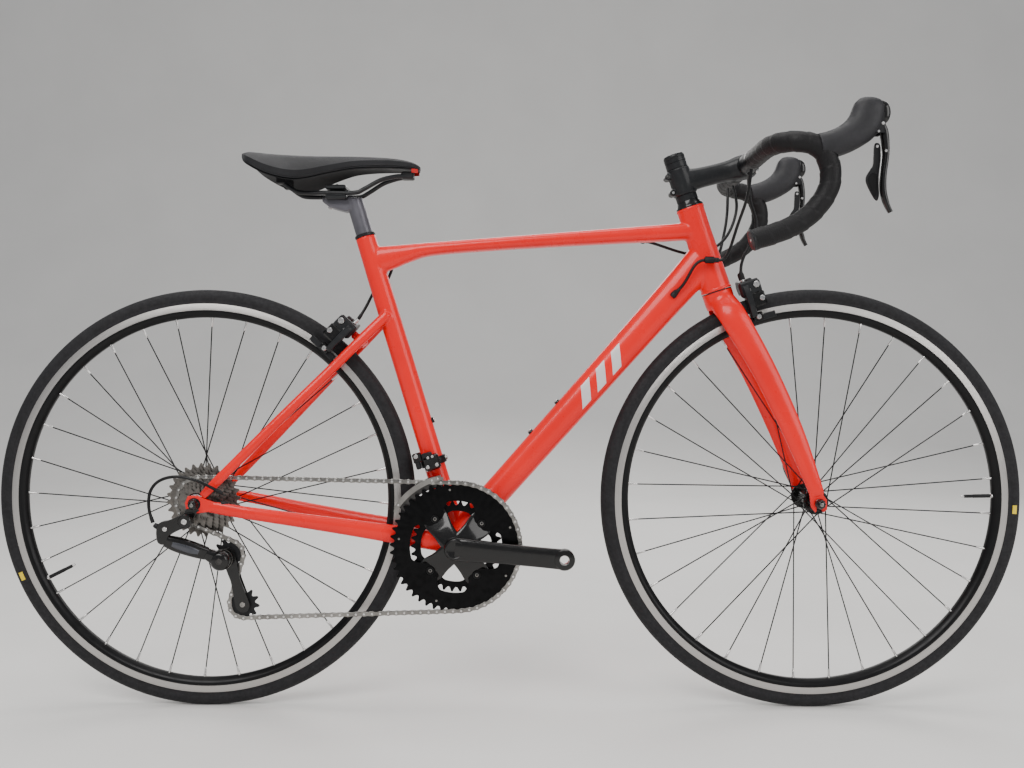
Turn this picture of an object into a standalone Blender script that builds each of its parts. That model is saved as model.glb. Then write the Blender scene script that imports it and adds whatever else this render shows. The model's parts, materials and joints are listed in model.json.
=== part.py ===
"""Road bicycle. Metres, +Z up, the bicycle faces +X and its drive side is -Y. The origin is on the ground
midway between the axles. Each sub-part is one closed solid, and each moving piece has its origin on its
joint's axis."""

import math

import bmesh
import bpy
from mathutils import Matrix, Vector

# Driving dimensions
GAP = 0.0003
WHEELBASE = 0.970
CHAINSTAY = 0.410
BB_DROP = 0.070
TYRE_RADIUS = 0.336
TYRE_WIDTH = 0.025
RIM_DEPTH = 0.025
RIM_WIDTH = 0.0224
BEAD_INSET = 0.0195
TRACK_INSET = 0.0300
SPOKES = 32
SPOKE_CROSSES = 3
FRONT_VALVE_TURN = math.radians(1.0)
REAR_VALVE_TURN = math.radians(206.5)
SPOKE_RADIUS = 0.0010
HEAD_ANGLE = math.radians(72)
HEAD_TUBE_LENGTH = 0.139
HEAD_TUBE_TOP_RADIUS = 0.0215
HEAD_TUBE_LOW_RADIUS = 0.0240
STEERER_RADIUS = 0.0143
FORK_RAKE = 0.0404
CROWN_CLEARANCE = 0.0285
SEAT_ANGLE = math.radians(73.25)
SEAT_TUBE_LENGTH = 0.512
SEAT_TUBE_RADIUS = 0.0160
SEATPOST_RADIUS = 0.0136
SEATPOST_SHOWN = 0.062
SEATPOST_INSERT = 0.150
SEATSTAY_JOIN = 0.383
TOP_TUBE_BELOW_COLLAR = 0.017
TOP_TUBE_BELOW_HEAD = 0.0243
DOWN_TUBE_RADIUS = 0.0222
DOWN_TUBE_JOIN = 0.056
BB_SHELL_RADIUS = 0.0235
BB_SHELL_WIDTH = 0.0864
SPINDLE_RADIUS = 0.0120
BRAKE_BOLT_REACH = 0.049
FRONT_AXLE_WIDTH = 0.100
REAR_AXLE_WIDTH = 0.130
DROPOUT_THICKNESS = 0.006
STEM_LENGTH = 0.103
STEM_DROP = math.radians(4.6)
BAR_WIDTH = 0.410
BAR_RADIUS = 0.0118
BAR_CLAMP_RADIUS = 0.0159
TAPE_RADIUS = 0.0152
CRANK_LENGTH = 0.170
CRANK_EYE_RADIUS = 0.0160
CRANK_SLOPE = math.radians(-5.3)
PITCH = 0.0127
BIG_RING_TEETH = 50
SMALL_RING_TEETH = 34
PULLEY_TEETH = 11
COGS = (11, 12, 13, 14, 15, 17, 19, 21, 23, 25, 28)
CHAIN_COG = 6
COG_PITCH = 0.00374
BIG_RING_Y = -0.0465
SMALL_RING_Y = -0.0402
CABLE_RADIUS = 0.0024
SEAT_BOSSES = (0.136, 0.200)
DOWN_BOSSES = (0.21, 0.274)
BRIDGE_BOSS = 0.0190
SEAT_BORE_DEPTH = SEATPOST_INSERT + 0.065
COVER_HEIGHT = 0.011
STEM_LOW = HEAD_TUBE_LENGTH + 0.0215
STEM_CLAMP = 0.0430
STEM_HIGH = STEM_LOW + STEM_CLAMP
STEERER_TOP = STEM_HIGH + 0.017
TAPE_START = 3
FRONT_BOLT_HEIGHT = -0.0135
FRONT_BRAKE_START = 0.0330
COG_TIP = 0.0027
SPIDER_TURNS = (48, 132, 228, 312)
RING_INNER = 0.0480
LEAD_SHARE = 0.13
RAIL_HALF_GAP = 0.0220
SADDLE_LENGTH = 0.276

# Offsets from the handlebar clamp, forward and up
HOOD_PATH = (
    (0.0600, -0.0105),
    (0.0850, -0.0042),
    (0.1050, 0.0068),
    (0.1180, 0.0195),
    (0.1240, 0.0340),
    (0.1262, 0.0530),
)
HOOD_HALVES = (
    (0.0165, 0.0184),
    (0.0175, 0.0192),
    (0.0175, 0.0208),
    (0.0172, 0.0228),
    (0.0168, 0.0226),
    (0.0120, 0.0170),
)
LEVER_PIVOT = (0.1420, 0.0190)
LEVER_LINE = (
    (0.1425, 0.0205),
    (0.1480, 0.0010),
    (0.1495, -0.0220),
    (0.1465, -0.0480),
    (0.1465, -0.0760),
    (0.1575, -0.1030),
)
PADDLE_TOP = (0.1390, -0.0100)

# Derived places
REAR_AXLE = Vector((-WHEELBASE / 2, 0, TYRE_RADIUS))
FRONT_AXLE = Vector((WHEELBASE / 2, 0, TYRE_RADIUS))
BB_X = math.sqrt(CHAINSTAY**2 - BB_DROP**2)
BB = REAR_AXLE + Vector((BB_X, 0, -BB_DROP))
SIDE = Vector((0, 1, 0))
WORLD = ((1, 0, 0), (0, 1, 0), (0, 0, 1))
HEAD_UP = Vector((-math.cos(HEAD_ANGLE), 0, math.sin(HEAD_ANGLE)))
HEAD_FORWARD = Vector((math.sin(HEAD_ANGLE), 0, math.cos(HEAD_ANGLE)))
FORK_LENGTH = TYRE_RADIUS + CROWN_CLEARANCE
HEAD_LOW = FRONT_AXLE - HEAD_FORWARD * FORK_RAKE + HEAD_UP * FORK_LENGTH
SEAT_UP = Vector((-math.cos(SEAT_ANGLE), 0, math.sin(SEAT_ANGLE)))
SEAT_FORWARD = Vector((math.sin(SEAT_ANGLE), 0, math.cos(SEAT_ANGLE)))
SEAT_TOP = BB + SEAT_UP * SEAT_TUBE_LENGTH
BEAD_RADIUS = TYRE_RADIUS - BEAD_INSET
TRACK_RADIUS = TYRE_RADIUS - TRACK_INSET
RIM_INNER_RADIUS = BEAD_RADIUS - RIM_DEPTH
REAR_OUT = REAR_AXLE_WIDTH / 2 + DROPOUT_THICKNESS
FRONT_OUT = FRONT_AXLE_WIDTH / 2 + DROPOUT_THICKNESS
FIRST_COG_Y = -REAR_AXLE_WIDTH / 2 + 0.0045
CHAIN_COG_Y = FIRST_COG_Y + CHAIN_COG * COG_PITCH
WHEEL_STEPS = 48
WHEEL_SAG = 1 - math.cos(math.pi / WHEEL_STEPS)
BAR_BASE = HEAD_LOW + HEAD_UP * (STEM_LOW + STEM_CLAMP / 2)
STEM_ALONG = HEAD_FORWARD * math.cos(STEM_DROP) - HEAD_UP * math.sin(STEM_DROP)
BAR = BAR_BASE + STEM_ALONG * STEM_LENGTH
HANGER = Vector((-0.0105, 0, -0.0245))
GUIDE = REAR_AXLE + Vector((0.0445, CHAIN_COG_Y, -0.0845))
TENSION = REAR_AXLE + Vector((0.0666, CHAIN_COG_Y, -0.1626))
FD_BODY = BB + SEAT_UP * 0.140
RD_BOLT = REAR_AXLE + HANGER
RD_LINK_TOP = REAR_AXLE + Vector((-0.0420, 0, -0.0510))
RD_LINK_LOW = REAR_AXLE + Vector((0.0150, 0, -0.0775))
RD_CAGE_PIVOT = REAR_AXLE + Vector((0.0370, 0, -0.0895))
RAIL_Z = SEAT_TOP.z + 0.0675
CLAMP_X = SEAT_TOP.x - 0.0435
SADDLE_TAIL = CLAMP_X - 0.139

COLOURS = {
    "red_paint": ((0.80, 0.045, 0.035), 0.25, 0.0),
    "black_metal": ((0.02, 0.02, 0.022), 0.30, 0.6),
    "black_rubber": ((0.02, 0.02, 0.02), 0.75, 0.0),
    "tyre_rubber": ((0.025, 0.025, 0.026), 0.80, 0.0),
    "bar_tape": ((0.025, 0.025, 0.027), 0.70, 0.0),
    "steel": ((0.55, 0.54, 0.52), 0.30, 1.0),
    "rim_metal": ((0.30, 0.29, 0.28), 0.35, 0.9),
    "dark_plastic": ((0.03, 0.03, 0.032), 0.45, 0.0),
    "saddle_cover": ((0.02, 0.02, 0.021), 0.65, 0.0),
}


def clear_scene():
    for old in list(bpy.data.objects):
        bpy.data.objects.remove(old, do_unlink=True)


def material(name):
    found = bpy.data.materials.get(name)
    if found:
        return found
    colour, roughness, metallic = COLOURS[name]
    made = bpy.data.materials.new(name)
    made.use_nodes = True
    shader = made.node_tree.nodes["Principled BSDF"]
    shader.inputs["Base Color"].default_value = (*colour, 1)
    shader.inputs["Roughness"].default_value = roughness
    shader.inputs["Metallic"].default_value = metallic
    return made


# Mesh tools


def add_object(name, work, look=None, origin=None):
    """Makes the object of a bmesh built in world coordinates. With no look it is a hidden helper."""
    bmesh.ops.recalc_face_normals(work, faces=work.faces)
    origin = Vector(origin) if origin else Vector()
    bmesh.ops.translate(work, verts=work.verts, vec=-origin)
    mesh = bpy.data.meshes.new(name)
    work.to_mesh(mesh)
    work.free()
    mesh.shade_smooth()
    mesh.set_sharp_from_angle(angle=math.radians(35))
    made = bpy.data.objects.new(name, mesh)
    made.location = origin
    bpy.context.scene.collection.objects.link(made)
    if look:
        mesh.materials.append(material(look))
    else:
        made.hide_render = True
        made.display_type = "WIRE"
    return made


def loft(work, rings, closed=False, caps=True):
    """Skins a row of rings of equal count."""
    rows = [[work.verts.new(point) for point in ring] for ring in rings]
    pairs = list(zip(rows, rows[1:]))
    if closed:
        pairs.append((rows[-1], rows[0]))
    for low, high in pairs:
        for i in range(len(low)):
            j = (i + 1) % len(low)
            work.faces.new((low[i], low[j], high[j], high[i]))
    if caps and not closed:
        work.faces.new(rows[0][::-1])
        work.faces.new(rows[-1])
    return work


def oval(centre, across, along, half_across, half_along, count=12, power=2.0):
    """Points of a superellipse in the plane of two unit vectors."""
    points = []
    for i in range(count):
        turn = 2 * math.pi * (i + 0.5) / count
        c, s = math.cos(turn), math.sin(turn)
        x = math.copysign(abs(c) ** (2 / power), c) * half_across
        y = math.copysign(abs(s) ** (2 / power), s) * half_along
        points.append(centre + across * x + along * y)
    return points


def sweep_rings(points, halves, count=12, power=2.0, side=SIDE):
    """Rings along a path. halves holds (half across, half along the path's normal) for each point."""
    points = [Vector(point) for point in points]
    rings = []
    for i, point in enumerate(points):
        ahead = points[min(i + 1, len(points) - 1)]
        behind = points[max(i - 1, 0)]
        tangent = (ahead - behind).normalized()
        across = (side - tangent * side.dot(tangent)).normalized()
        along = tangent.cross(across)
        rings.append(oval(point, across, along, *halves[i], count, power))
    return rings


def sweep(work, points, halves, count=12, power=2.0, side=SIDE):
    if isinstance(halves, float):
        halves = [(halves, halves)] * len(points)
    return loft(work, sweep_rings(points, halves, count, power, side))


def rod(work, start, end, radius, count=12):
    start, end = Vector(start), Vector(end)
    direction = (end - start).normalized()
    side = SIDE if abs(direction.dot(SIDE)) < 0.9 else Vector((1, 0, 0))
    return sweep(work, [start, end], [(radius, radius)] * 2, count, 2.0, side)


def turned(work, centre, axis, profile, count=24, closed=True):
    """Turns a profile of (radius, height) points about an axis: a closed ring, or an open one with caps."""
    centre, axis = Vector(centre), Vector(axis).normalized()
    seed = Vector((1, 0, 0)) if abs(axis.x) < 0.9 else Vector((0, 0, 1))
    first = (seed - axis * seed.dot(axis)).normalized()
    second = axis.cross(first)
    rings = []
    for radius, height in profile:
        ring = []
        for i in range(count):
            turn = 2 * math.pi * i / count
            out = first * math.cos(turn) + second * math.sin(turn)
            ring.append(centre + axis * height + out * radius)
        rings.append(ring)
    return loft(work, rings, closed=closed, caps=not closed)


def prism(work, outline, y_low, y_high):
    """Extrudes an outline of (x, z) points from y_low to y_high."""
    low = [Vector((x, y_low, z)) for x, z in outline]
    high = [Vector((x, y_high, z)) for x, z in outline]
    return loft(work, [low, high])


def block(work, centre, axes, halves):
    """A box about a centre with three unit axes."""
    a, b, c = (Vector(axis) * half for axis, half in zip(axes, halves))
    centre = Vector(centre)
    low = [centre - c - a - b, centre - c + a - b, centre - c + a + b, centre - c - a + b]
    return loft(work, [low, [point + c * 2 for point in low]])


def boolean(target, other, operation):
    step = target.modifiers.new(operation.lower(), "BOOLEAN")
    step.operation = operation
    step.object = other
    step.solver = "EXACT"


def solid(name, look, build, origin=None, joins=(), cuts=()):
    """One named sub-part: a first solid, those joined to it and those cut from it, each as a builder."""
    made = add_object(name, build(bmesh.new()), look, origin)
    for number, (operation, parts) in enumerate((("UNION", joins), ("DIFFERENCE", cuts))):
        for index, part in enumerate(parts):
            helper = add_object(f"{name}_helper_{number}_{index}", part(bmesh.new()))
            boolean(made, helper, operation)
    return made


def cable(name, points, radius=CABLE_RADIUS):
    """A housing along a smooth curve through its points."""
    fine = smooth_path([Vector(point) for point in points], radius * 6)
    curve = bpy.data.curves.new(name, "CURVE")
    curve.dimensions = "3D"
    curve.bevel_depth = radius
    curve.bevel_resolution = 2
    curve.use_fill_caps = True
    line = curve.splines.new("POLY")
    line.points.add(len(fine) - 1)
    for spot, point in zip(line.points, fine):
        spot.co = (*point, 1)
    made = bpy.data.objects.new(name, curve)
    curve.materials.append(material("black_rubber"))
    bpy.context.scene.collection.objects.link(made)
    return made


def smooth_path(points, step):
    """Reads a Catmull-Rom curve through the points about every step."""
    row = [points[0] * 2 - points[1], *points, points[-1] * 2 - points[-2]]
    fine = []
    for a, b, c, d in zip(row, row[1:], row[2:], row[3:]):
        count = max(1, round((c - b).length / step))
        for i in range(count):
            t = i / count
            lower = b * 2 + (c - a) * t + (a * 2 - b * 5 + c * 4 - d) * t**2
            fine.append((lower + (b * 3 - a - c * 3 + d) * t**3) / 2)
    fine.append(points[-1])
    return fine


def mirrored(points):
    return [Vector((point[0], -point[1], point[2])) for point in points]


# Frame


def head_at(height):
    return HEAD_LOW + HEAD_UP * height


def head_tube_shape(grow):
    def build(work):
        profile = [
            (HEAD_TUBE_LOW_RADIUS + grow, -grow),
            (HEAD_TUBE_LOW_RADIUS - 0.0015 + grow, HEAD_TUBE_LENGTH * 0.35),
            (HEAD_TUBE_TOP_RADIUS + grow, HEAD_TUBE_LENGTH * 0.8),
            (HEAD_TUBE_TOP_RADIUS + grow, HEAD_TUBE_LENGTH + grow),
        ]
        return turned(work, HEAD_LOW, HEAD_UP, profile, 20, closed=False)

    return build


def head_tube():
    def bore(work):
        return rod(work, head_at(-0.01), head_at(HEAD_TUBE_LENGTH + 0.01), STEERER_RADIUS + GAP, 20)

    solid("head_tube", "red_paint", head_tube_shape(0), cuts=[bore])


def seat_tube_shape(grow):
    def build(work):
        spots = [0.010, 0.10, SEAT_TUBE_LENGTH * 0.75, SEAT_TUBE_LENGTH + grow]
        sizes = [(0.0170, 0.0185), (0.0155, 0.0172), (0.0155, 0.0168), (SEAT_TUBE_RADIUS, SEAT_TUBE_RADIUS)]
        halves = [(half[0] + grow, half[1] + grow) for half in sizes]
        return sweep(work, [BB + SEAT_UP * spot for spot in spots], halves, 16)

    return build


def bb_shell_shape(grow):
    def build(work):
        half = BB_SHELL_WIDTH / 2 + grow
        radius = BB_SHELL_RADIUS + grow
        return turned(work, BB, SIDE, [(radius, -half), (radius, half)], 24, closed=False)

    return build


def bottle_boss(base, axis, reach):
    return lambda work: rod(work, base, base + axis * reach, 0.0042, 12)


def seat_tube():
    bosses = [
        bottle_boss(BB + SEAT_UP * spot, SEAT_FORWARD, 0.0215) for spot in SEAT_BOSSES
    ]

    def bore(work):
        radius = SEATPOST_RADIUS + GAP
        return rod(work, SEAT_TOP - SEAT_UP * SEAT_BORE_DEPTH, SEAT_TOP + SEAT_UP * 0.01, radius, 20)

    solid("seat_tube", "red_paint", seat_tube_shape(0), joins=bosses, cuts=[bore, bb_shell_shape(GAP)])


def bottom_bracket_shell():
    def bore(work):
        return rod(work, BB - SIDE * 0.06, BB + SIDE * 0.06, SPINDLE_RADIUS + GAP, 20)

    solid("bottom_bracket_shell", "red_paint", bb_shell_shape(0), cuts=[bore])


def top_tube_line():
    """The upper edge's ends: on the seat tube's axis and on the head tube's axis."""
    start = SEAT_TOP - SEAT_UP * TOP_TUBE_BELOW_COLLAR
    run = head_at(HEAD_TUBE_LENGTH - TOP_TUBE_BELOW_HEAD) - start
    return start, run.normalized(), run.length


def top_tube():
    start, along, length = top_tube_line()
    up = along.cross(SIDE)
    shares = [0.0, 0.07, 0.125, 0.20, 0.42, 0.67, 0.90, 1.0]
    depths = [0.024, 0.0185, 0.0140, 0.0104, 0.0103, 0.0116, 0.0132, 0.0136]
    widths = [0.0135, 0.0140, 0.0150, 0.0165, 0.0175, 0.0180, 0.0185, 0.0180]
    points = [start + along * length * share - up * depth for share, depth in zip(shares, depths)]

    def build(work):
        return sweep(work, points, list(zip(widths, depths)), 16, 2.6)

    cuts = [head_tube_shape(GAP), seat_tube_shape(GAP)]
    solid("top_tube", "red_paint", build, cuts=cuts)


def down_tube_line():
    start = BB + Vector((-0.004, 0, 0.005))
    return start, head_at(DOWN_TUBE_JOIN)


def down_tube():
    start, end = down_tube_line()
    along = (end - start).normalized()
    up = SIDE.cross(along) * -1
    length = (end - start).length
    spots = [0.006, 0.07, 0.14, length - 0.12, length]
    widths = [0.0300, 0.0265, 0.0215, 0.0215, 0.0195]
    depths = [0.0200, 0.0222, DOWN_TUBE_RADIUS, 0.0248, 0.0280]
    points = [start + along * spot for spot in spots]
    bosses = [
        bottle_boss(start + along * spot, up, DOWN_TUBE_RADIUS + 0.0055) for spot in DOWN_BOSSES
    ]

    def build(work):
        return sweep(work, points, list(zip(widths, depths)), 16, 2.3)

    cuts = [bb_shell_shape(GAP), head_tube_shape(GAP), seat_tube_shape(GAP)]
    solid("down_tube", "red_paint", build, joins=bosses, cuts=cuts)


def dropout_plate(side, tip):
    """A plate at the rear locknut with the given outline about the axle."""

    def build(work):
        inner = side * REAR_AXLE_WIDTH / 2
        outer = side * REAR_OUT
        outline = [(REAR_AXLE.x + x, REAR_AXLE.z + z) for x, z in tip]
        return prism(work, outline, min(inner, outer), max(inner, outer))

    return build


def axle_hole(axle, radius=0.0052):
    return lambda work: rod(work, axle - SIDE * 0.09, axle + SIDE * 0.09, radius, 12)


def chainstay(side):
    """side is -1 for the drive side."""
    name = "right_chainstay" if side < 0 else "left_chainstay"
    shares = [0.045, 0.10, 0.20, 0.38, 0.58, 0.76, 0.90, 0.995]
    outs = [REAR_OUT - 0.0032, 0.0680, 0.0655, 0.0525, 0.0395, 0.0308, 0.0290, 0.0300]
    widths = [0.0028, 0.0040, 0.0060, 0.0078, 0.0085, 0.0080, 0.0080, 0.0080]
    depths = [0.0090, 0.0095, 0.0100, 0.0112, 0.0130, 0.0148, 0.0155, 0.0155]
    span = BB - REAR_AXLE
    points = [REAR_AXLE + span * share + SIDE * side * out for share, out in zip(shares, outs)]

    def build(work):
        return sweep(work, points, list(zip(widths, depths)), 12)

    low = HANGER.z - 0.008 if side < 0 else -0.013
    back = HANGER.x - 0.007 if side < 0 else -0.012
    tip = [(0.004, 0.0135), (-0.010, 0.0125), (-0.0145, 0.002), (back, low * 0.75), (back + 0.003, low)]
    tip += [(-0.004, low), (0.006, -0.014), (0.030, -0.0125), (0.030, 0.0030)]
    plate = dropout_plate(side, tip)
    cuts = [axle_hole(REAR_AXLE), bb_shell_shape(GAP), seat_tube_shape(GAP), down_tube_cutter]
    if side < 0:
        cuts.append(axle_hole(REAR_AXLE + HANGER, 0.0048))
    solid(name, "red_paint", build, joins=[plate], cuts=cuts)


def down_tube_cutter(work):
    start, end = down_tube_line()
    along = (end - start).normalized()
    points = [start - along * 0.02, start + along * 0.07, start + along * 0.14]
    sizes = [(0.0300, 0.0200), (0.0265, 0.0222), (0.0216, DOWN_TUBE_RADIUS)]
    halves = [(wide + GAP, deep + GAP) for wide, deep in sizes]
    return sweep(work, points, halves, 16, 2.3)


def stay_axes():
    """The seatstays' direction from the rear axle, and the upward normal to it."""
    along = (BB + SEAT_UP * SEATSTAY_JOIN - REAR_AXLE).normalized()
    return along, SIDE.cross(along) * -1


def seatstays():
    along, up = stay_axes()
    length = (BB + SEAT_UP * SEATSTAY_JOIN - REAR_AXLE).length
    bolt = TRACK_RADIUS + BRAKE_BOLT_REACH
    spots = [0.0165, 0.032, 0.075, length * 0.5, bolt - 0.06, bolt, length]
    outs = [REAR_OUT - 0.0032, REAR_OUT - 0.0030, 0.0655, 0.0480, 0.0320, 0.0265, 0.0125]
    widths = [0.0026, 0.0040, 0.0058, 0.0062, 0.0065, 0.0065, 0.0070]
    depths = [0.0065, 0.0072, 0.0078, 0.0078, 0.0078, 0.0080, 0.0085]

    def stay(side):
        points = [REAR_AXLE + along * spot + SIDE * side * out for spot, out in zip(spots, outs)]
        return lambda work: sweep(work, points, list(zip(widths, depths)), 10)

    bridge_centre = REAR_AXLE + along * bolt

    def bridge(work):
        return rod(work, bridge_centre - SIDE * 0.0265, bridge_centre + SIDE * 0.0265, 0.0062, 12)

    def boss(work):
        return rod(work, bridge_centre - up * 0.008, bridge_centre + up * BRIDGE_BOSS, 0.0068, 12)

    cuts = [seat_tube_shape(GAP), chainstay_plate_cutter(-1), chainstay_plate_cutter(1)]
    solid("seatstays", "red_paint", stay(-1), joins=[bridge, stay(1), boss], cuts=cuts)


def chainstay_plate_cutter(side):
    outline = [(0.0045, 0.0140), (-0.0105, 0.0130), (-0.016, 0.0), (0.0, -0.02)]
    outline += [(0.031, -0.02), (0.031, 0.0033)]

    def build(work):
        near = REAR_AXLE_WIDTH / 2 - 0.002
        far = REAR_OUT + 0.002
        spots = [(REAR_AXLE.x + x, REAR_AXLE.z + z) for x, z in outline]
        return prism(work, spots, min(side * near, side * far), max(side * near, side * far))

    return build


def seatpost_collar():
    base = SEAT_TOP + SEAT_UP * GAP
    inner = SEATPOST_RADIUS + GAP
    outer = SEAT_TUBE_RADIUS + 0.0004
    profile = [(inner, 0), (outer, 0), (outer - 0.0008, 0.0045), (inner, 0.0045)]
    solid("seatpost_collar", "dark_plastic", lambda work: turned(work, base, SEAT_UP, profile, 20))


# Fork and cockpit


def blade_points(side):
    """A fork blade's centre line from inside the crown to the tip, bowed a little forward."""
    tip = FRONT_AXLE + SIDE * side * (FRONT_AXLE_WIDTH / 2 + 0.0045)
    crown = head_at(-0.022) + HEAD_FORWARD * 0.002
    shoulder = head_at(-0.050) + HEAD_FORWARD * 0.0065
    span = tip - shoulder
    outs = [0.010, 0.0340, 0.0415, 0.0475, 0.0520, FRONT_AXLE_WIDTH / 2 + 0.0033]
    shares = [None, 0.0, 0.30, 0.62, 0.90, 0.965]
    bows = [0.0, 0.0, 0.0085, 0.0095, 0.0045, 0.0020]
    points = []
    for share, out, bow in zip(shares, outs, bows):
        base = crown if share is None else shoulder + span * share + HEAD_FORWARD * bow
        points.append(Vector((base.x, side * out, base.z)))
    return points


def fork():
    widths = [0.0200, 0.0105, 0.0085, 0.0075, 0.0055, 0.0030]
    depths = [0.0215, 0.0215, 0.0190, 0.0165, 0.0125, 0.0115]

    def blade(side):
        return lambda work: sweep(work, blade_points(side), list(zip(widths, depths)), 12)

    def crown(work):
        top = HEAD_TUBE_LOW_RADIUS
        profile = [(0.0190, -0.040), (0.0235, -0.025), (top, -0.012), (top, -GAP * 2)]
        return turned(work, HEAD_LOW, HEAD_UP, profile, 20, closed=False)

    def steerer(work):
        return rod(work, head_at(-0.01), head_at(STEERER_TOP), STEERER_RADIUS, 20)

    def tip(side):
        def build(work):
            inner = side * FRONT_AXLE_WIDTH / 2 + side * GAP
            outer = side * FRONT_OUT
            outline = [(-0.016, 0.022), (-0.002, 0.024), (0.0115, 0.006), (0.0120, -0.009)]
            outline += [(0.0065, -0.0135), (-0.0065, -0.0135), (-0.0125, -0.006)]
            spots = [(FRONT_AXLE.x + x, FRONT_AXLE.z + z) for x, z in outline]
            return prism(work, spots, min(inner, outer), max(inner, outer))

        return build

    def tyre_room(work):
        half = TYRE_WIDTH / 2 + 0.006
        profile = [(0.2, -half), (TYRE_RADIUS + 0.004, -half), (TYRE_RADIUS + 0.0075, 0.0)]
        profile += [(TYRE_RADIUS + 0.004, half), (0.2, half)]
        return turned(work, FRONT_AXLE, SIDE, profile, WHEEL_STEPS)

    joins = [blade(-1), blade(1), steerer, tip(-1), tip(1)]
    solid("fork", "red_paint", crown, HEAD_LOW, joins, [tyre_room, axle_hole(FRONT_AXLE)])


def steering_rings():
    inner = STEERER_RADIUS + GAP
    low = HEAD_TUBE_LENGTH + GAP
    neck = low + COVER_HEIGHT
    cover = [(inner, low), (HEAD_TUBE_TOP_RADIUS, low), (HEAD_TUBE_TOP_RADIUS - 0.001, low + 0.003)]
    cover += [(0.0172, neck), (0.0172, STEM_LOW - GAP), (inner, STEM_LOW - GAP)]
    solid("headset_cover", "black_metal", lambda work: turned(work, HEAD_LOW, HEAD_UP, cover, 20))
    low = STEM_HIGH + GAP
    cap = [(inner, low), (0.0170, low), (0.0170, low + 0.021), (0.0150, low + 0.0235), (0.004, low + 0.0235)]
    cap += [(0.004, STEERER_TOP + GAP), (inner, STEERER_TOP + GAP)]
    solid("top_cap", "black_metal", lambda work: turned(work, HEAD_LOW, HEAD_UP, cap, 20))


def stem():
    up = SIDE.cross(STEM_ALONG)

    def collar(work):
        radius = STEERER_RADIUS + 0.0042
        return turned(work, HEAD_LOW, HEAD_UP, [(radius, STEM_LOW), (radius, STEM_HIGH)], 20, closed=False)

    def arm(work):
        spots = [0.0, 0.03, STEM_LENGTH - 0.026, STEM_LENGTH - 0.004]
        halves = [(0.0165, 0.0165), (0.0155, 0.0160), (0.0160, 0.0160), (0.0225, 0.0195)]
        return sweep(work, [BAR_BASE + STEM_ALONG * spot for spot in spots], halves, 16, 2.6)

    def pinch(height):
        centre = head_at(STEM_LOW + height) - HEAD_FORWARD * (STEERER_RADIUS + 0.0062)
        return lambda work: rod(work, centre - SIDE * 0.0115, centre + SIDE * 0.0115, 0.0045, 10)

    def bores(work):
        return rod(work, head_at(STEM_LOW - 0.03), head_at(STEM_HIGH + 0.03), STEERER_RADIUS + GAP, 20)

    def bar_bore(work):
        return rod(work, BAR - SIDE * 0.06, BAR + SIDE * 0.06, BAR_CLAMP_RADIUS + GAP, 20)

    def split(work):
        centre = BAR + STEM_ALONG * 0.0300
        return block(work, centre, (STEM_ALONG, SIDE, up), (0.0300 + GAP, 0.05, 0.05))

    joins = [arm, pinch(0.0085), pinch(0.0345)]
    solid("stem", "black_metal", collar, joins=joins, cuts=[bores, bar_bore, split])


def stem_faceplate():
    up = SIDE.cross(STEM_ALONG)

    def plate(work):
        spots = [0.001, 0.008, 0.0175]
        halves = [(0.0225, 0.0200), (0.0215, 0.0195), (0.0200, 0.0130)]
        return sweep(work, [BAR + STEM_ALONG * spot for spot in spots], halves, 16, 2.8)

    def bar_bore(work):
        return rod(work, BAR - SIDE * 0.06, BAR + SIDE * 0.06, BAR_CLAMP_RADIUS + GAP, 20)

    solid("stem_faceplate", "black_metal", plate, cuts=[bar_bore])


def bar_path():
    """The right half of the bar from its centre to its end, as offsets from the clamp."""
    half = BAR_WIDTH / 2
    spots = [
        (0, 0, 0),
        (0, -0.024, 0),
        (0, -0.046, 0),
        (0, -(half - 0.068), 0),
        (0.0030, -(half - 0.040), -0.0005),
        (0.0120, -(half - 0.016), -0.0015),
        (0.0270, -(half - 0.003), -0.0030),
        (0.0420, -half, -0.0055),
        (0.0560, -half, -0.0110),
        (0.0670, -half, -0.0230),
        (0.0735, -half, -0.0450),
        (0.0715, -half, -0.0670),
        (0.0610, -half, -0.0870),
        (0.0450, -half, -0.1050),
        (0.0250, -(half + 0.002), -0.1190),
        (-0.0030, -(half + 0.004), -0.1310),
        (-0.0350, -(half + 0.005), -0.1410),
    ]
    return [BAR + Vector(spot) for spot in spots]


def bar_frames(points):
    """Unit side vectors for each point of the bar, kept from twisting along the path."""
    frames = []
    normal = Vector((0, 0, 1))
    for i, point in enumerate(points):
        ahead = points[min(i + 1, len(points) - 1)]
        behind = points[max(i - 1, 0)]
        tangent = (ahead - behind).normalized()
        normal = (normal - tangent * normal.dot(tangent)).normalized()
        frames.append((normal, tangent.cross(normal)))
    return frames


def bar_rings(points, radii, count):
    rings = []
    for point, radius, (normal, other) in zip(points, radii, bar_frames(points)):
        rings.append(oval(point, normal, other, radius, radius, count))
    return rings


def handlebar():
    right = bar_path()
    left = mirrored(right)
    whole = left[::-1] + right[1:]
    radii = [BAR_RADIUS] * len(whole)
    middle = len(left) - 1
    for i in (middle - 1, middle, middle + 1):
        radii[i] = BAR_CLAMP_RADIUS
    solid("handlebar", "black_metal", lambda work: loft(work, bar_rings(whole, radii, 8)))


def bar_tape(side):
    name = "right_bar_tape" if side < 0 else "left_bar_tape"
    points = bar_path()[TAPE_START - 1 :]
    points[0] = points[0] + (points[1] - points[0]) * 0.15
    points[-1] = points[-1] + (points[-2] - points[-1]).normalized() * 0.0005
    if side > 0:
        points = mirrored(points)

    def build(work):
        outer = bar_rings(points, [TAPE_RADIUS] * len(points), 8)
        inner = bar_rings(points, [BAR_RADIUS + 0.0009] * len(points), 8)
        return loft(work, outer + inner[::-1], closed=True)

    solid(name, "bar_tape", build)


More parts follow.
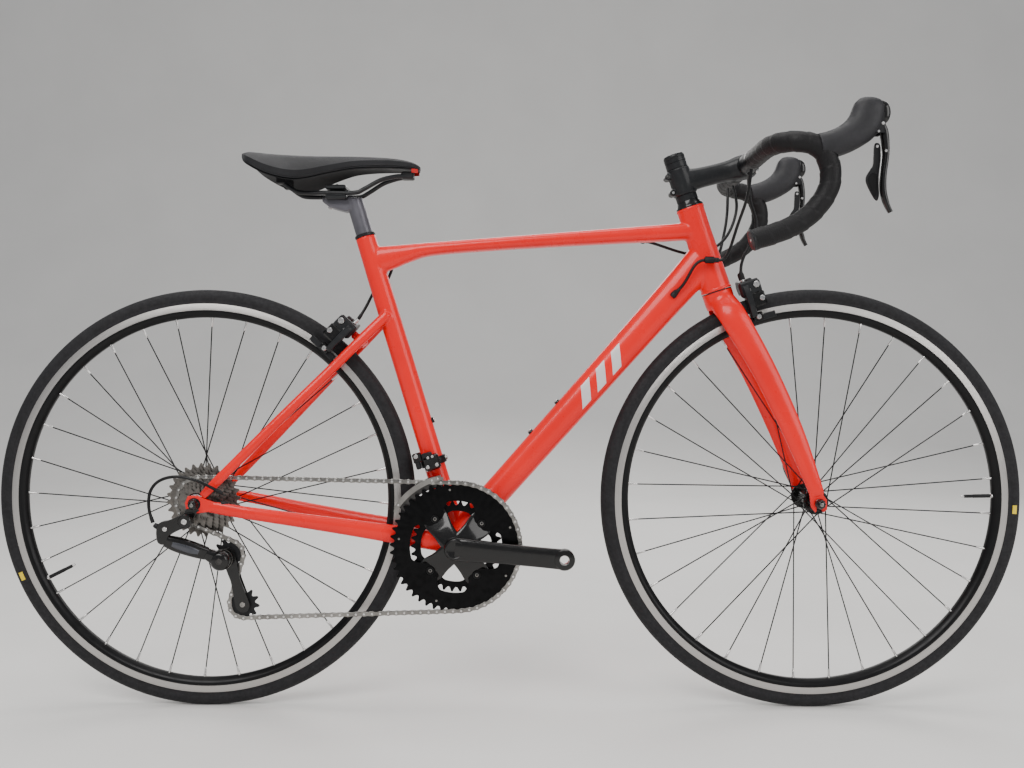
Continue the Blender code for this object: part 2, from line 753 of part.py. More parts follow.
def hood(side):
    name = "right_hood" if side < 0 else "left_hood"
    y = side * BAR_WIDTH / 2
    points = [BAR + Vector((x, y, z)) for x, z in HOOD_PATH]

    def tape_room(work):
        path = bar_path()[4:14]
        if side > 0:
            path = mirrored(path)
        return loft(work, bar_rings(path, [TAPE_RADIUS + GAP] * len(path), 8))

    def lever_room(work):
        centre = BAR + Vector((LEVER_PIVOT[0], y, LEVER_PIVOT[1]))
        return block(work, centre + Vector((0.0075, 0, -0.006)), WORLD, (0.0135, 0.0080, 0.0180))

    def build(work):
        return sweep(work, points, list(HOOD_HALVES), 12)

    solid(name, "black_rubber", build, cuts=[tape_room, lever_room])


def brake_lever(side):
    name = "right_brake_lever" if side < 0 else "left_brake_lever"
    y = side * BAR_WIDTH / 2
    points = [BAR + Vector((x, y, z)) for x, z in LEVER_LINE]
    halves = [(0.0060, 0.0050), (0.0072, 0.0055), (0.0072, 0.0045)]
    halves += [(0.0070, 0.0038), (0.0065, 0.0036), (0.0045, 0.0034)]
    pivot = BAR + Vector((LEVER_PIVOT[0], y, LEVER_PIVOT[1]))
    solid(name, "black_metal", lambda work: sweep(work, points, halves, 10, 2.5), pivot)


def shift_paddle(side):
    name = "right_shift_paddle" if side < 0 else "left_shift_paddle"
    y = side * (BAR_WIDTH / 2 - 0.0040)
    outline = [(0.1370, -0.006), (0.1405, -0.007), (0.1420, -0.030), (0.1400, -0.050), (0.1400, -0.078)]
    outline += [(0.1370, -0.085), (0.1310, -0.075), (0.1240, -0.058), (0.1255, -0.050), (0.1340, -0.040)]
    spots = [(BAR.x + x, BAR.z + z) for x, z in outline]
    pivot = BAR + Vector((PADDLE_TOP[0], y, PADDLE_TOP[1]))
    solid(name, "dark_plastic", lambda work: prism(work, spots, y - 0.0016, y + 0.0016), pivot)


# Brakes


def brake_arm(name, side, bolt, up, out, start):
    """One calliper arm about the brake bolt: side is -1 for the drive side, out runs along the bolt away from
    the frame, and start is where the first arm's layer begins."""
    thick = 0.0125
    layer = start if side < 0 else start + thick + GAP
    outline = [(-0.016, 0.010), (-0.008, 0.017), (0.012, 0.016), (0.030, 0.009)]
    outline += [(0.0365, -0.006), (0.0370, -0.024), (0.0320, -0.0440), (0.0235, -0.0440)]
    outline += [(0.0265, -0.022), (0.0245, -0.009), (0.012, -0.005), (-0.012, -0.006)]

    def arm(work):
        rings = []
        for height in (layer, layer + thick):
            rings.append([bolt + SIDE * side * a + up * b + out * height for a, b in outline])
        return loft(work, rings)

    middle = start + thick

    def pad(work):
        centre = bolt + SIDE * side * (RIM_WIDTH / 2 + 0.0055) - up * BRAKE_BOLT_REACH
        return block(work, centre + out * (middle + 0.004), (SIDE, up, out), (0.0040, 0.0048, 0.0250))

    def post(work):
        centre = bolt + SIDE * side * (RIM_WIDTH / 2 + 0.0130) - up * (BRAKE_BOLT_REACH - 0.004)
        return block(work, centre + out * middle, (SIDE, up, out), (0.0060, 0.0070, 0.0100))

    pivot = bolt + out * layer
    solid(name, "black_metal", arm, pivot, [post, pad])


def brakes():
    along, up = stay_axes()
    rear_bolt = REAR_AXLE + along * (TRACK_RADIUS + BRAKE_BOLT_REACH)
    front_bolt = head_at(FRONT_BOLT_HEIGHT)
    for side, word in ((-1, "right"), (1, "left")):
        brake_arm(f"rear_brake_{word}_arm", side, rear_bolt, along, up, BRIDGE_BOSS + GAP)
        brake_arm(f"front_brake_{word}_arm", side, front_bolt, HEAD_UP, HEAD_FORWARD, FRONT_BRAKE_START)


# Wheels


def tyre_ring(name, axle):
    half = TYRE_WIDTH / 2
    centre = TYRE_RADIUS - half
    profile = []
    for degrees in (-125, -90, -45, 0, 45, 90, 125):
        turn = math.radians(degrees)
        profile.append((centre + half * math.cos(turn), half * math.sin(turn)))
    profile[0] = (BEAD_RADIUS + 0.0008, profile[0][1])
    profile[-1] = (BEAD_RADIUS + 0.0008, profile[-1][1])
    solid(name, "tyre_rubber", lambda work: turned(work, axle, SIDE, profile, WHEEL_STEPS), axle)


def rim_ring(name, axle):
    half = RIM_WIDTH / 2
    well = BEAD_RADIUS - 0.006
    right = [(BEAD_RADIUS, 0.0090), (BEAD_RADIUS, half), (TRACK_RADIUS - 0.005, half)]
    right.append((RIM_INNER_RADIUS, 0.0050))
    profile = [(well, -0.0085), (well, 0.0085), *right]
    profile += [(radius, -height) for radius, height in right[::-1]]
    solid(name, "rim_metal", lambda work: turned(work, axle, SIDE, profile, WHEEL_STEPS), axle)


def spoke_ends(axle, valve_turn, index, flange, right_y, left_y):
    """The hub and rim ends of one spoke, counted from the valve. Spokes alternate between the flanges, and in
    each four the first two lead and the last two trail."""
    side = -1 if index % 2 == 0 else 1
    leads = 1 if index % 4 < 2 else -1
    rim_turn = valve_turn + 2 * math.pi * (index + 0.5) / SPOKES
    hub_turn = rim_turn + leads * SPOKE_CROSSES * 4 * math.pi / SPOKES
    y = (right_y if side < 0 else left_y) + SPOKE_RADIUS * 1.6 * leads
    hub_reach = flange - 0.0035
    rim_reach = RIM_INNER_RADIUS * (1 - WHEEL_SAG) - GAP * 2
    start = Vector((math.cos(hub_turn) * hub_reach, y, math.sin(hub_turn) * hub_reach))
    end = Vector((math.cos(rim_turn) * rim_reach, side * 0.0015, math.sin(rim_turn) * rim_reach))
    return axle + start, axle + end


def spoked_hub(name, axle, valve_turn, right_y, left_y, flange, body, half_width):
    flange_half = 0.0022
    profile = [
        (0.0085, -half_width),
        (0.0085, right_y - flange_half),
        (flange, right_y - flange_half),
        (flange, right_y + flange_half),
        (body, right_y + flange_half + 0.004),
        (body, left_y - flange_half - 0.004),
        (flange, left_y - flange_half),
        (flange, left_y + flange_half),
        (0.0085, left_y + flange_half),
        (0.0085, half_width),
    ]

    def hub(work):
        return turned(work, axle, SIDE, profile, 20, closed=False)

    def spokes(work):
        for index in range(SPOKES):
            start, end = spoke_ends(axle, valve_turn, index, flange, right_y, left_y)
            rod(work, start, end, SPOKE_RADIUS * 1.2, 4)
        return work

    def bore(work):
        return rod(work, axle - SIDE * 0.08, axle + SIDE * 0.08, 0.0029, 10)

    solid(name, "black_metal", hub, axle, joins=[spokes], cuts=[bore])


def wheels():
    tyre_ring("front_tyre", FRONT_AXLE)
    rim_ring("front_rim", FRONT_AXLE)
    half = FRONT_AXLE_WIDTH / 2 - GAP
    spoked_hub("front_spoked_hub", FRONT_AXLE, FRONT_VALVE_TURN, -0.0345, 0.0345, 0.0200, 0.0130, half)
    tyre_ring("rear_tyre", REAR_AXLE)
    rim_ring("rear_rim", REAR_AXLE)
    half = REAR_AXLE_WIDTH / 2 - GAP
    spoked_hub("rear_spoked_hub", REAR_AXLE, REAR_VALVE_TURN, -0.0180, 0.0370, 0.0230, 0.0150, half)


def skewer(name, axle, out):
    """The rod with the nut at the drive side and the lever's seat at the other side."""
    nut = out + GAP

    def build(work):
        profile = [(0.0024, nut + 0.0005), (0.0024, -nut - 0.0005), (0.0080, -nut), (0.0080, -nut - 0.007)]
        profile += [(0.0055, -nut - 0.0125)]
        return turned(work, axle, SIDE, profile[::-1], 12, closed=False)

    def seat(work):
        profile = [(0.0085, nut), (0.0085, nut + 0.007), (0.0060, nut + 0.0097)]
        return turned(work, axle, SIDE, profile, 12, closed=False)

    solid(name, "black_metal", build, joins=[seat])


def quick_release_lever(name, axle, out, direction):
    base = axle + SIDE * (out + 0.0175)
    along = Vector(direction).normalized()
    across = along.cross(SIDE)

    def build(work):
        spots = [-0.006, 0.006, 0.020, 0.040, 0.055]
        halves = [(0.0040, 0.0050), (0.0062, 0.0070), (0.0030, 0.0060), (0.0025, 0.0075), (0.0022, 0.0050)]
        shifts = [0, 0, 0.001, 0.002, 0.0]
        points = [base + along * spot + SIDE * shift for spot, shift in zip(spots, shifts)]
        return sweep(work, points, halves, 10)

    return solid(name, "black_metal", build, base)


def quick_releases():
    skewer("front_skewer", FRONT_AXLE, FRONT_OUT)
    quick_release_lever("front_qr_lever", FRONT_AXLE, FRONT_OUT, (-0.35, 0, 0.94))
    skewer("rear_skewer", REAR_AXLE, REAR_OUT)
    quick_release_lever("rear_qr_lever", REAR_AXLE, REAR_OUT, (0.35, 0, 0.94))


# Drive train


def pitch_radius(teeth):
    return PITCH / (2 * math.sin(math.pi / teeth))


def toothed(teeth, centre, y, half, rise=0.0033, root=-0.0040):
    """A toothed disc's outer loop, as points per tooth round a centre, at both faces."""
    radius = pitch_radius(teeth)
    outline = []
    for tooth in range(teeth):
        for share, height in ((0.0, root), (0.5, rise)):
            turn = 2 * math.pi * (tooth + share) / teeth
            reach = radius + height
            outline.append((centre.x + math.cos(turn) * reach, centre.z + math.sin(turn) * reach))
    return lambda work: prism(work, outline, y - half, y + half)


def ring_gear(name, teeth, y, inner):
    solid(
        name,
        "black_metal",
        toothed(teeth, BB, y, 0.0010),
        BB,
        cuts=[lambda work: rod(work, BB - SIDE * 0.08, BB + SIDE * 0.01, inner, 24)],
    )


def crank_direction(side):
    turn = CRANK_SLOPE if side < 0 else CRANK_SLOPE + math.pi
    return Vector((math.cos(turn), 0, math.sin(turn)))


def crank_arm(side, along, start_y, end_y):
    spots = [0.0, 0.03, CRANK_LENGTH * 0.5, CRANK_LENGTH - 0.006]
    halves = [(0.0065, 0.0178), (0.0068, 0.0168), (0.0062, 0.0152), (0.0055, 0.0148)]
    points = []
    for spot in spots:
        share = spot / CRANK_LENGTH
        y = start_y + (end_y - start_y) * share
        points.append(BB + along * spot + SIDE * y)
    return lambda work: sweep(work, points, halves, 12, 2.8)


def crank(side):
    name = "right_crank" if side < 0 else "left_crank"
    along = crank_direction(side)
    inner = BB_SHELL_WIDTH / 2 + 0.0012
    face = 0.0740
    eye_centre = BB + along * CRANK_LENGTH

    def hub(work):
        low, high = side * inner, side * (face - 0.004)
        profile = [(0.0180, low), (0.0180, low + (high - low) * 0.75), (0.0150, high)]
        return turned(work, BB, SIDE, profile, 20, closed=False)

    def eye(work):
        outer = eye_centre + SIDE * side * face
        return rod(work, outer - SIDE * side * 0.0135, outer, CRANK_EYE_RADIUS, 16)

    def thread(work):
        return rod(work, eye_centre + SIDE * side * 0.04, eye_centre + SIDE * side * 0.09, 0.0071, 16)

    arm = crank_arm(side, along, side * (face - 0.011), side * (face - 0.0070))
    if side > 0:

        def socket(work):
            return rod(work, BB + SIDE * 0.03, BB + SIDE * 0.0605, SPINDLE_RADIUS + GAP, 16)

        solid(name, "black_metal", hub, BB, [arm, eye], [thread, socket])
        return

    def spindle(work):
        return rod(work, BB - SIDE * 0.06, BB + SIDE * 0.0600, SPINDLE_RADIUS, 16)

    def spider(degrees):
        turn = math.radians(degrees) + CRANK_SLOPE
        out = Vector((math.cos(turn), 0, math.sin(turn)))
        middle = (BIG_RING_Y + SMALL_RING_Y) / 2
        half = abs(BIG_RING_Y - SMALL_RING_Y) / 2 - 0.0010 - GAP
        spots = [(0.012, -0.0530, 0.0030, 0.0120), (0.032, -0.0500, 0.0028, 0.0100)]
        spots += [(0.0455, middle, half, 0.0090), (0.0625, middle, half, 0.0075)]
        points = [BB + out * reach + SIDE * y for reach, y, _, _ in spots]
        halves = [(thick, wide) for _, _, thick, wide in spots]
        return lambda work: sweep(work, points, halves, 8, 3.5)

    solid(name, "black_metal", hub, BB, [arm, eye, spindle, *map(spider, SPIDER_TURNS)], [thread])


def cassette():
    """Cogs as turned steps, with a groove on each side of the cog that carries the chain."""
    bore = 0.0088
    half = 0.0008

    def build(work):
        profile = [(bore, FIRST_COG_Y - half)]
        for index, teeth in enumerate(COGS):
            y = FIRST_COG_Y + index * COG_PITCH
            reach = pitch_radius(teeth) + COG_TIP
            floor = pitch_radius(COGS[CHAIN_COG]) - 0.0075
            if index == CHAIN_COG:
                profile += [(floor, y - half), (reach, y - half), (reach, y + half), (floor, y + half)]
            elif index == CHAIN_COG - 1:
                profile += [(reach, y - half), (reach, y + half), (floor, y + half)]
            elif index == CHAIN_COG + 1:
                profile += [(floor, y - half), (reach, y - half), (reach, y + half)]
            else:
                profile += [(reach, y - half), (reach, y + half)]
        profile.append((bore, FIRST_COG_Y + (len(COGS) - 1) * COG_PITCH + half))
        return turned(work, REAR_AXLE, SIDE, profile, 20)

    solid("cassette", "steel", build, REAR_AXLE)


def pulley(name, centre):
    def bore(work):
        return rod(work, centre - SIDE * 0.01, centre + SIDE * 0.01, 0.0040, 10)

    disc = toothed(PULLEY_TEETH, centre, centre.y, 0.0009)
    solid(name, "dark_plastic", disc, centre, cuts=[bore])


def run_direction(first, radius_one, spin_one, second, radius_two, spin_two):
    """The unit direction of a chain run between two wheels from the drive side: spin is 1 for clockwise."""
    gap = Vector((second.x - first.x, 0, second.z - first.z))
    turn = math.atan2(gap.z, gap.x)
    turn += math.asin((spin_two * radius_two - spin_one * radius_one) / gap.length)
    return Vector((math.cos(turn), 0, math.sin(turn)))


def left_of(direction):
    return Vector((-direction.z, 0, direction.x))


def chain_path():
    """The loop of the chain, as (point, left normal, start of a free stretch), with its wheels in the order
    that the chain meets them. It keeps each wheel's plane near the wheel and changes plane in between."""
    cog_radius = pitch_radius(COGS[CHAIN_COG])
    wheels = [
        (REAR_AXLE + SIDE * CHAIN_COG_Y, cog_radius, 1),
        (BB + SIDE * BIG_RING_Y, pitch_radius(BIG_RING_TEETH), 1),
        (TENSION, pitch_radius(PULLEY_TEETH), 1),
        (GUIDE, pitch_radius(PULLEY_TEETH), -1),
    ]
    path = []
    for number, (centre, radius, spin) in enumerate(wheels):
        before = wheels[number - 1]
        after = wheels[(number + 1) % 4]
        inward = run_direction(before[0], before[1], before[2], centre, radius, spin)
        outward = run_direction(centre, radius, spin, after[0], after[1], after[2])
        begin = math.atan2(inward.z, inward.x)
        end = math.atan2(outward.z, outward.x)
        sweep_turn = (begin - end) % (2 * math.pi) if spin > 0 else (end - begin) % (2 * math.pi)
        steps = max(3, math.ceil(sweep_turn / math.radians(12 if radius > 0.08 else 24)))
        first = centre + left_of(inward) * radius * spin
        last = centre + left_of(outward) * radius * spin
        lead = (before[0] - centre).length * LEAD_SHARE
        path.append((first - inward * lead, left_of(inward), False))
        for i in range(steps + 1):
            turn = begin - spin * sweep_turn * i / steps
            normal = left_of(Vector((math.cos(turn), 0, math.sin(turn))))
            path.append((centre + normal * radius * spin, normal, False))
        lead = (after[0] - centre).length * LEAD_SHARE
        path.append((last + outward * lead, left_of(outward), True))
    return path


def chain():
    path = chain_path()

    def plate(side):
        def build(work):
            rings = []
            for point, normal, _ in path:
                near, far = side * 0.00125, side * 0.00250
                rings.append(
                    [
                        point + normal * 0.0034 + SIDE * near,
                        point + normal * 0.0034 + SIDE * far,
                        point - normal * 0.0034 + SIDE * far,
                        point - normal * 0.0034 + SIDE * near,
                    ]
                )
            return loft(work, rings, closed=True)

        return build

    def pins(work):
        for index, (point, _, last) in enumerate(path):
            if not last:
                continue
            ahead = path[(index + 1) % len(path)][0]
            length = (ahead - point).length
            count = max(1, min(5, int(length / 0.03)))
            for i in range(count):
                centre = point + (ahead - point) * (i + 1) / (count + 1)
                rod(work, centre - SIDE * 0.0020, centre + SIDE * 0.0020, 0.0019, 6)
        return work

    solid("chain", "steel", plate(-1), joins=[pins, plate(1)])


def front_derailleur():
    def clamp(work):
        centre = FD_BODY + SIDE * -0.0265
        return block(work, centre, (SEAT_FORWARD, SIDE, SEAT_UP), (0.0150, 0.0100, 0.0165))

    def arm(work):
        centre = FD_BODY + SIDE * -0.0265 - SEAT_FORWARD * 0.0200 + SEAT_UP * 0.006
        return block(work, centre, (SEAT_FORWARD, SIDE, SEAT_UP), (0.0080, 0.0080, 0.0140))

    solid("front_derailleur_body", "black_metal", clamp, joins=[arm], cuts=[seat_tube_shape(GAP)])

    def plate(y, inner, outer, start, end):
        def build(work):
            outline = []
            for i in range(7):
                turn = math.radians(start + (end - start) * i / 6)
                outline.append((BB.x + math.cos(turn) * inner, BB.z + math.sin(turn) * inner))
            for i in range(7):
                turn = math.radians(end + (start - end) * i / 6)
                outline.append((BB.x + math.cos(turn) * outer, BB.z + math.sin(turn) * outer))
            return prism(work, outline, y - 0.0007, y + 0.0007)

        return build

    ring = pitch_radius(BIG_RING_TEETH)
    out_y = BIG_RING_Y - 0.0050
    in_y = BIG_RING_Y + 0.0068

    def bridge(start, end, reach):
        def build(work):
            top = reach + 0.0022
            outline = []
            for turn, radius in ((start, reach), (end, reach), (end, top), (start, top)):
                angle = math.radians(turn)
                outline.append((BB.x + math.cos(angle) * radius, BB.z + math.sin(angle) * radius))
            return prism(work, outline, out_y, in_y)

        return build

    high = ring + 0.0200
    inner_plate = plate(in_y, ring - 0.012, high, 102, 146)
    outer_plate = plate(out_y, ring + 0.0060, high, 100, 150)
    joins = [inner_plate, bridge(101, 112, high - 0.0021), bridge(140, 148, high - 0.0021)]
    solid("front_derailleur_cage", "steel", outer_plate, FD_BODY, joins)


def rear_derailleur():
    bolt_y = -REAR_OUT - 0.0010

    def knuckle(work):
        a, b = RD_BOLT, RD_LINK_TOP
        outline = [(a.x + 0.010, a.z - 0.002), (a.x + 0.006, a.z + 0.009), (a.x - 0.006, a.z + 0.009)]
        outline += [(b.x - 0.006, b.z + 0.024), (b.x - 0.013, b.z + 0.018), (b.x - 0.010, b.z - 0.006)]
        outline += [(b.x + 0.002, b.z - 0.009), (b.x + 0.006, b.z + 0.008), (a.x + 0.002, a.z - 0.012)]
        return prism(work, outline, bolt_y - 0.0140, bolt_y)

    def bolt(work):
        return rod(work, RD_BOLT + SIDE * (bolt_y + 0.008), RD_BOLT + SIDE * (bolt_y - 0.0165), 0.0043, 12)

    def tail(work):
        middle = RD_LINK_TOP + SIDE * (bolt_y - 0.008)
        return rod(work, middle + Vector((-0.017, 0, 0.021)), middle + Vector((-0.005, 0, 0.014)), 0.0042, 10)

    solid("rd_b_knuckle", "black_metal", knuckle, RD_BOLT, [bolt, tail])

    top = RD_LINK_TOP + SIDE * (bolt_y - 0.0080)
    low = RD_LINK_LOW + SIDE * (CHAIN_COG_Y - 0.0245)
    link_along = (low - top).normalized()

    def link(work):
        start = top + Vector((0.0175, 0.002, -0.0085))
        end = low - link_along * 0.0075
        halves = [(0.0075, 0.0100), (0.0070, 0.0095), (0.0065, 0.0085)]
        return sweep(work, [start, (start + end) / 2, end], halves, 10, 3.0)

    def link_root(work):
        start = top + Vector((0.0095, 0.000, -0.0045))
        end = start + Vector((0.012, 0.001, -0.0055))
        return sweep(work, [start, end], [(0.0060, 0.0080), (0.0070, 0.0095)], 10, 3.0)

    solid("rd_link", "steel", link, top, [link_root])

    face = CHAIN_COG_Y - 0.0078

    def p_knuckle(work):
        profile = [(0.0110, face - 0.0240), (0.0150, face - 0.0190), (0.0160, face)]
        return turned(work, RD_CAGE_PIVOT, SIDE, profile, 16, closed=False)

    def p_ear(work):
        start = low + link_along * 0.0010
        end = RD_CAGE_PIVOT + SIDE * (face - 0.012)
        return sweep(work, [start, end], [(0.0080, 0.0085), (0.0090, 0.0120)], 10, 3.0)

    solid("rd_p_knuckle", "black_metal", p_knuckle, RD_CAGE_PIVOT + SIDE * face, [p_ear])

    def cage_plate(y, half, grow):
        along = (TENSION - GUIDE).normalized()
        across = along.cross(SIDE)
        outline = []
        for centre, begin in ((GUIDE, 90), (TENSION, -90)):
            for i in range(5):
                turn = math.radians(begin + 45 * i)
                spot = centre + along * math.cos(turn) * (0.0130 + grow)
                spot = spot + across * math.sin(turn) * (0.0115 + grow)
                outline.append((spot.x, spot.z))
        return lambda work: prism(work, outline, y - half, y + half)

    def pulley_bolt(centre):
        return lambda work: rod(work, centre - SIDE * 0.0055, centre + SIDE * 0.0055, 0.0034, 10)

    outer = cage_plate(CHAIN_COG_Y - 0.0060, 0.0009, 0.0)
    inner = cage_plate(CHAIN_COG_Y + 0.0050, 0.0008, -0.001)
    joins = [pulley_bolt(GUIDE), pulley_bolt(TENSION), inner]
    solid("rd_cage", "black_metal", outer, RD_CAGE_PIVOT + SIDE * face, joins)


# Seat


def saddle():
    """Each station is its share of the length, half width, top above the rails, thickness and wing drop."""
    stations = [
        (0.000, 0.0400, 0.0610, 0.0100, 0.006),
        (0.045, 0.0620, 0.0620, 0.0170, 0.014),
        (0.160, 0.0700, 0.0600, 0.0200, 0.028),
        (0.320, 0.0640, 0.0585, 0.0200, 0.034),
        (0.460, 0.0440, 0.0580, 0.0190, 0.024),
        (0.620, 0.0280, 0.0580, 0.0190, 0.012),
        (0.820, 0.0220, 0.0550, 0.0180, 0.007),
        (0.960, 0.0185, 0.0480, 0.0130, 0.004),
        (1.000, 0.0110, 0.0410, 0.0070, 0.001),
    ]

    def build(work):
        rings = []
        for share, wide, top, thick, drop in stations:
            x = SADDLE_TAIL + SADDLE_LENGTH * share
            z = RAIL_Z + top
            shape = [(0, 0), (0.5, 0.12), (0.85, 0.55), (1.0, 1.0)]
            upper = [(wide * a, z - drop * b) for a, b in shape]
            lower = [(wide * a, z - thick * (1 - 0.35 * a) - drop * b) for a, b in shape[:3]]
            half = upper + lower[::-1]
            ring = [Vector((x, y, height)) for y, height in half]
            ring += [Vector((x, -y, height)) for y, height in half[::-1] if y > 0]
            rings.append(ring)
        return loft(work, rings)

    solid("saddle", "saddle_cover", build)


def saddle_rails():
    half = RAIL_HALF_GAP
    tail = CLAMP_X - 0.085
    right = [
        Vector((CLAMP_X + 0.116, -0.004, RAIL_Z + 0.0290)),
        Vector((CLAMP_X + 0.090, -0.012, RAIL_Z + 0.0265)),
        Vector((CLAMP_X + 0.069, -0.0170, RAIL_Z + 0.0200)),
        Vector((CLAMP_X + 0.045, -0.0210, RAIL_Z + 0.0060)),
        Vector((CLAMP_X + 0.030, -half, RAIL_Z)),
        Vector((CLAMP_X - 0.052, -half, RAIL_Z)),
        Vector((CLAMP_X - 0.068, -half - 0.002, RAIL_Z + 0.0050)),
        Vector((tail, -half - 0.004, RAIL_Z + 0.0180)),
    ]
    whole = right[::-1] + mirrored(right)

    def build(work):
        return loft(work, bar_rings(whole, [0.0035] * len(whole), 8))

    solid("saddle_rails", "black_metal", build)


def seatpost():
    low = SEAT_TOP - SEAT_UP * SEATPOST_INSERT
    high = SEAT_TOP + SEAT_UP * SEATPOST_SHOWN

    def post(work):
        return rod(work, low, high, SEATPOST_RADIUS, 20)

    def head(work):
        x, z = CLAMP_X, RAIL_Z - 0.0040
        outline = [(x - 0.024, z), (x - 0.024, z - 0.010), (x - 0.010, z - 0.018)]
        outline += [(high.x - 0.010, high.z - 0.020), (high.x + 0.012, high.z - 0.010)]
        outline += [(high.x + 0.010, z), (x + 0.022, z)]
        return prism(work, outline, -0.0130, 0.0130)

    def cradle(work):
        centre = Vector((CLAMP_X, 0, RAIL_Z - 0.0072))
        return block(work, centre, WORLD, (0.0170, 0.0265, 0.0032))

    def web(work):
        return block(work, (CLAMP_X, 0, RAIL_Z + 0.001), WORLD, (0.0120, 0.0130, 0.0075))

    def plate(work):
        centre = Vector((CLAMP_X, 0, RAIL_Z + 0.0100))
        return block(work, centre, WORLD, (0.0160, 0.0265, 0.0060))

    solid("seatpost", "black_metal", post, joins=[head, cradle, web, plate])


# Cables. Each route's points are chosen by hand.


def cables():
    half = BAR_WIDTH / 2
    front = [
        BAR + Vector((-0.006, half * -0.27, -0.0200)),
        BAR + Vector((0.000, half * -0.14, -0.0330)),
        BAR + Vector((0.006, -0.018, -0.0600)),
        BAR + Vector((0.016, -0.020, -0.1000)),
    ]
    bolt = head_at(FRONT_BOLT_HEIGHT) + HEAD_FORWARD * (FRONT_BRAKE_START + 0.006) + HEAD_UP * 0.0200
    front += [bolt + Vector((0.002, -0.018, 0.030)), bolt + Vector((0, -0.018, 0.002))]
    cable("front_brake_cable", front)
    start, along, length = top_tube_line()
    port = start + along * length * 0.845 + Vector((0, 0.0200, -0.020))
    rear = [
        BAR + Vector((-0.006, half * 0.30, -0.0200)),
        BAR + Vector((-0.004, half * 0.17, -0.0600)),
        BAR + Vector((-0.020, 0.030, -0.1050)),
        head_at(0.066) + HEAD_FORWARD * 0.018 + SIDE * 0.0330,
        head_at(0.070) + SIDE * 0.0300 - HEAD_FORWARD * 0.018,
        port + Vector((0.025, 0.006, -0.006)),
        port,
    ]
    cable("rear_brake_cable_front", rear)
    for side, word in ((-1, "right"), (1, "left")):
        start, end = down_tube_line()
        along = (end - start).normalized()
        landing = end - along * 0.0790 + SIDE * side * 0.0240
        shift = [
            BAR + Vector((-0.009, side * half * 0.42, -0.0190)),
            BAR + Vector((-0.012, side * half * 0.36, -0.0600)),
            BAR + Vector((-0.022, side * 0.050, -0.1000)),
            head_at(0.044) + HEAD_FORWARD * 0.022 + SIDE * side * 0.0400,
            head_at(0.048) + SIDE * side * 0.0345 + HEAD_FORWARD * 0.001,
            head_at(0.052) + SIDE * side * 0.0320 - HEAD_FORWARD * 0.022,
            landing + along * 0.022 + SIDE * side * 0.0050,
            landing,
        ]
        cable(f"{word}_shift_cable", shift)
    start, along, length = top_tube_line()
    exit_port = start + along * length * 0.075 + Vector((0, 0.0195, -0.022))
    stay_along, stay_up = stay_axes()
    brake = REAR_AXLE + stay_along * (TRACK_RADIUS + BRAKE_BOLT_REACH + 0.021)
    brake += stay_up * (BRIDGE_BOSS + 0.0065)
    rear_run = [
        exit_port,
        exit_port + Vector((-0.012, 0.004, -0.032)),
        BB + SEAT_UP * 0.432 + SIDE * 0.0225 - SEAT_FORWARD * 0.010,
        BB + SEAT_UP * 0.408 + SIDE * 0.0200 - SEAT_FORWARD * 0.0330,
        brake + SIDE * 0.014 + stay_up * 0.006,
    ]
    cable("rear_brake_cable_rear", rear_run)
    loop_y = -REAR_OUT - 0.0095
    loop = [
        REAR_AXLE + Vector((0.045, -0.0755, 0.018)),
        REAR_AXLE + Vector((0.012, -0.0860, 0.038)),
        REAR_AXLE + Vector((-0.022, loop_y - 0.004, 0.045)),
        REAR_AXLE + Vector((-0.050, loop_y - 0.002, 0.038)),
        REAR_AXLE + Vector((-0.0650, loop_y, 0.020)),
        REAR_AXLE + Vector((-0.0665, loop_y, -0.006)),
        REAR_AXLE + Vector((-0.0605, loop_y, -0.0265)),
    ]
    cable("derailleur_cable_loop", loop)


def main():
    clear_scene()
    head_tube()
    seat_tube()
    bottom_bracket_shell()
    top_tube()
    down_tube()
    chainstay(-1)
    chainstay(1)
    seatstays()
    seatpost_collar()
    fork()
    steering_rings()
    stem()
    stem_faceplate()
    handlebar()
    for side in (-1, 1):
        bar_tape(side)
        hood(side)
        brake_lever(side)
        shift_paddle(side)
        crank(side)
    brakes()
    wheels()
    quick_releases()
    ring_gear("outer_chainring", BIG_RING_TEETH, BIG_RING_Y, RING_INNER)
    ring_gear("inner_chainring", SMALL_RING_TEETH, SMALL_RING_Y, RING_INNER)
    cassette()
    pulley("guide_pulley", GUIDE)
    pulley("tension_pulley", TENSION)
    chain()
    front_derailleur()
    rear_derailleur()
    saddle()
    saddle_rails()
    seatpost()
    cables()


main()
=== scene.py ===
"""Looks of the road bicycle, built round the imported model. Metres, +Z up, the bicycle faces +X and its drive
side is -Y. The origin is on the ground midway between the axles."""

import json
import math

import bmesh
import bpy
import numpy as np
from mathutils import Matrix, Vector

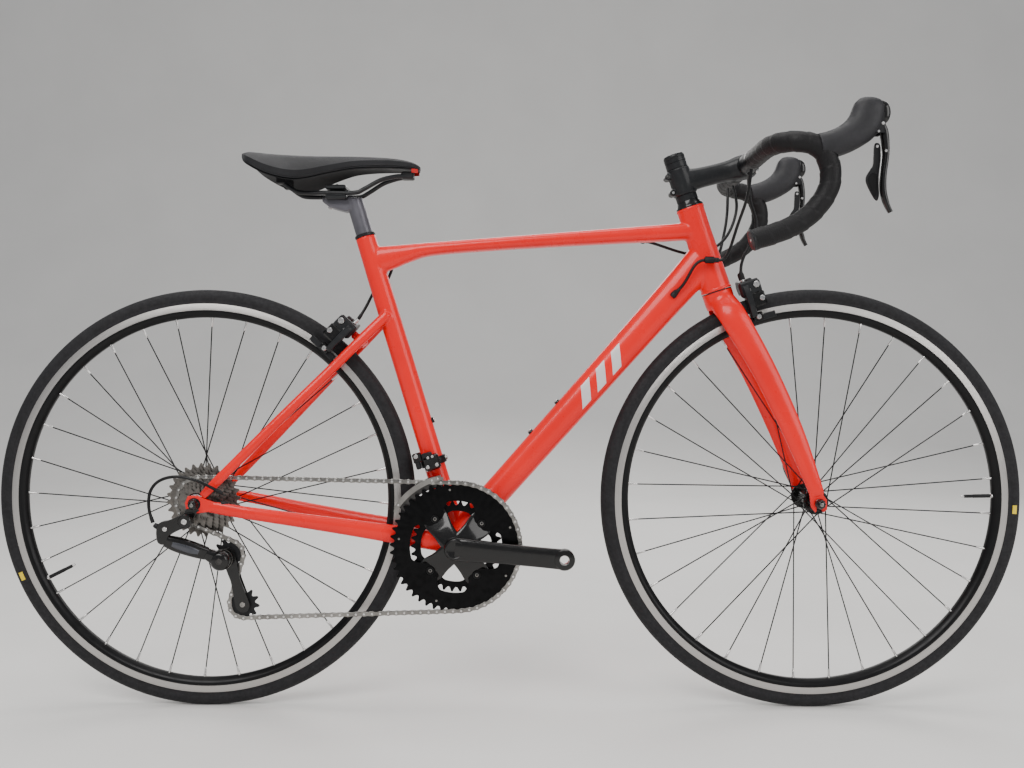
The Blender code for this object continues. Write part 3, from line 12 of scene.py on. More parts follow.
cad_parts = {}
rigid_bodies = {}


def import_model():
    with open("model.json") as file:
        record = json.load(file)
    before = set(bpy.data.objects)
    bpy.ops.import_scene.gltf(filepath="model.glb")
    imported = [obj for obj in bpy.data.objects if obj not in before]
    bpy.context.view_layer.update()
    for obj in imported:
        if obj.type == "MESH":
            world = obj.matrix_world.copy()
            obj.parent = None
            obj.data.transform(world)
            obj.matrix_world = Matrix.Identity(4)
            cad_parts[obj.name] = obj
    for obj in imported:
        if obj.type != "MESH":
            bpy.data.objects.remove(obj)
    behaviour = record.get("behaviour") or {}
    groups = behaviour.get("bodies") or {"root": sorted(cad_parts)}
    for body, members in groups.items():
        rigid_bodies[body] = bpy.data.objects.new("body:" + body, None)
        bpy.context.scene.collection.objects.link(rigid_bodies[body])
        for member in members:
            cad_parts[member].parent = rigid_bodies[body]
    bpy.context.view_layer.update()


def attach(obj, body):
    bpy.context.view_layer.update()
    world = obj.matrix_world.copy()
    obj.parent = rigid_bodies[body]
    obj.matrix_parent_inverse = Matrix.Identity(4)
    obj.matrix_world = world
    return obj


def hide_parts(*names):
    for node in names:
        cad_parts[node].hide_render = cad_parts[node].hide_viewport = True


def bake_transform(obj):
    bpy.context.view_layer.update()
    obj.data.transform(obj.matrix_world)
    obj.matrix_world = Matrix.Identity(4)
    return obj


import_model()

# The same driving dimensions as the CAD
HALF_WHEELBASE = 0.485
CHAINSTAY = 0.410
BB_DROP = 0.070
TYRE_RADIUS = 0.336
TYRE_HALF = 0.0125
RIM_HALF = 0.0112
RIM_DEPTH = 0.025
BEAD_RADIUS = TYRE_RADIUS - 0.0195
RIM_INNER = BEAD_RADIUS - RIM_DEPTH
TRACK_RADIUS = TYRE_RADIUS - 0.030
SPOKES = 32
FORK_RAKE = 0.0404
CROWN_CLEARANCE = 0.0285
SEAT_TUBE_LENGTH = 0.512
SEATPOST_SHOWN = 0.062
SEATPOST_INSERT = 0.150
SEATPOST_RADIUS = 0.0136
TOP_TUBE_BELOW_COLLAR = 0.017
TOP_TUBE_RISE = math.radians(4.3)
CRANK_LENGTH = 0.170
CRANK_SLOPE = math.radians(-5.3)
BRAKE_BOLT_REACH = 0.049
FRONT_BOLT_HEIGHT = -0.0135
FRONT_VALVE_TURN = math.radians(1.0)
REAR_VALVE_TURN = math.radians(206.5)
REAR_AXLE = Vector((-HALF_WHEELBASE, 0, TYRE_RADIUS))
FRONT_AXLE = Vector((HALF_WHEELBASE, 0, TYRE_RADIUS))
SIDE = Vector((0, 1, 0))
UP = Vector((0, 0, 1))
AHEAD = Vector((1, 0, 0))
BB = REAR_AXLE + Vector((math.sqrt(CHAINSTAY**2 - BB_DROP**2), 0, -BB_DROP))
HEAD_ANGLE = math.radians(72)
HEAD_UP = Vector((-math.cos(HEAD_ANGLE), 0, math.sin(HEAD_ANGLE)))
HEAD_FORWARD = Vector((math.sin(HEAD_ANGLE), 0, math.cos(HEAD_ANGLE)))
HEAD_LOW = FRONT_AXLE - HEAD_FORWARD * FORK_RAKE + HEAD_UP * (TYRE_RADIUS + CROWN_CLEARANCE)
HEAD_LENGTH = 0.139
SEAT_ANGLE = math.radians(73.25)
SEAT_UP = Vector((-math.cos(SEAT_ANGLE), 0, math.sin(SEAT_ANGLE)))
SEAT_FORWARD = Vector((math.sin(SEAT_ANGLE), 0, math.cos(SEAT_ANGLE)))
SEAT_TOP = BB + SEAT_UP * SEAT_TUBE_LENGTH
REAR_OUT = 0.071
FRONT_OUT = 0.056
STEM_LOW = HEAD_LENGTH + 0.0215
STEM_CLAMP = 0.0430
STEM_HIGH = STEM_LOW + STEM_CLAMP
STEM_LENGTH = 0.103
STEM_DROP = math.radians(4.6)
STEM_ALONG = HEAD_FORWARD * math.cos(STEM_DROP) - HEAD_UP * math.sin(STEM_DROP)
STEM_UP = SIDE.cross(STEM_ALONG)
BAR_BASE = HEAD_LOW + HEAD_UP * (STEM_LOW + STEM_CLAMP / 2)
BAR = BAR_BASE + STEM_ALONG * STEM_LENGTH
BAR_HALF = 0.205
BAR_RADIUS = 0.0118
TAPE_RADIUS = 0.0152
PITCH = 0.0127
FIRST_COG_Y = -0.0605
COG_PITCH = 0.00374
COGS = (11, 12, 13, 14, 15, 17, 19, 21, 23, 25, 28)
CHAIN_COG = 6
CHAIN_Y = FIRST_COG_Y + CHAIN_COG * COG_PITCH
BIG_RING_Y = -0.0465
SMALL_RING_Y = -0.0402
GUIDE = REAR_AXLE + Vector((0.0445, CHAIN_Y, -0.0845))
TENSION = REAR_AXLE + Vector((0.0666, CHAIN_Y, -0.1626))


def head_at(height):
    return HEAD_LOW + HEAD_UP * height


# Materials


SHEEN = 0.26


class Graph:
    """A material's node tree, with short calls for what the looks use."""

    def __init__(self, name):
        self.material = bpy.data.materials.new(name)
        self.material.use_nodes = True
        self.tree = self.material.node_tree
        self.shader = self.tree.nodes["Principled BSDF"]

    def node(self, kind, inputs=None, **settings):
        made = self.tree.nodes.new("ShaderNode" + kind)
        for key, value in settings.items():
            setattr(made, key, value)
        for key, value in (inputs or {}).items():
            if isinstance(value, bpy.types.NodeSocket):
                self.tree.links.new(value, made.inputs[key])
            else:
                made.inputs[key].default_value = value
        return made

    def math(self, operation, a, b=0.0, c=0.0):
        return self.node("Math", {0: a, 1: b, 2: c}, operation=operation).outputs[0]

    def objects(self):
        return self.node("TexCoord").outputs["Object"]

    def uv(self):
        return self.node("SeparateXYZ", {0: self.node("UVMap", uv_map="UVMap").outputs[0]}).outputs

    def noise(self, scale, detail=3.0, vector=None, rough=0.55):
        values = {"Scale": scale, "Detail": detail, "Roughness": rough}
        values["Vector"] = vector if vector is not None else self.objects()
        return self.node("TexNoise", values).outputs[0]

    def ramp(self, factor, low, high, from_low=0.35, from_high=0.65):
        values = {0: factor, 1: from_low, 2: from_high, 3: low, 4: high}
        return self.node("MapRange", values).outputs[0]

    def mix(self, factor, a, b):
        made = self.node("Mix", {0: factor}, data_type="RGBA")
        for place, value in ((6, a), (7, b)):
            if isinstance(value, bpy.types.NodeSocket):
                self.tree.links.new(value, made.inputs[place])
            else:
                made.inputs[place].default_value = (*value, 1)
        return made.outputs[2]

    def bump(self, height, distance, strength=1.0, onto=None):
        values = {"Strength": strength, "Distance": distance, "Height": height}
        if onto is not None:
            values["Normal"] = onto
        return self.node("Bump", values).outputs[0]

    def put(self, **sockets):
        sockets.setdefault("Specular_IOR_Level", SHEEN)
        for key, value in sockets.items():
            socket = self.shader.inputs[key.replace("_", " ")]
            if isinstance(value, bpy.types.NodeSocket):
                self.tree.links.new(value, socket)
            else:
                socket.default_value = value
        return self.material


def shade(colour, factor):
    return tuple(channel * factor for channel in colour)


def look(
    name, colour, rough, metal=0.0, coat=0.0, vary=0.12, scale=30.0, rough_vary=0.05, grain=None, dust=0.0
):
    """A finish whose tint and gloss drift over the surface, with a grain of (scale, depth) and some dust."""
    graph = Graph(name)
    drift = graph.noise(scale)
    tint = graph.mix(graph.ramp(drift, 0.0, 1.0), shade(colour, 1 - vary), shade(colour, 1 + vary))
    if dust:
        speck = graph.ramp(graph.noise(scale * 9, 5.0), 0.0, dust, 0.5, 0.75)
        tint = graph.mix(speck, tint, (0.35, 0.33, 0.30))
    gloss = graph.ramp(graph.noise(scale * 2.3, 4.0), rough - rough_vary, rough + rough_vary)
    values = {"Base_Color": tint, "Roughness": gloss, "Metallic": metal, "Coat_Weight": coat}
    if coat:
        values["Coat_Roughness"] = 0.06
    if grain:
        values["Normal"] = graph.bump(graph.noise(grain[0], 4.0), grain[1])
    return graph.put(**values)


def tyre_looks():
    """The tread has shallow slanted sipes and a smooth crown, and the side wall has fine moulded rings."""
    graph = Graph("tyre_tread")
    u, v, _ = graph.uv()
    middle = graph.math("ABSOLUTE", graph.math("SUBTRACT", v, 0.5))
    slant = graph.math("ADD", graph.math("MULTIPLY", u, 640.0), graph.math("MULTIPLY", middle, 34.0))
    sipe = graph.ramp(graph.math("SINE", slant), 0.0, 1.0, 0.90, 0.97)
    shoulder = graph.ramp(middle, 0.0, 1.0, 0.10, 0.12)
    edge = graph.ramp(middle, 1.0, 0.0, 0.21, 0.23)
    cut = graph.math("MULTIPLY", sipe, graph.math("MULTIPLY", shoulder, edge))
    fine = graph.noise(900.0, 4.0)
    height = graph.math("SUBTRACT", graph.math("MULTIPLY", fine, 0.25), cut)
    worn = graph.ramp(middle, 1.0, 0.0, 0.04, 0.09)
    base = graph.mix(
        graph.ramp(graph.noise(60.0), 0.0, 1.0), (0.0070, 0.0066, 0.0078), (0.0105, 0.0100, 0.0118)
    )
    base = graph.mix(graph.math("MULTIPLY", worn, 0.45), base, (0.017, 0.016, 0.018))
    wall = graph.math("SINE", graph.math("MULTIPLY", middle, 520.0))
    wall = graph.math("MULTIPLY", wall, graph.ramp(middle, 0.0, 0.20, 0.26, 0.28))
    height = graph.math("ADD", height, wall)
    rough = graph.ramp(graph.noise(200.0), 0.62, 0.80)
    graph.put(Base_Color=base, Roughness=rough, Normal=graph.bump(height, 0.00025), Specular_IOR_Level=0.35)
    return graph.material


def track_look():
    """The machined brake track: bright, with fine rings, and darker wear rings from the pads."""
    graph = Graph("rim_track")
    place = graph.node("SeparateXYZ", {0: graph.objects()}).outputs
    squares = graph.math(
        "ADD", graph.math("MULTIPLY", place[0], place[0]), graph.math("MULTIPLY", place[2], place[2])
    )
    radius = graph.math("SQRT", squares)
    rings = graph.math("SINE", graph.math("MULTIPLY", radius, 14000.0))
    wear = graph.noise(
        1.0, 6.0, graph.node("CombineXYZ", {0: graph.math("MULTIPLY", radius, 900.0)}).outputs[0], 0.8
    )
    tint = graph.mix(graph.ramp(wear, 0.0, 1.0, 0.3, 0.7), (0.38, 0.365, 0.35), (0.56, 0.54, 0.52))
    rough = graph.ramp(wear, 0.24, 0.40)
    graph.put(Base_Color=tint, Metallic=0.9, Roughness=rough, Normal=graph.bump(rings, 0.00002))
    return graph.material


def ringed_look(name, colour, rough, lines):
    """Turned metal with fine rings about the part's own Y axis."""
    graph = Graph(name)
    place = graph.node("SeparateXYZ", {0: graph.objects()}).outputs
    squares = graph.math(
        "ADD", graph.math("MULTIPLY", place[0], place[0]), graph.math("MULTIPLY", place[2], place[2])
    )
    radius = graph.math("SQRT", squares)
    swirl = graph.noise(
        1.0, 5.0, graph.node("CombineXYZ", {0: graph.math("MULTIPLY", radius, lines)}).outputs[0], 0.7
    )
    grime = graph.ramp(graph.noise(90.0, 5.0), 0.0, 0.6, 0.45, 0.75)
    tint = graph.mix(graph.ramp(swirl, 0.0, 1.0, 0.3, 0.7), shade(colour, 0.82), shade(colour, 1.12))
    tint = graph.mix(grime, tint, shade(colour, 0.35))
    gloss = graph.ramp(swirl, rough - 0.07, rough + 0.10)
    graph.put(Base_Color=tint, Metallic=0.95, Roughness=gloss, Normal=graph.bump(swirl, 0.00004))
    return graph.material


def tape_look():
    """Cork tape: a soft fleck, tiny punched dots with painted shade in them, and a fine cloth grain."""
    graph = Graph("bar_tape")
    u, v, _ = graph.uv()
    cells = graph.node(
        "CombineXYZ", {0: graph.math("MULTIPLY", u, 380.0), 1: graph.math("MULTIPLY", v, 380.0)}
    )
    dots = graph.node("TexVoronoi", {"Vector": cells.outputs[0], "Scale": 1.0, "Randomness": 0.15}).outputs[0]
    hole = graph.ramp(dots, 1.0, 0.0, 0.16, 0.26)
    fleck = graph.ramp(graph.noise(420.0, 4.0), 0.0, 1.0, 0.45, 0.7)
    tint = graph.mix(fleck, (0.0042, 0.0038, 0.0044), (0.0095, 0.0086, 0.0098))
    # The punched dots are painted near-black: painted shade in the holes
    tint = graph.mix(hole, tint, (0.002, 0.002, 0.002))
    height = graph.math("SUBTRACT", graph.math("MULTIPLY", fleck, 0.5), hole)
    graph.put(Base_Color=tint, Roughness=graph.ramp(fleck, 0.50, 0.66), Normal=graph.bump(height, 0.00025))
    return graph.material


def ribbed_rubber(name, colour, cells, depth, rough):
    """Moulded rubber with a field of tiny raised dots."""
    graph = Graph(name)
    dots = graph.node(
        "TexVoronoi", {"Vector": graph.objects(), "Scale": cells, "Randomness": 0.35}
    ).outputs[0]
    height = graph.ramp(dots, 1.0, 0.0, 0.15, 0.55)
    tint = graph.mix(graph.ramp(graph.noise(70.0), 0.0, 1.0), shade(colour, 0.8), shade(colour, 1.25))
    gloss = graph.ramp(graph.noise(160.0, 4.0), rough - 0.06, rough + 0.06)
    graph.put(Base_Color=tint, Roughness=gloss, Normal=graph.bump(height, depth), Specular_IOR_Level=0.4)
    return graph.material


def leather_look():
    """The saddle's cover: a pebbled grain, softly glossy where it is rubbed."""
    graph = Graph("saddle_cover")
    cells = graph.node(
        "TexVoronoi", {"Vector": graph.objects(), "Scale": 900.0}, feature="DISTANCE_TO_EDGE"
    ).outputs[0]
    pebble = graph.ramp(cells, 0.0, 1.0, 0.0, 0.25)
    rub = graph.ramp(graph.noise(14.0, 3.0), 0.0, 1.0, 0.4, 0.65)
    tint = graph.mix(rub, (0.0052, 0.0052, 0.0066), (0.0090, 0.0090, 0.0110))
    gloss = graph.math("SUBTRACT", 0.56, graph.math("MULTIPLY", rub, 0.14))
    graph.put(Base_Color=tint, Roughness=gloss, Normal=graph.bump(pebble, 0.00012), Sheen_Weight=0.08)
    return graph.material


def paint_look():
    """Gloss coral enamel under lacquer: a faint drift in tint and a slight orange peel."""
    graph = Graph("red_paint")
    drift = graph.ramp(graph.noise(9.0, 2.0), 0.0, 1.0)
    tint = graph.mix(drift, (0.740, 0.0045, 0.0040), (0.820, 0.0060, 0.0050))
    peel = graph.bump(graph.noise(420.0, 2.0), 0.00003)
    gloss = graph.ramp(graph.noise(35.0, 4.0), 0.26, 0.34)
    graph.put(Base_Color=tint, Roughness=gloss, Normal=peel, Coat_Weight=0.22, Coat_Roughness=0.10)
    return graph.material


LOOKS = {
    "paint": paint_look(),
    "decal": look("decal", (0.62, 0.60, 0.60), 0.32, coat=0.5, vary=0.03),
    "gloss": look("gloss_black", (0.0040, 0.0038, 0.0038), 0.22, coat=0.35, rough_vary=0.04, dust=0.02),
    "satin": look(
        "satin_black", (0.0085, 0.0092, 0.0105), 0.40, coat=0.10, grain=(1500.0, 0.00002), dust=0.02
    ),
    "anthracite": look("anthracite", (0.115, 0.112, 0.128), 0.38, 0.5, grain=(1200.0, 0.00002)),
    "plastic": look("moulded_plastic", (0.0075, 0.0075, 0.0085), 0.46, grain=(2200.0, 0.00004)),
    "housing": look("cable_housing", (0.005, 0.005, 0.0055), 0.36, grain=(700.0, 0.00003)),
    "silver": look("silver", (0.62, 0.61, 0.60), 0.26, 1.0, vary=0.06, grain=(900.0, 0.00001)),
    "steel": look(
        "plated_steel", (0.27, 0.26, 0.245), 0.34, 1.0, vary=0.2, dust=0.05, grain=(800.0, 0.00002)
    ),
    # The grey link strip is a painted highlight: a lighter grey copy of the black link, laid on its outer face
    "link": look("link_painted_highlight", (0.085, 0.088, 0.100), 0.30, 0.8, vary=0.15, grain=(1800.0, 0.00002)),
    "dark_steel": look("dark_steel", (0.075, 0.072, 0.070), 0.38, 1.0, vary=0.2, dust=0.05),
    "spoke": look("spoke_black", (0.008, 0.008, 0.009), 0.34, 0.3, vary=0.1),
    "anodised": look("anodised_black", (0.0075, 0.0075, 0.008), 0.33, 0.4, grain=(1300.0, 0.00002)),
    "pad": look("brake_rubber", (0.012, 0.012, 0.012), 0.72, grain=(900.0, 0.00008)),
    "label": look("label_yellow", (0.70, 0.52, 0.03), 0.5, vary=0.05),
    "red_trim": look("red_trim", (0.50, 0.012, 0.010), 0.5, vary=0.08, grain=(1400.0, 0.00003)),
    "hood": ribbed_rubber("hood_rubber", (0.0095, 0.0092, 0.0115), 1100.0, 0.00008, 0.52),
    "tyre": tyre_looks(),
    "track": track_look(),
    "cog": ringed_look("cog_steel", (0.20, 0.185, 0.17), 0.35, 5200.0),
    "ring_black": ringed_look("ring_black", (0.011, 0.011, 0.0115), 0.34, 2600.0),
    "tape": tape_look(),
    "leather": leather_look(),
}


# Mesh building


def oval(centre, across, along, half_across, half_along, count=24, power=2.0):
    """Points of a superellipse in the plane of two unit vectors."""
    points = []
    for i in range(count):
        turn = 2 * math.pi * (i + 0.5) / count
        c, s = math.cos(turn), math.sin(turn)
        x = math.copysign(abs(c) ** (2 / power), c) * half_across
        y = math.copysign(abs(s) ** (2 / power), s) * half_along
        points.append(centre + across * x + along * y)
    return points


def spline(row, per):
    """Reads a Catmull-Rom curve through rows of numbers, per steps between each two."""
    row = [np.array(item, float) for item in row]
    row = [row[0] * 2 - row[1], *row, row[-1] * 2 - row[-2]]
    fine = []
    for a, b, c, d in zip(row, row[1:], row[2:], row[3:]):
        for i in range(per):
            t = i / per
            lower = b * 2 + (c - a) * t + (a * 2 - b * 5 + c * 4 - d) * t**2
            fine.append((lower + (b * 3 - a - c * 3 + d) * t**3) / 2)
    fine.append(row[-2])
    return fine


def smooth_path(points, per):
    return [Vector(point) for point in spline([tuple(point) for point in points], per)]


def rounded(outline, per=5):
    """A closed outline of pairs, rounded through its points."""
    row = [np.array(point, float) for point in outline]
    fine = []
    count = len(row)
    for i in range(count):
        a, b, c, d = (row[(i + k) % count] for k in (-1, 0, 1, 2))
        for k in range(per):
            t = k / per
            lower = b * 2 + (c - a) * t + (a * 2 - b * 5 + c * 4 - d) * t**2
            fine.append(tuple((lower + (b * 3 - a - c * 3 + d) * t**3) / 2))
    return fine


def sweep_rings(points, halves, count=24, power=2.0, side=SIDE):
    rings = []
    for i, point in enumerate(points):
        tangent = (points[min(i + 1, len(points) - 1)] - points[max(i - 1, 0)]).normalized()
        across = (side - tangent * side.dot(tangent)).normalized()
        rings.append(oval(point, across, tangent.cross(across), *halves[i], count, power))
    return rings


def turning_frames(points, normal=UP):
    """A normal and a binormal for each point of a path, kept from twisting."""
    frames = []
    for i in range(len(points)):
        tangent = (points[min(i + 1, len(points) - 1)] - points[max(i - 1, 0)]).normalized()
        normal = (normal - tangent * normal.dot(tangent)).normalized()
        frames.append((normal, tangent.cross(normal)))
    return frames


def mirrored(points):
    return [Vector((point[0], -point[1], point[2])) for point in points]


def axes_about(axis):
    """Two unit vectors across an axis."""
    axis = Vector(axis).normalized()
    seed = AHEAD if abs(axis.x) < 0.9 else UP
    first = (seed - axis * seed.dot(axis)).normalized()
    return first, axis.cross(first)


class Shape:
    """Collects closed shells, each with its own look, and makes one piece of them."""

    def __init__(self):
        self.verts = []
        self.faces = []
        self.looks = []
        self.uvs = []

    def add(self, verts, faces, what, uvs=None):
        base = len(self.verts)
        self.verts += [tuple(point) for point in verts]
        for number, face in enumerate(faces):
            self.faces.append([base + i for i in face])
            self.looks.append(what[number] if isinstance(what, list) else what)
            self.uvs.append(uvs[number] if uvs else [(0.0, 0.0)] * len(face))
        return self

    def loft(self, rings, what, closed=False, caps=True, bands=None):
        """Skins rings of equal count. bands gives a look for each stretch between rings in place of what. The
        UV map holds the distance round the ring and the share of the way along."""
        count = len(rings[0])
        verts = [point for ring in rings for point in ring]
        rows = len(rings)
        widest = max(rings, key=lambda ring: (ring[0] - ring[count // 2]).length)
        around = [0.0]
        for i in range(count):
            around.append(around[-1] + (widest[(i + 1) % count] - widest[i]).length)
        spans = rows if closed else rows - 1
        faces, uvs, looks = [], [], []
        for row in range(spans):
            after = (row + 1) % rows
            for i in range(count):
                j = (i + 1) % count
                faces.append((row * count + i, row * count + j, after * count + j, after * count + i))
                low, high = row / spans, (row + 1) / spans
                uvs.append([(around[i], low), (around[i + 1], low), (around[i + 1], high), (around[i], high)])
                looks.append(bands[row] if bands else what)
        if caps and not closed:
            faces += [tuple(range(count))[::-1], tuple(range((rows - 1) * count, rows * count))]
            uvs += [[(0.0, 0.0)] * count] * 2
            looks += [looks[0], looks[-1]]
        return self.add(verts, faces, looks, uvs)

    def sweep(self, points, halves, what, count=24, power=2.0, side=SIDE, per=1):
        """A tube along a path, with its half widths given at each point and read smoothly in between."""
        points = [Vector(point) for point in points]
        if per > 1:
            rows = spline([(*point, *half) for point, half in zip(points, halves)], per)
            points = [Vector(row[:3]) for row in rows]
            halves = [tuple(row[3:]) for row in rows]
        return self.loft(sweep_rings(points, halves, count, power, side), what)

    def lathe(self, centre, axis, profile, what, count=64, closed=False, caps=True, bands=None):
        """Turns a profile of (radius, height) about an axis."""
        centre, axis = Vector(centre), Vector(axis).normalized()
        first, second = axes_about(axis)
        rings = []
        for radius, height in profile:
            turns = [2 * math.pi * i / count for i in range(count)]
            spokes = [first * math.cos(turn) + second * math.sin(turn) for turn in turns]
            rings.append([centre + axis * height + spoke * radius for spoke in spokes])
        return self.loft(rings, what, closed, caps, bands)

    def rod(self, start, end, radius, what, count=20, ease=0.0):
        """A straight rod, with its ends eased by a small chamfer."""
        start, end = Vector(start), Vector(end)
        length = (end - start).length
        profile = [(radius, 0), (radius, length)]
        if ease:
            profile = [(radius - ease, 0), (radius, ease), (radius, length - ease), (radius - ease, length)]
        return self.lathe(start, end - start, profile, what, count)

    def tube(self, points, radius, what, count=12):
        """A round tube along a path, with flat ends."""
        points = [Vector(point) for point in points]
        frames = turning_frames(points)
        rings = []
        for point, (normal, other) in zip(points, frames):
            rings.append(oval(point, normal, other, radius, radius, count))
        return self.loft(rings, what)

    def slab(self, rings_outline, low, high, what, ease=0.0008):
        """An outline of points extruded from offset low to offset high, with its edges eased.
        rings_outline(offset, inset) gives the outline's points."""
        rows = [(low, ease), (low + ease, 0.0), (high - ease, 0.0), (high, ease)]
        return self.loft([rings_outline(offset, inset) for offset, inset in rows], what)

    def plate(self, outline, y_low, y_high, what, ease=0.0006, per=0):
        """A flat plate of (x, z) points across Y."""
        points = rounded(outline, per) if per else outline
        middle = np.mean(np.array(points), axis=0)
        size = np.max(np.linalg.norm(np.array(points) - middle, axis=1))

        def ring(offset, inset):
            share = 1 - inset / size
            return [
                Vector((middle[0] + (x - middle[0]) * share, offset, middle[1] + (z - middle[1]) * share))
                for x, z in points
            ]

        low, high = min(y_low, y_high), max(y_low, y_high)
        return self.slab(ring, low, high, what, min(ease, (high - low) * 0.3))

    def box(self, centre, axes, halves, what, ease=0.0008):
        """A block with eased edges."""
        a, b, c = (Vector(axis) for axis in axes)
        centre = Vector(centre)
        rows = [(-halves[2], ease), (-halves[2] + ease, 0), (halves[2] - ease, 0), (halves[2], ease)]
        rings = []
        for height, inset in rows:
            x, y, e = halves[0] - inset, halves[1] - inset, ease
            corners = [
                (x, y - e), (x - e, y), (-x + e, y), (-x, y - e), (-x, -y + e), (-x + e, -y), (x - e, -y),
                (x, -y + e)
            ]
            rings.append([centre + a * p + b * q + c * height for p, q in corners])
        return self.loft(rings, what)

    def bolt(self, seat, axis, radius, height, what, socket=0.5):
        """A socket-head bolt whose head stands on seat, with a round recess in its face."""
        seat, axis = Vector(seat), Vector(axis).normalized()
        ease = radius * 0.15
        profile = [
            (radius, -radius * 0.2), (radius, height - ease), (radius - ease, height),
            (radius * socket, height)
        ]
        profile += [(radius * socket * 0.95, height * 0.35)]
        return self.lathe(seat, axis, profile, what, 18)

    def mesh(self, name, origin=None):
        origin = Vector(origin) if origin else Vector()
        mesh = bpy.data.meshes.new(name)
        mesh.from_pydata([Vector(point) - origin for point in self.verts], [], self.faces)
        names = list(dict.fromkeys(self.looks))
        for item in names:
            mesh.materials.append(LOOKS[item])
        mesh.polygons.foreach_set("material_index", [names.index(item) for item in self.looks])
        layer = mesh.uv_layers.new(name="UVMap")
        layer.data.foreach_set("uv", [value for face in self.uvs for pair in face for value in pair])
        work = bmesh.new()
        work.from_mesh(mesh)
        bmesh.ops.recalc_face_normals(work, faces=work.faces)
        work.to_mesh(mesh)
        work.free()
        mesh.shade_smooth()
        mesh.set_sharp_from_angle(angle=math.radians(38))
        return mesh

    def make(self, name, body, slot, replaces=(), origin=None):
        """Makes the piece, rides it on its body and hides the CAD nodes that it stands for."""
        made = bpy.data.objects.new(name, self.mesh(name, origin))
        made.location = Vector(origin) if origin else Vector()
        bpy.context.scene.collection.objects.link(made)
        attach(made, body)
        if replaces:
            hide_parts(*([replaces] if isinstance(replaces, str) else replaces))
        return made


def fused(shape, voxel, rounds, cuts=()):
    """Melts overlapping shells into one smooth skin with soft joins, then cuts the given shells from it."""
    made = bpy.data.objects.new("fused", shape.mesh("fused"))
    bpy.context.scene.collection.objects.link(made)
    melt = made.modifiers.new("melt", "REMESH")
    melt.mode = "VOXEL"
    melt.voxel_size = voxel
    soften = made.modifiers.new("soften", "SMOOTH")
    soften.factor = 0.5
    soften.iterations = rounds
    helpers = []
    for cut in cuts:
        helper = bpy.data.objects.new("cut", cut.mesh("cut"))
        bpy.context.scene.collection.objects.link(helper)
        step = made.modifiers.new("cut", "BOOLEAN")
        step.operation = "DIFFERENCE"
        step.solver = "MANIFOLD"
        step.object = helper
        helpers.append(helper)
    graph = bpy.context.evaluated_depsgraph_get()
    mesh = bpy.data.meshes.new_from_object(made.evaluated_get(graph))
    for old in [made, *helpers]:
        bpy.data.objects.remove(old, do_unlink=True)
    return mesh


def with_skin(shape, skin, what, name, body, slot, replaces, origin=None):
    """Makes one piece of a fused skin and of the crisp shells of a shape."""
    made = shape.make(name, body, slot, replaces, origin)
    mesh = made.data
    work = bmesh.new()
    if origin:
        skin.transform(Matrix.Translation(-Vector(origin)))
    work.from_mesh(mesh)
    before = len(work.faces)
    work.from_mesh(skin)
    work.faces.ensure_lookup_table()
    if LOOKS[what].name not in [item.name for item in mesh.materials]:
        mesh.materials.append(LOOKS[what])
    index = [item.name for item in mesh.materials].index(LOOKS[what].name)
    for face in work.faces[before:]:
        face.material_index = index
        face.smooth = True
    work.to_mesh(mesh)
    work.free()
    mesh.set_sharp_from_angle(angle=math.radians(42))
    return made


# Frame


def stay_axes():
    along = (BB + SEAT_UP * 0.383 - REAR_AXLE).normalized()
    return along, SIDE.cross(along) * -1


def top_tube_line():
    start = SEAT_TOP - SEAT_UP * TOP_TUBE_BELOW_COLLAR
    along = Vector((math.cos(TOP_TUBE_RISE), 0, math.sin(TOP_TUBE_RISE)))
    gap = HEAD_LOW - start
    length = (gap.x * HEAD_UP.z - gap.z * HEAD_UP.x) / (along.x * HEAD_UP.z - along.z * HEAD_UP.x)
    return start, along, length


def down_tube_line():
    start = BB + Vector((-0.004, 0, 0.005))
    end = head_at(0.056)
    along = (end - start).normalized()
    return start, end, along, SIDE.cross(along) * -1


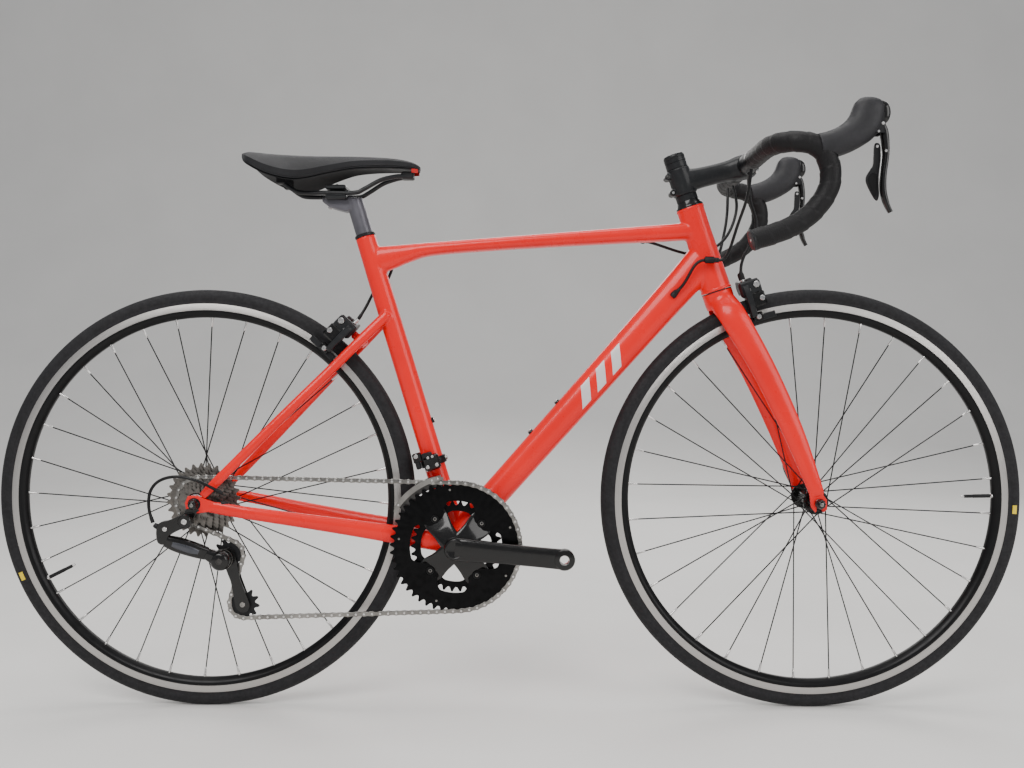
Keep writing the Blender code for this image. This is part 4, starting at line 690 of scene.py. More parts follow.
def frame_skin():
    skin = Shape()
    head = [
        (0.0240, 0.0), (0.0236, 0.02), (0.0226, 0.05), (0.0218, 0.085), (0.0215, 0.11), (0.0215, HEAD_LENGTH)
    ]
    skin.lathe(HEAD_LOW, HEAD_UP, head, "paint", 48)
    spots = [0.010, 0.10, 0.384, 0.512]
    sizes = [(0.0170, 0.0185), (0.0156, 0.0173), (0.0156, 0.0169), (0.0161, 0.0161)]
    skin.sweep([BB + SEAT_UP * spot for spot in spots], sizes, "paint", 32, per=8)
    skin.lathe(BB, SIDE, [(0.0235, -0.0430), (0.0235, 0.0430)], "paint", 48)
    start, along, length = top_tube_line()
    up = along.cross(SIDE)
    shares = [0.0, 0.07, 0.125, 0.20, 0.42, 0.67, 0.90, 1.0]
    depths = [0.024, 0.0187, 0.0142, 0.0106, 0.0105, 0.0118, 0.0134, 0.0138]
    widths = [0.0137, 0.0142, 0.0152, 0.0167, 0.0177, 0.0182, 0.0187, 0.0182]
    points = [start + along * length * share - up * depth for share, depth in zip(shares, depths)]
    skin.sweep(points, list(zip(widths, depths)), "paint", 36, 2.5, per=8)
    start, end, along, up = down_tube_line()
    length = (end - start).length
    spots = [0.006, 0.07, 0.14, length - 0.12, length]
    sizes = [(0.0300, 0.0200), (0.0267, 0.0224), (0.0218, 0.0224), (0.0218, 0.0250), (0.0197, 0.0282)]
    skin.sweep([start + along * spot for spot in spots], sizes, "paint", 36, 2.3, per=8)
    span = BB - REAR_AXLE
    shares = [0.045, 0.10, 0.20, 0.38, 0.58, 0.76, 0.90, 0.995]
    outs = [REAR_OUT - 0.0032, 0.0680, 0.0655, 0.0525, 0.0395, 0.0308, 0.0290, 0.0300]
    sizes = [(0.0030, 0.0088), (0.0041, 0.0096), (0.0061, 0.0101), (0.0079, 0.0113)]
    sizes += [(0.0086, 0.0131), (0.0081, 0.0149), (0.0081, 0.0156), (0.0081, 0.0156)]
    for side in (-1, 1):
        points = [REAR_AXLE + span * share + SIDE * side * out for share, out in zip(shares, outs)]
        skin.sweep(points, sizes, "paint", 24, per=6)
    along, up = stay_axes()
    length = (BB + SEAT_UP * 0.383 - REAR_AXLE).length
    bolt = TRACK_RADIUS + 0.049
    spots = [0.0165, 0.032, 0.075, length * 0.5, bolt - 0.06, bolt, length]
    outs = [REAR_OUT - 0.0032, REAR_OUT - 0.0030, 0.0655, 0.0480, 0.0320, 0.0265, 0.0125]
    sizes = [(0.0029, 0.0066), (0.0041, 0.0073), (0.0060, 0.0080), (0.0064, 0.0080)]
    sizes += [(0.0067, 0.0080), (0.0067, 0.0082), (0.0072, 0.0087)]
    for side in (-1, 1):
        points = [REAR_AXLE + along * spot + SIDE * side * out for spot, out in zip(spots, outs)]
        skin.sweep(points, sizes, "paint", 24, per=6)
    bridge = REAR_AXLE + along * bolt
    skin.rod(bridge - SIDE * 0.0265, bridge + SIDE * 0.0265, 0.0064, "paint")
    skin.rod(bridge - up * 0.008, bridge + up * 0.0186, 0.0069, "paint")
    cuts = [
        Shape().rod(head_at(-0.01), head_at(HEAD_LENGTH + 0.01), 0.0146, "paint", 40),
        Shape().rod(BB - SIDE * 0.06, BB + SIDE * 0.06, 0.0123, "paint", 40),
        Shape().rod(SEAT_TOP - SEAT_UP * 0.215, SEAT_TOP + SEAT_UP * 0.01, 0.0139, "paint", 40),
        Shape().rod(REAR_AXLE - SIDE * 0.09, REAR_AXLE + SIDE * 0.09, 0.0052, "paint", 20),
    ]
    return fused(skin, 0.0017, 7, cuts)


def build_frame():
    parts = Shape()
    # Dropouts, with the hanger on the drive side
    for side in (-1, 1):
        tip = [(0.004, 0.0135), (-0.010, 0.0125), (-0.0145, 0.002), (-0.0120, -0.0098), (-0.009, -0.013)]
        tip += [(-0.004, -0.013), (0.006, -0.014), (0.030, -0.0105), (0.030, 0.0030)]
        outline = [(REAR_AXLE.x + x, REAR_AXLE.z + z) for x, z in tip]
        parts.plate(outline, side * 0.065, side * REAR_OUT, "paint", 0.0009)
        if side < 0:
            hanger = [
                (-0.0100, -0.0060), (-0.0140, -0.0100), (-0.0172, -0.0200), (-0.0172, -0.0280),
                (-0.0145, -0.0325)
            ]
            hanger += [
                (-0.0060, -0.0325), (-0.0030, -0.0260), (0.0040, -0.0130), (0.0090, -0.0090),
                (0.0040, -0.0060)
            ]
            spots = [(REAR_AXLE.x + x, REAR_AXLE.z + z) for x, z in hanger]
            parts.plate(spots, -0.0646, -REAR_OUT - 0.0002, "gloss", 0.0010, per=3)
        ring = [(0.0100, 0.0), (0.0104, 0.0004), (0.0100, 0.0008), (0.0056, 0.0008), (0.0056, 0.0)]
        parts.lathe(
            REAR_AXLE + SIDE * side * (REAR_OUT - 0.0007), SIDE * side, ring, "satin", 32, closed=True
        )
    # Bottle bosses, each a collar with its bolt
    start, end, along, up = down_tube_line()
    seats = [(BB + SEAT_UP * spot, SEAT_FORWARD, 0.0165) for spot in (0.136, 0.200)]
    seats += [(start + along * spot, up, 0.0222) for spot in (0.21, 0.274)]
    for base, axis, reach in seats:
        parts.lathe(
            base, axis, [(0.0050, reach - 0.003), (0.0048, reach + 0.0032), (0.0042, reach + 0.0040)],
            "gloss", 24
        )
        parts.bolt(base + axis * (reach + 0.0040), axis, 0.0041, 0.0012, "silver", 0.5)
    # Head tube's bearing lips
    lip = [
        (0.0146, -0.0001), (0.0242, -0.0001), (0.0246, 0.0012), (0.0246, 0.0030), (0.0238, 0.0044),
        (0.0146, 0.0044)
    ]
    parts.lathe(HEAD_LOW, HEAD_UP, lip, "paint", 56, closed=True)
    top = HEAD_LENGTH
    lip = [
        (0.0146, top), (0.0216, top), (0.0222, top - 0.0012), (0.0222, top - 0.0034), (0.0214, top - 0.0046)
    ]
    parts.lathe(HEAD_LOW, HEAD_UP, [*lip, (0.0146, top - 0.0046)], "paint", 56, closed=True)
    # Bottom bracket cups
    for side in (-1, 1):
        cup = [(0.0124, 0.0405), (0.0222, 0.0405), (0.0222, 0.0428), (0.0212, 0.0434), (0.0124, 0.0434)]
        parts.lathe(BB, SIDE * side, cup, "anodised", 48, closed=True)
    # Cable ports
    for side in (-1, 1):
        landing = end - along * 0.0790 + SIDE * side * 0.0215
        parts.lathe(
            landing - along * 0.007, along,
            [(0.0044, 0.0), (0.0054, 0.004), (0.0044, 0.011), (0.0030, 0.0125)], "plastic", 20
        )
    start, tube, length = top_tube_line()
    for share, down, out in ((0.845, -0.020, 0.0172), (0.075, -0.022, 0.0128)):
        port = start + tube * length * share + Vector((0, out, down))
        parts.lathe(
            port - SIDE * 0.004, SIDE, [(0.0062, 0.0), (0.0062, 0.0035), (0.0048, 0.0048), (0.0030, 0.0050)],
            "plastic", 24
        )
    port = BB + (REAR_AXLE - BB) * 0.885 + SIDE * -0.0660 + UP * 0.0085
    parts.lathe(
        port, Vector((-1, -0.22, 0.30)), [(0.0040, -0.006), (0.0040, 0.004), (0.0031, 0.006)], "plastic", 20
    )
    # Three plain slanted bars on each side of the down tube
    start, end, along, up = down_tube_line()
    length = (end - start).length
    for side in (-1, 1):
        for number in range(3):
            centre = 0.315 + number * 0.036
            rings = []
            for v in np.linspace(-0.42, 0.42, 9):
                rows = []
                for u in (-0.010, 0.010):
                    spot = centre + u + v * 0.030
                    share = min(max((spot - 0.14) / (length - 0.26), 0), 1)
                    wide, deep = 0.0218 - 0.0002 * share, 0.0224 + 0.0026 * share
                    x = deep * v * 1.35
                    y = wide * (1 - abs(x / deep) ** 2.3) ** (1 / 2.3)
                    rows.append((start + along * spot + up * x, SIDE * side * y))
                low, high = rows
                rings.append(
                    [
                        low[0] + low[1] * 0.97, high[0] + high[1] * 0.97, high[0] + high[1] * 1.012,
                        low[0] + low[1] * 1.012
                    ]
                )
            parts.loft(rings, "decal")
    nodes = ("head_tube", "seat_tube", "bottom_bracket_shell", "top_tube", "down_tube")
    nodes += ("right_chainstay", "left_chainstay", "seatstays")
    with_skin(parts, frame_skin(), "paint", "frame_tubes", "frame", "red_paint", nodes)
    collar = Shape()
    inner, base = 0.0139, SEAT_TOP + SEAT_UP * 0.0003
    ring = [
        (inner, 0.0), (0.0164, 0.0), (0.0166, 0.0006), (0.0166, 0.0032), (0.0156, 0.0044), (inner, 0.0044)
    ]
    collar.lathe(base, SEAT_UP, ring, "satin", 48, closed=True)
    collar.make("collar_ring", "frame", "dark_plastic", "seatpost_collar")


def build_fork():
    skin = Shape()
    crown = [(0.0190, -0.040), (0.0228, -0.030), (0.0240, -0.020), (0.0242, -0.010), (0.0242, -0.0006)]
    skin.lathe(HEAD_LOW, HEAD_UP, crown, "paint", 48)
    tip = FRONT_AXLE + SIDE * 0.0545
    shoulder = head_at(-0.050) + HEAD_FORWARD * 0.0065
    span = tip - shoulder
    outs = [0.010, 0.0340, 0.0415, 0.0475, 0.0520, 0.0533]
    shares = [None, 0.0, 0.30, 0.62, 0.90, 0.965]
    bows = [0.0, 0.0, 0.0085, 0.0095, 0.0045, 0.0020]
    sizes = [
        (0.0200, 0.0215), (0.0107, 0.0217), (0.0087, 0.0192), (0.0077, 0.0167), (0.0057, 0.0127),
        (0.0034, 0.0113)
    ]
    for side in (-1, 1):
        points = []
        for share, out, bow in zip(shares, outs, bows):
            if share is None:
                base = head_at(-0.022) + HEAD_FORWARD * 0.002
            else:
                base = shoulder + span * share + HEAD_FORWARD * bow
            points.append(Vector((base.x, side * out, base.z)))
        skin.sweep(points, sizes, "paint", 28, per=8)
    room = [
        (0.2, -0.0185), (0.340, -0.0185), (0.3425, -0.0120), (0.3435, 0.0), (0.3425, 0.0120), (0.340, 0.0185),
        (0.2, 0.0185)
    ]
    cuts = [Shape().lathe(FRONT_AXLE, SIDE, room, "paint", 160, closed=True)]
    cuts.append(Shape().rod(FRONT_AXLE - SIDE * 0.09, FRONT_AXLE + SIDE * 0.09, 0.0052, "paint"))
    mesh = fused(skin, 0.0016, 7, cuts)
    parts = Shape()
    parts.rod(head_at(-0.005), head_at(0.2205), 0.0143, "satin", 40)
    for side in (-1, 1):
        outline = [(-0.016, 0.022), (-0.002, 0.024), (0.0115, 0.006), (0.0120, -0.009)]
        outline += [
            (0.0065, -0.0135), (0.0048, -0.0120), (0.0048, -0.002), (0.0030, 0.0042), (-0.0030, 0.0042)
        ]
        outline += [(-0.0048, -0.002), (-0.0048, -0.0120), (-0.0065, -0.0135), (-0.0125, -0.006)]
        spots = [(FRONT_AXLE.x + x, FRONT_AXLE.z + z) for x, z in outline]
        parts.plate(spots, side * 0.0503, side * FRONT_OUT, "paint", 0.0007)
    seal = [(0.0146, -0.0022), (0.0243, -0.0022), (0.0246, -0.0016), (0.0246, -0.0009), (0.0146, -0.0009)]
    parts.lathe(HEAD_LOW, HEAD_UP, seal, "gloss", 56, closed=True)
    with_skin(parts, mesh, "paint", "fork_body", "steering", "red_paint", "fork")


# Wheels


def spoke_lines(axle, valve_turn, flange, right_y, left_y):
    """Each spoke's start on its flange and its end at the rim."""
    lines = []
    for index in range(SPOKES):
        side = -1 if index % 2 == 0 else 1
        leads = 1 if index % 4 < 2 else -1
        rim_turn = valve_turn + 2 * math.pi * (index + 0.5) / SPOKES
        hub_turn = rim_turn + leads * 12 * math.pi / SPOKES
        y = (right_y if side < 0 else left_y) + 0.0018 * leads
        reach = flange - 0.0035
        start = axle + Vector((math.cos(hub_turn) * reach, y, math.sin(hub_turn) * reach))
        reach = RIM_INNER - 0.0012
        end = axle + Vector((math.cos(rim_turn) * reach, side * 0.0015, math.sin(rim_turn) * reach))
        lines.append((start, end))
    return lines


def build_wheel(name, body, axle, valve_turn, right_y, left_y, flange, hub_body, half_width):
    tyre = Shape()
    centre = TYRE_RADIUS - TYRE_HALF
    outer = []
    wall = [(BEAD_RADIUS - 0.0029, 0.0112), (BEAD_RADIUS - 0.0026, 0.01155), (BEAD_RADIUS - 0.0008, 0.01165)]
    outer += [(radius, -height) for radius, height in wall]
    for degrees in np.linspace(-112, 112, 45):
        turn = math.radians(degrees)
        lift = 0.0 if abs(degrees) < 20 else 0.0003
        outer.append((centre + (TYRE_HALF - lift) * math.cos(turn), (TYRE_HALF - 0.0001) * math.sin(turn)))
    outer += wall[::-1]
    for radius, height in ((BEAD_RADIUS - 0.0012, 0.0086), (BEAD_RADIUS + 0.004, 0.0080)):
        outer.append((radius, height))
    inner = [(centre + 0.0102 * math.cos(t), -0.0102 * math.sin(t)) for t in np.linspace(-2.0, 2.0, 14)]
    outer += inner + [(BEAD_RADIUS + 0.004, -0.0080), (BEAD_RADIUS - 0.0012, -0.0086)]
    tyre.lathe(axle, SIDE, outer, "tyre", 240, closed=True)
    rows = len(outer)
    tyre.uvs = [[(u, v * rows / 50 if v * rows <= 51 else 0.5 + 0.49) for u, v in face] for face in tyre.uvs]
    # A small plain label beside the valve, laid on each side wall
    for side in (-1, 1):
        rings = []
        for turn in np.linspace(-0.021, 0.021, 7) + valve_turn - 0.065:
            ring = []
            for reach, out in (
                (0.3205, 0.0004), (0.3238, 0.0004), (0.3270, 0.0004), (0.3270, -0.0008), (0.3238, -0.0008),
                (0.3205, -0.0008)
            ):
                width = math.sqrt(max(TYRE_HALF**2 - (reach - centre) ** 2, 0.0)) + out
                ring.append(axle + Vector((math.cos(turn) * reach, side * width, math.sin(turn) * reach)))
            rings.append(ring)
        tyre.loft(rings, "label")
    tyre.make(f"{name}_tyre_body", body, "tyre_rubber", f"{name}_tyre", axle)

    rim = Shape()
    half = RIM_HALF
    low = TRACK_RADIUS - 0.0035
    right = [(BEAD_RADIUS, 0.0092), (BEAD_RADIUS + 0.0002, half - 0.0004), (BEAD_RADIUS - 0.0006, half)]
    right += [(low + 0.0006, half), (low, half - 0.0005), (low - 0.002, half - 0.0004)]
    right += [
        (low - 0.006, half - 0.0019), (RIM_INNER + 0.003, 0.0063), (RIM_INNER + 0.0006, 0.0042),
        (RIM_INNER, 0.0022)
    ]
    profile = [(BEAD_RADIUS - 0.006, -0.0085), (BEAD_RADIUS - 0.006, 0.0085), *right]
    profile += [(radius, -height) for radius, height in right[::-1]]
    bands = ["anodised"] * len(profile)
    count = len(right)
    for number in (4, 2 * count - 2):
        bands[number] = "track"
    rim.lathe(axle, SIDE, profile, "anodised", 200, closed=True, bands=bands)
    out = Vector((math.cos(valve_turn), 0, math.sin(valve_turn)))
    rim.lathe(
        axle + out * RIM_INNER, -out,
        [(0.0044, -0.001), (0.0044, 0.0012), (0.0032, 0.0022), (0.0030, 0.0022)], "silver", 20
    )
    stem = [(0.0030, -0.004), (0.0030, 0.0290), (0.0027, 0.0292), (0.0027, 0.0420), (0.0020, 0.0440)]
    rim.lathe(axle + out * RIM_INNER, -out, stem, "plastic", 20)
    rim.lathe(
        axle + out * (RIM_INNER - 0.0438), -out, [(0.0020, 0.0), (0.0020, 0.0035), (0.0012, 0.0045)],
        "silver", 14
    )
    lines = spoke_lines(axle, valve_turn, flange, right_y, left_y)
    for start, end in lines:
        inward = (start - end).normalized()
        nipple = [(0.0023, -0.0015), (0.0023, 0.0016), (0.0018, 0.0022), (0.0018, 0.0125), (0.0014, 0.0132)]
        rim.lathe(end, inward, nipple, "silver", 12)
    rim.make(f"{name}_rim_ring", body, "rim_metal", f"{name}_rim", axle)

    hub = Shape()
    thick = 0.0016
    shoulder = 0.0105
    profile = [
        (0.0030, -half_width), (0.0082, -half_width), (0.0086, -half_width + 0.0005),
        (0.0086, -half_width + 0.004)
    ]
    profile += [
        (shoulder, right_y - 0.0065), (shoulder + 0.0015, right_y - 0.0045),
        (flange - 0.0075, right_y - 0.0030)
    ]
    profile += [
        (flange - 0.0065, right_y - thick), (flange - 0.0005, right_y - thick),
        (flange, right_y - thick + 0.0005)
    ]
    profile += [
        (flange, right_y + thick - 0.0005), (flange - 0.0005, right_y + thick),
        (flange - 0.0065, right_y + thick)
    ]
    waist = np.linspace(right_y + 0.0045, left_y - 0.0045, 9)
    middle = (right_y + left_y) / 2
    reach = (left_y - right_y) / 2
    profile += [(hub_body - 0.002 + 0.004 * (abs(y - middle) / reach) ** 3, y) for y in waist]
    profile += [
        (flange - 0.0065, left_y - thick), (flange - 0.0005, left_y - thick),
        (flange, left_y - thick + 0.0005)
    ]
    profile += [
        (flange, left_y + thick - 0.0005), (flange - 0.0005, left_y + thick),
        (flange - 0.0065, left_y + thick)
    ]
    profile += [
        (flange - 0.0075, left_y + 0.0030), (shoulder + 0.0015, left_y + 0.0045), (shoulder, left_y + 0.0065)
    ]
    profile += [
        (0.0086, half_width - 0.004), (0.0086, half_width - 0.0005), (0.0082, half_width),
        (0.0030, half_width)
    ]
    hub.lathe(axle, SIDE, profile, "gloss", 56, closed=True)
    if name == "rear":
        hub.lathe(axle, SIDE, [(0.0084, -0.0600), (0.0084, -0.0210)], "dark_steel", 32)
    for start, end in lines:
        plane = right_y if start.y < 0 else left_y
        inner = Vector((start.x, plane - (start.y - plane) * 1.5, start.z))
        head = Vector((start.x, plane - (start.y - plane) * 1.9, start.z))
        hub.lathe(
            head, (start - inner), [(0.0014, -0.0004), (0.0018, 0.0), (0.0018, 0.0006), (0.0010, 0.0012)],
            "spoke", 10
        )
        along = (end - start).normalized()
        bend = start + along * 0.0018
        hub.tube([inner, start - (start - inner) * 0.12, bend, start + along * 0.006], 0.0011, "spoke", 8)
        hub.tube([start + along * 0.004, end + (start - end).normalized() * 0.010], 0.0010, "spoke", 8)
    hub.make(f"{name}_hub_and_spokes", body, "black_metal", f"{name}_spoked_hub", axle)


def build_skewers():
    for name, body, lever_body, axle, out, direction in (
        ("front", "steering", "front_quick_release", FRONT_AXLE, FRONT_OUT, (-0.35, 0, 0.94)),
        ("rear", "frame", "rear_quick_release", REAR_AXLE, REAR_OUT, (0.35, 0, 0.94)),
    ):
        nut = out + 0.0003
        rod = Shape()
        rod.rod(axle - SIDE * nut, axle + SIDE * nut, 0.0024, "steel", 16)
        face = [
            (0.0024, nut), (0.0078, nut), (0.0080, nut + 0.0008), (0.0080, nut + 0.0020),
            (0.0074, nut + 0.0024)
        ]
        face += [
            (0.0076, nut + 0.0050), (0.0072, nut + 0.0072), (0.0056, nut + 0.0118), (0.0048, nut + 0.0124),
            (0.0024, nut + 0.0124)
        ]
        rod.lathe(axle, -SIDE, face, "gloss", 32)
        for number in range(10):
            turn = 2 * math.pi * number / 10
            spoke = Vector((math.cos(turn), 0, math.sin(turn)))
            seat = axle - SIDE * (nut + 0.0046) + spoke * 0.0076
            rod.box(seat, (SIDE, SIDE.cross(spoke), spoke), (0.0018, 0.0009, 0.0004), "gloss", 0.0002)
        rod.lathe(
            axle - SIDE * (nut + 0.0118), -SIDE, [(0.0030, 0.0), (0.0030, 0.0008), (0.0022, 0.0012)], "steel",
            16
        )
        seat = [
            (0.0024, nut), (0.0083, nut), (0.0085, nut + 0.0006), (0.0085, nut + 0.0030),
            (0.0078, nut + 0.0036)
        ]
        seat += [(0.0078, nut + 0.0068), (0.0062, nut + 0.0095), (0.0024, nut + 0.0095)]
        rod.lathe(axle, SIDE, seat, "gloss", 32)
        rod.make(f"{name}_skewer_rod", body, "black_metal", f"{name}_skewer")
        lever = Shape()
        base = axle + SIDE * (out + 0.0175)
        along = Vector(direction).normalized()
        spots = [-0.0060, -0.002, 0.006, 0.014, 0.020, 0.040, 0.051, 0.055]
        halves = [(0.0036, 0.0042), (0.0052, 0.0064), (0.0060, 0.0068), (0.0042, 0.0060)]
        halves += [(0.0028, 0.0058), (0.0024, 0.0074), (0.0022, 0.0066), (0.0016, 0.0040)]
        shifts = [0, 0, 0, 0.0008, 0.001, 0.002, 0.0012, 0.0004]
        points = [base + along * spot + SIDE * shift for spot, shift in zip(spots, shifts)]
        lever.sweep(points, halves, "gloss", 24, 2.4, per=4)
        across = along.cross(SIDE)
        lever.rod(base - across * 0.0066, base + across * 0.0066, 0.0026, "silver", 16, 0.0004)
        lever.make(f"{name}_release_lever", lever_body, "black_metal", f"{name}_qr_lever", base)


# Drive train


def pitch_radius(teeth):
    return PITCH / (2 * math.sin(math.pi / teeth))


def tooth_line(teeth, turn0, centre, inner=None, tip=0.0032, sharp=1.0):
    """The toothed outline about a centre with a valley at turn0, and a matching outline at inner(turn)."""
    radius = pitch_radius(teeth)
    marks = [(0.0, -0.0040), (0.13, -0.0034), (0.25, -0.0012), (0.36, tip * 0.62), (0.44, tip), (0.56, tip)]
    marks += [(0.64, tip * 0.62), (0.75, -0.0012), (0.87, -0.0034)]
    outer, inside = [], []
    for tooth in range(teeth):
        for share, height in marks:
            turn = turn0 + 2 * math.pi * (tooth + share) / teeth
            reach = radius + height * sharp
            outer.append((centre.x + math.cos(turn) * reach, centre.z + math.sin(turn) * reach))
            if inner:
                near = inner(turn)
                inside.append((centre.x + math.cos(turn) * near, centre.z + math.sin(turn) * near))
    return outer, inside


def gear(shape, teeth, turn0, centre, y, half, inner, what, tip=0.0032):
    """A toothed ring, thinned at its teeth."""
    outer, inside = tooth_line(teeth, turn0, centre, inner, tip)
    hold = pitch_radius(teeth) - 0.0052
    middle = Vector((centre.x, 0, centre.z))
    rings = []

    def ring(points, height):
        return [Vector((x, y + height, z)) for x, z in points]

    def drawn(points, limit):
        spots = []
        for x, z in points:
            reach = math.hypot(x - middle.x, z - middle.z)
            share = min(1.0, limit / reach)
            spots.append((middle.x + (x - middle.x) * share, middle.z + (z - middle.z) * share))
        return spots

    rings.append(ring(inside, -half))
    rings.append(ring(drawn(outer, hold), -half))
    rings.append(ring(outer, -half * 0.55))
    rings.append(ring(outer, half * 0.55))
    rings.append(ring(drawn(outer, hold), half))
    rings.append(ring(inside, half))
    shape.loft(rings, what, closed=True)


def run_direction(first, radius_one, spin_one, second, radius_two, spin_two):
    gap = Vector((second.x - first.x, 0, second.z - first.z))
    turn = math.atan2(gap.z, gap.x)
    turn += math.asin((spin_two * radius_two - spin_one * radius_one) / gap.length)
    return Vector((math.cos(turn), 0, math.sin(turn)))


def left_of(direction):
    return Vector((-direction.z, 0, direction.x))


CHAIN_WHEELS = (
    (REAR_AXLE + SIDE * CHAIN_Y, pitch_radius(COGS[CHAIN_COG]), 1),
    (BB + SIDE * BIG_RING_Y, pitch_radius(50), 1),
    (TENSION, pitch_radius(11), 1),
    (GUIDE, pitch_radius(11), -1),
)


def chain_spots():
    """The pins of the chain, one pitch apart."""
    path = []
    for number, (centre, radius, spin) in enumerate(CHAIN_WHEELS):
        before = CHAIN_WHEELS[number - 1]
        after = CHAIN_WHEELS[(number + 1) % 4]
        inward = run_direction(*before, centre, radius, spin)
        outward = run_direction(centre, radius, spin, *after)
        begin = math.atan2(inward.z, inward.x)
        end = math.atan2(outward.z, outward.x)
        turned = (begin - end) % (2 * math.pi) if spin > 0 else (end - begin) % (2 * math.pi)
        steps = math.ceil(turned / math.radians(2))
        first = centre + left_of(inward) * radius * spin
        last = centre + left_of(outward) * radius * spin
        path.append(first - inward * (before[0] - centre).length * 0.13)
        for i in range(steps + 1):
            turn = begin - spin * turned * i / steps
            path.append(centre + left_of(Vector((math.cos(turn), 0, math.sin(turn)))) * radius * spin)
        path.append(last + outward * (after[0] - centre).length * 0.13)
    path.append(path[0])
    lengths = [0.0]
    for a, b in zip(path, path[1:]):
        lengths.append(lengths[-1] + (b - a).length)
    count = 2 * round(lengths[-1] / PITCH / 2)
    spots = []
    at = 0
    for number in range(count):
        reach = lengths[-1] * number / count
        while lengths[at + 1] < reach:
            at += 1
        share = (reach - lengths[at]) / (lengths[at + 1] - lengths[at])
        spots.append(path[at].lerp(path[at + 1], share))
    return spots


CHAIN_SPOTS = chain_spots()


def valley_turn(centre, radius):
    """The turn of a chain pin that lies on this wheel, in the middle of its wrap."""
    touching = [
        spot for spot in CHAIN_SPOTS
        if abs(math.hypot(spot.x - centre.x, spot.z - centre.z) - radius) < 0.0004
    ]
    spot = touching[len(touching) // 2]
    return math.atan2(spot.z - centre.z, spot.x - centre.x)


def build_chain():
    chain = Shape()
    count = len(CHAIN_SPOTS)
    for number in range(count):
        a, b = CHAIN_SPOTS[number], CHAIN_SPOTS[(number + 1) % count]
        along = (b - a).normalized()
        across = (SIDE - along * SIDE.dot(along)).normalized()
        up = along.cross(across)
        half = (b - a).length / 2
        middle = (a + b) / 2
        inner = number % 2 == 0
        low, high = (0.00120, 0.00185) if inner else (0.00195, 0.00255)
        radius, waist = (0.0041, 0.0029) if inner else (0.0038, 0.0025)
        outline = []
        for turn in (-75, -40, 0, 40, 75):
            angle = math.radians(turn)
            outline.append((half + math.cos(angle) * radius, math.sin(angle) * radius))
        outline.append((0.0, waist))
        outline += [(-x, y) for x, y in outline[:5][::-1]]
        outline.append((0.0, -waist))
        for side in (-1, 1):
            rings = []
            for height, inset in ((low, 1.0), (high - 0.00015, 1.0), (high, 0.94)):
                rings.append(
                    [middle + along * x * inset + up * y * inset + across * side * height for x, y in outline]
                )
            chain.loft(rings, "steel")
        chain.rod(a - across * 0.0012, a + across * 0.0012, 0.00385, "dark_steel", 12)
        chain.rod(a - across * 0.0028, a + across * 0.0028, 0.0018, "silver", 8)
    chain.make("chain_links", "frame", "steel", "chain")


def build_rings():
    turn0 = valley_turn(BB, pitch_radius(50))
    arms = [math.radians(turn - 5.3) for turn in (48, 132, 228, 312)]

    def scalloped(wide, low, spread):
        def inner(turn):
            near = min(abs((turn - arm + math.pi) % (2 * math.pi) - math.pi) for arm in arms)
            share = min(1.0, max(0.0, near - 0.14) / spread)
            return low + (wide - low) * (share * share * (3 - 2 * share))

        return inner

    outer = Shape()
    gear(outer, 50, turn0, BB, BIG_RING_Y, 0.0010, scalloped(0.0725, 0.0490, 0.36), "ring_black")
    # Shift pins on the outside face
    for turn in (20, 96, 172, 250, 330):
        angle = math.radians(turn)
        spot = BB + Vector((math.cos(angle), 0, math.sin(angle))) * 0.0905 + SIDE * (BIG_RING_Y - 0.0009)
        outer.lathe(spot, -SIDE, [(0.0018, 0.0), (0.0018, 0.0004), (0.0012, 0.0006)], "steel", 14)
    outer.make("outer_ring", "cranks", "black_metal", "outer_chainring", BB)
    small = Shape()
    gear(small, 34, turn0, BB, SMALL_RING_Y, 0.0010, scalloped(0.0560, 0.0490, 0.40), "ring_black")
    small.make("inner_ring", "cranks", "black_metal", "inner_chainring", BB)


def crank_shells(shape, side):
    slope = CRANK_SLOPE + (math.pi if side > 0 else 0.0)
    along = Vector((math.cos(slope), 0, math.sin(slope)))
    face = 0.0740
    spots = [0.0, 0.018, 0.045, 0.085, 0.125, 0.150, 0.1635]
    halves = [
        (0.0068, 0.0182), (0.0072, 0.0180), (0.0070, 0.0170), (0.0064, 0.0160), (0.0062, 0.0157),
        (0.0060, 0.0158), (0.0056, 0.0160)
    ]
    start_y, end_y = side * (face - 0.011), side * (face - 0.0070)
    points = [
        BB + along * spot + SIDE * (start_y + (end_y - start_y) * spot / CRANK_LENGTH) for spot in spots
    ]
    shape.sweep(points, halves, "gloss", 32, 3.0, per=6)
    eye = BB + along * CRANK_LENGTH
    pad = [
        (0.0076, 0.0605), (0.0148, 0.0605), (0.0164, 0.0620), (0.0165, 0.0712), (0.0150, 0.0730),
        (0.0100, 0.0739), (0.0076, 0.0740)
    ]
    shape.lathe(eye, SIDE * side, pad, "gloss", 40, closed=True)
    thread = [(0.0071, 0.0606), (0.0078, 0.0604), (0.0078, 0.0739)]
    thread += [(0.0071 + 0.0003 * (n % 2), 0.0737 - 0.0006 * n) for n in range(22)]
    shape.lathe(eye, SIDE * side, thread, "silver", 32, closed=True)
    inner = 0.0444
    hub = [
        (0.0122, inner), (0.0172, inner), (0.0181, inner + 0.0010), (0.0182, 0.0600), (0.0176, 0.0660),
        (0.0160, 0.0692), (0.0140, 0.0700)
    ]
    return along, hub


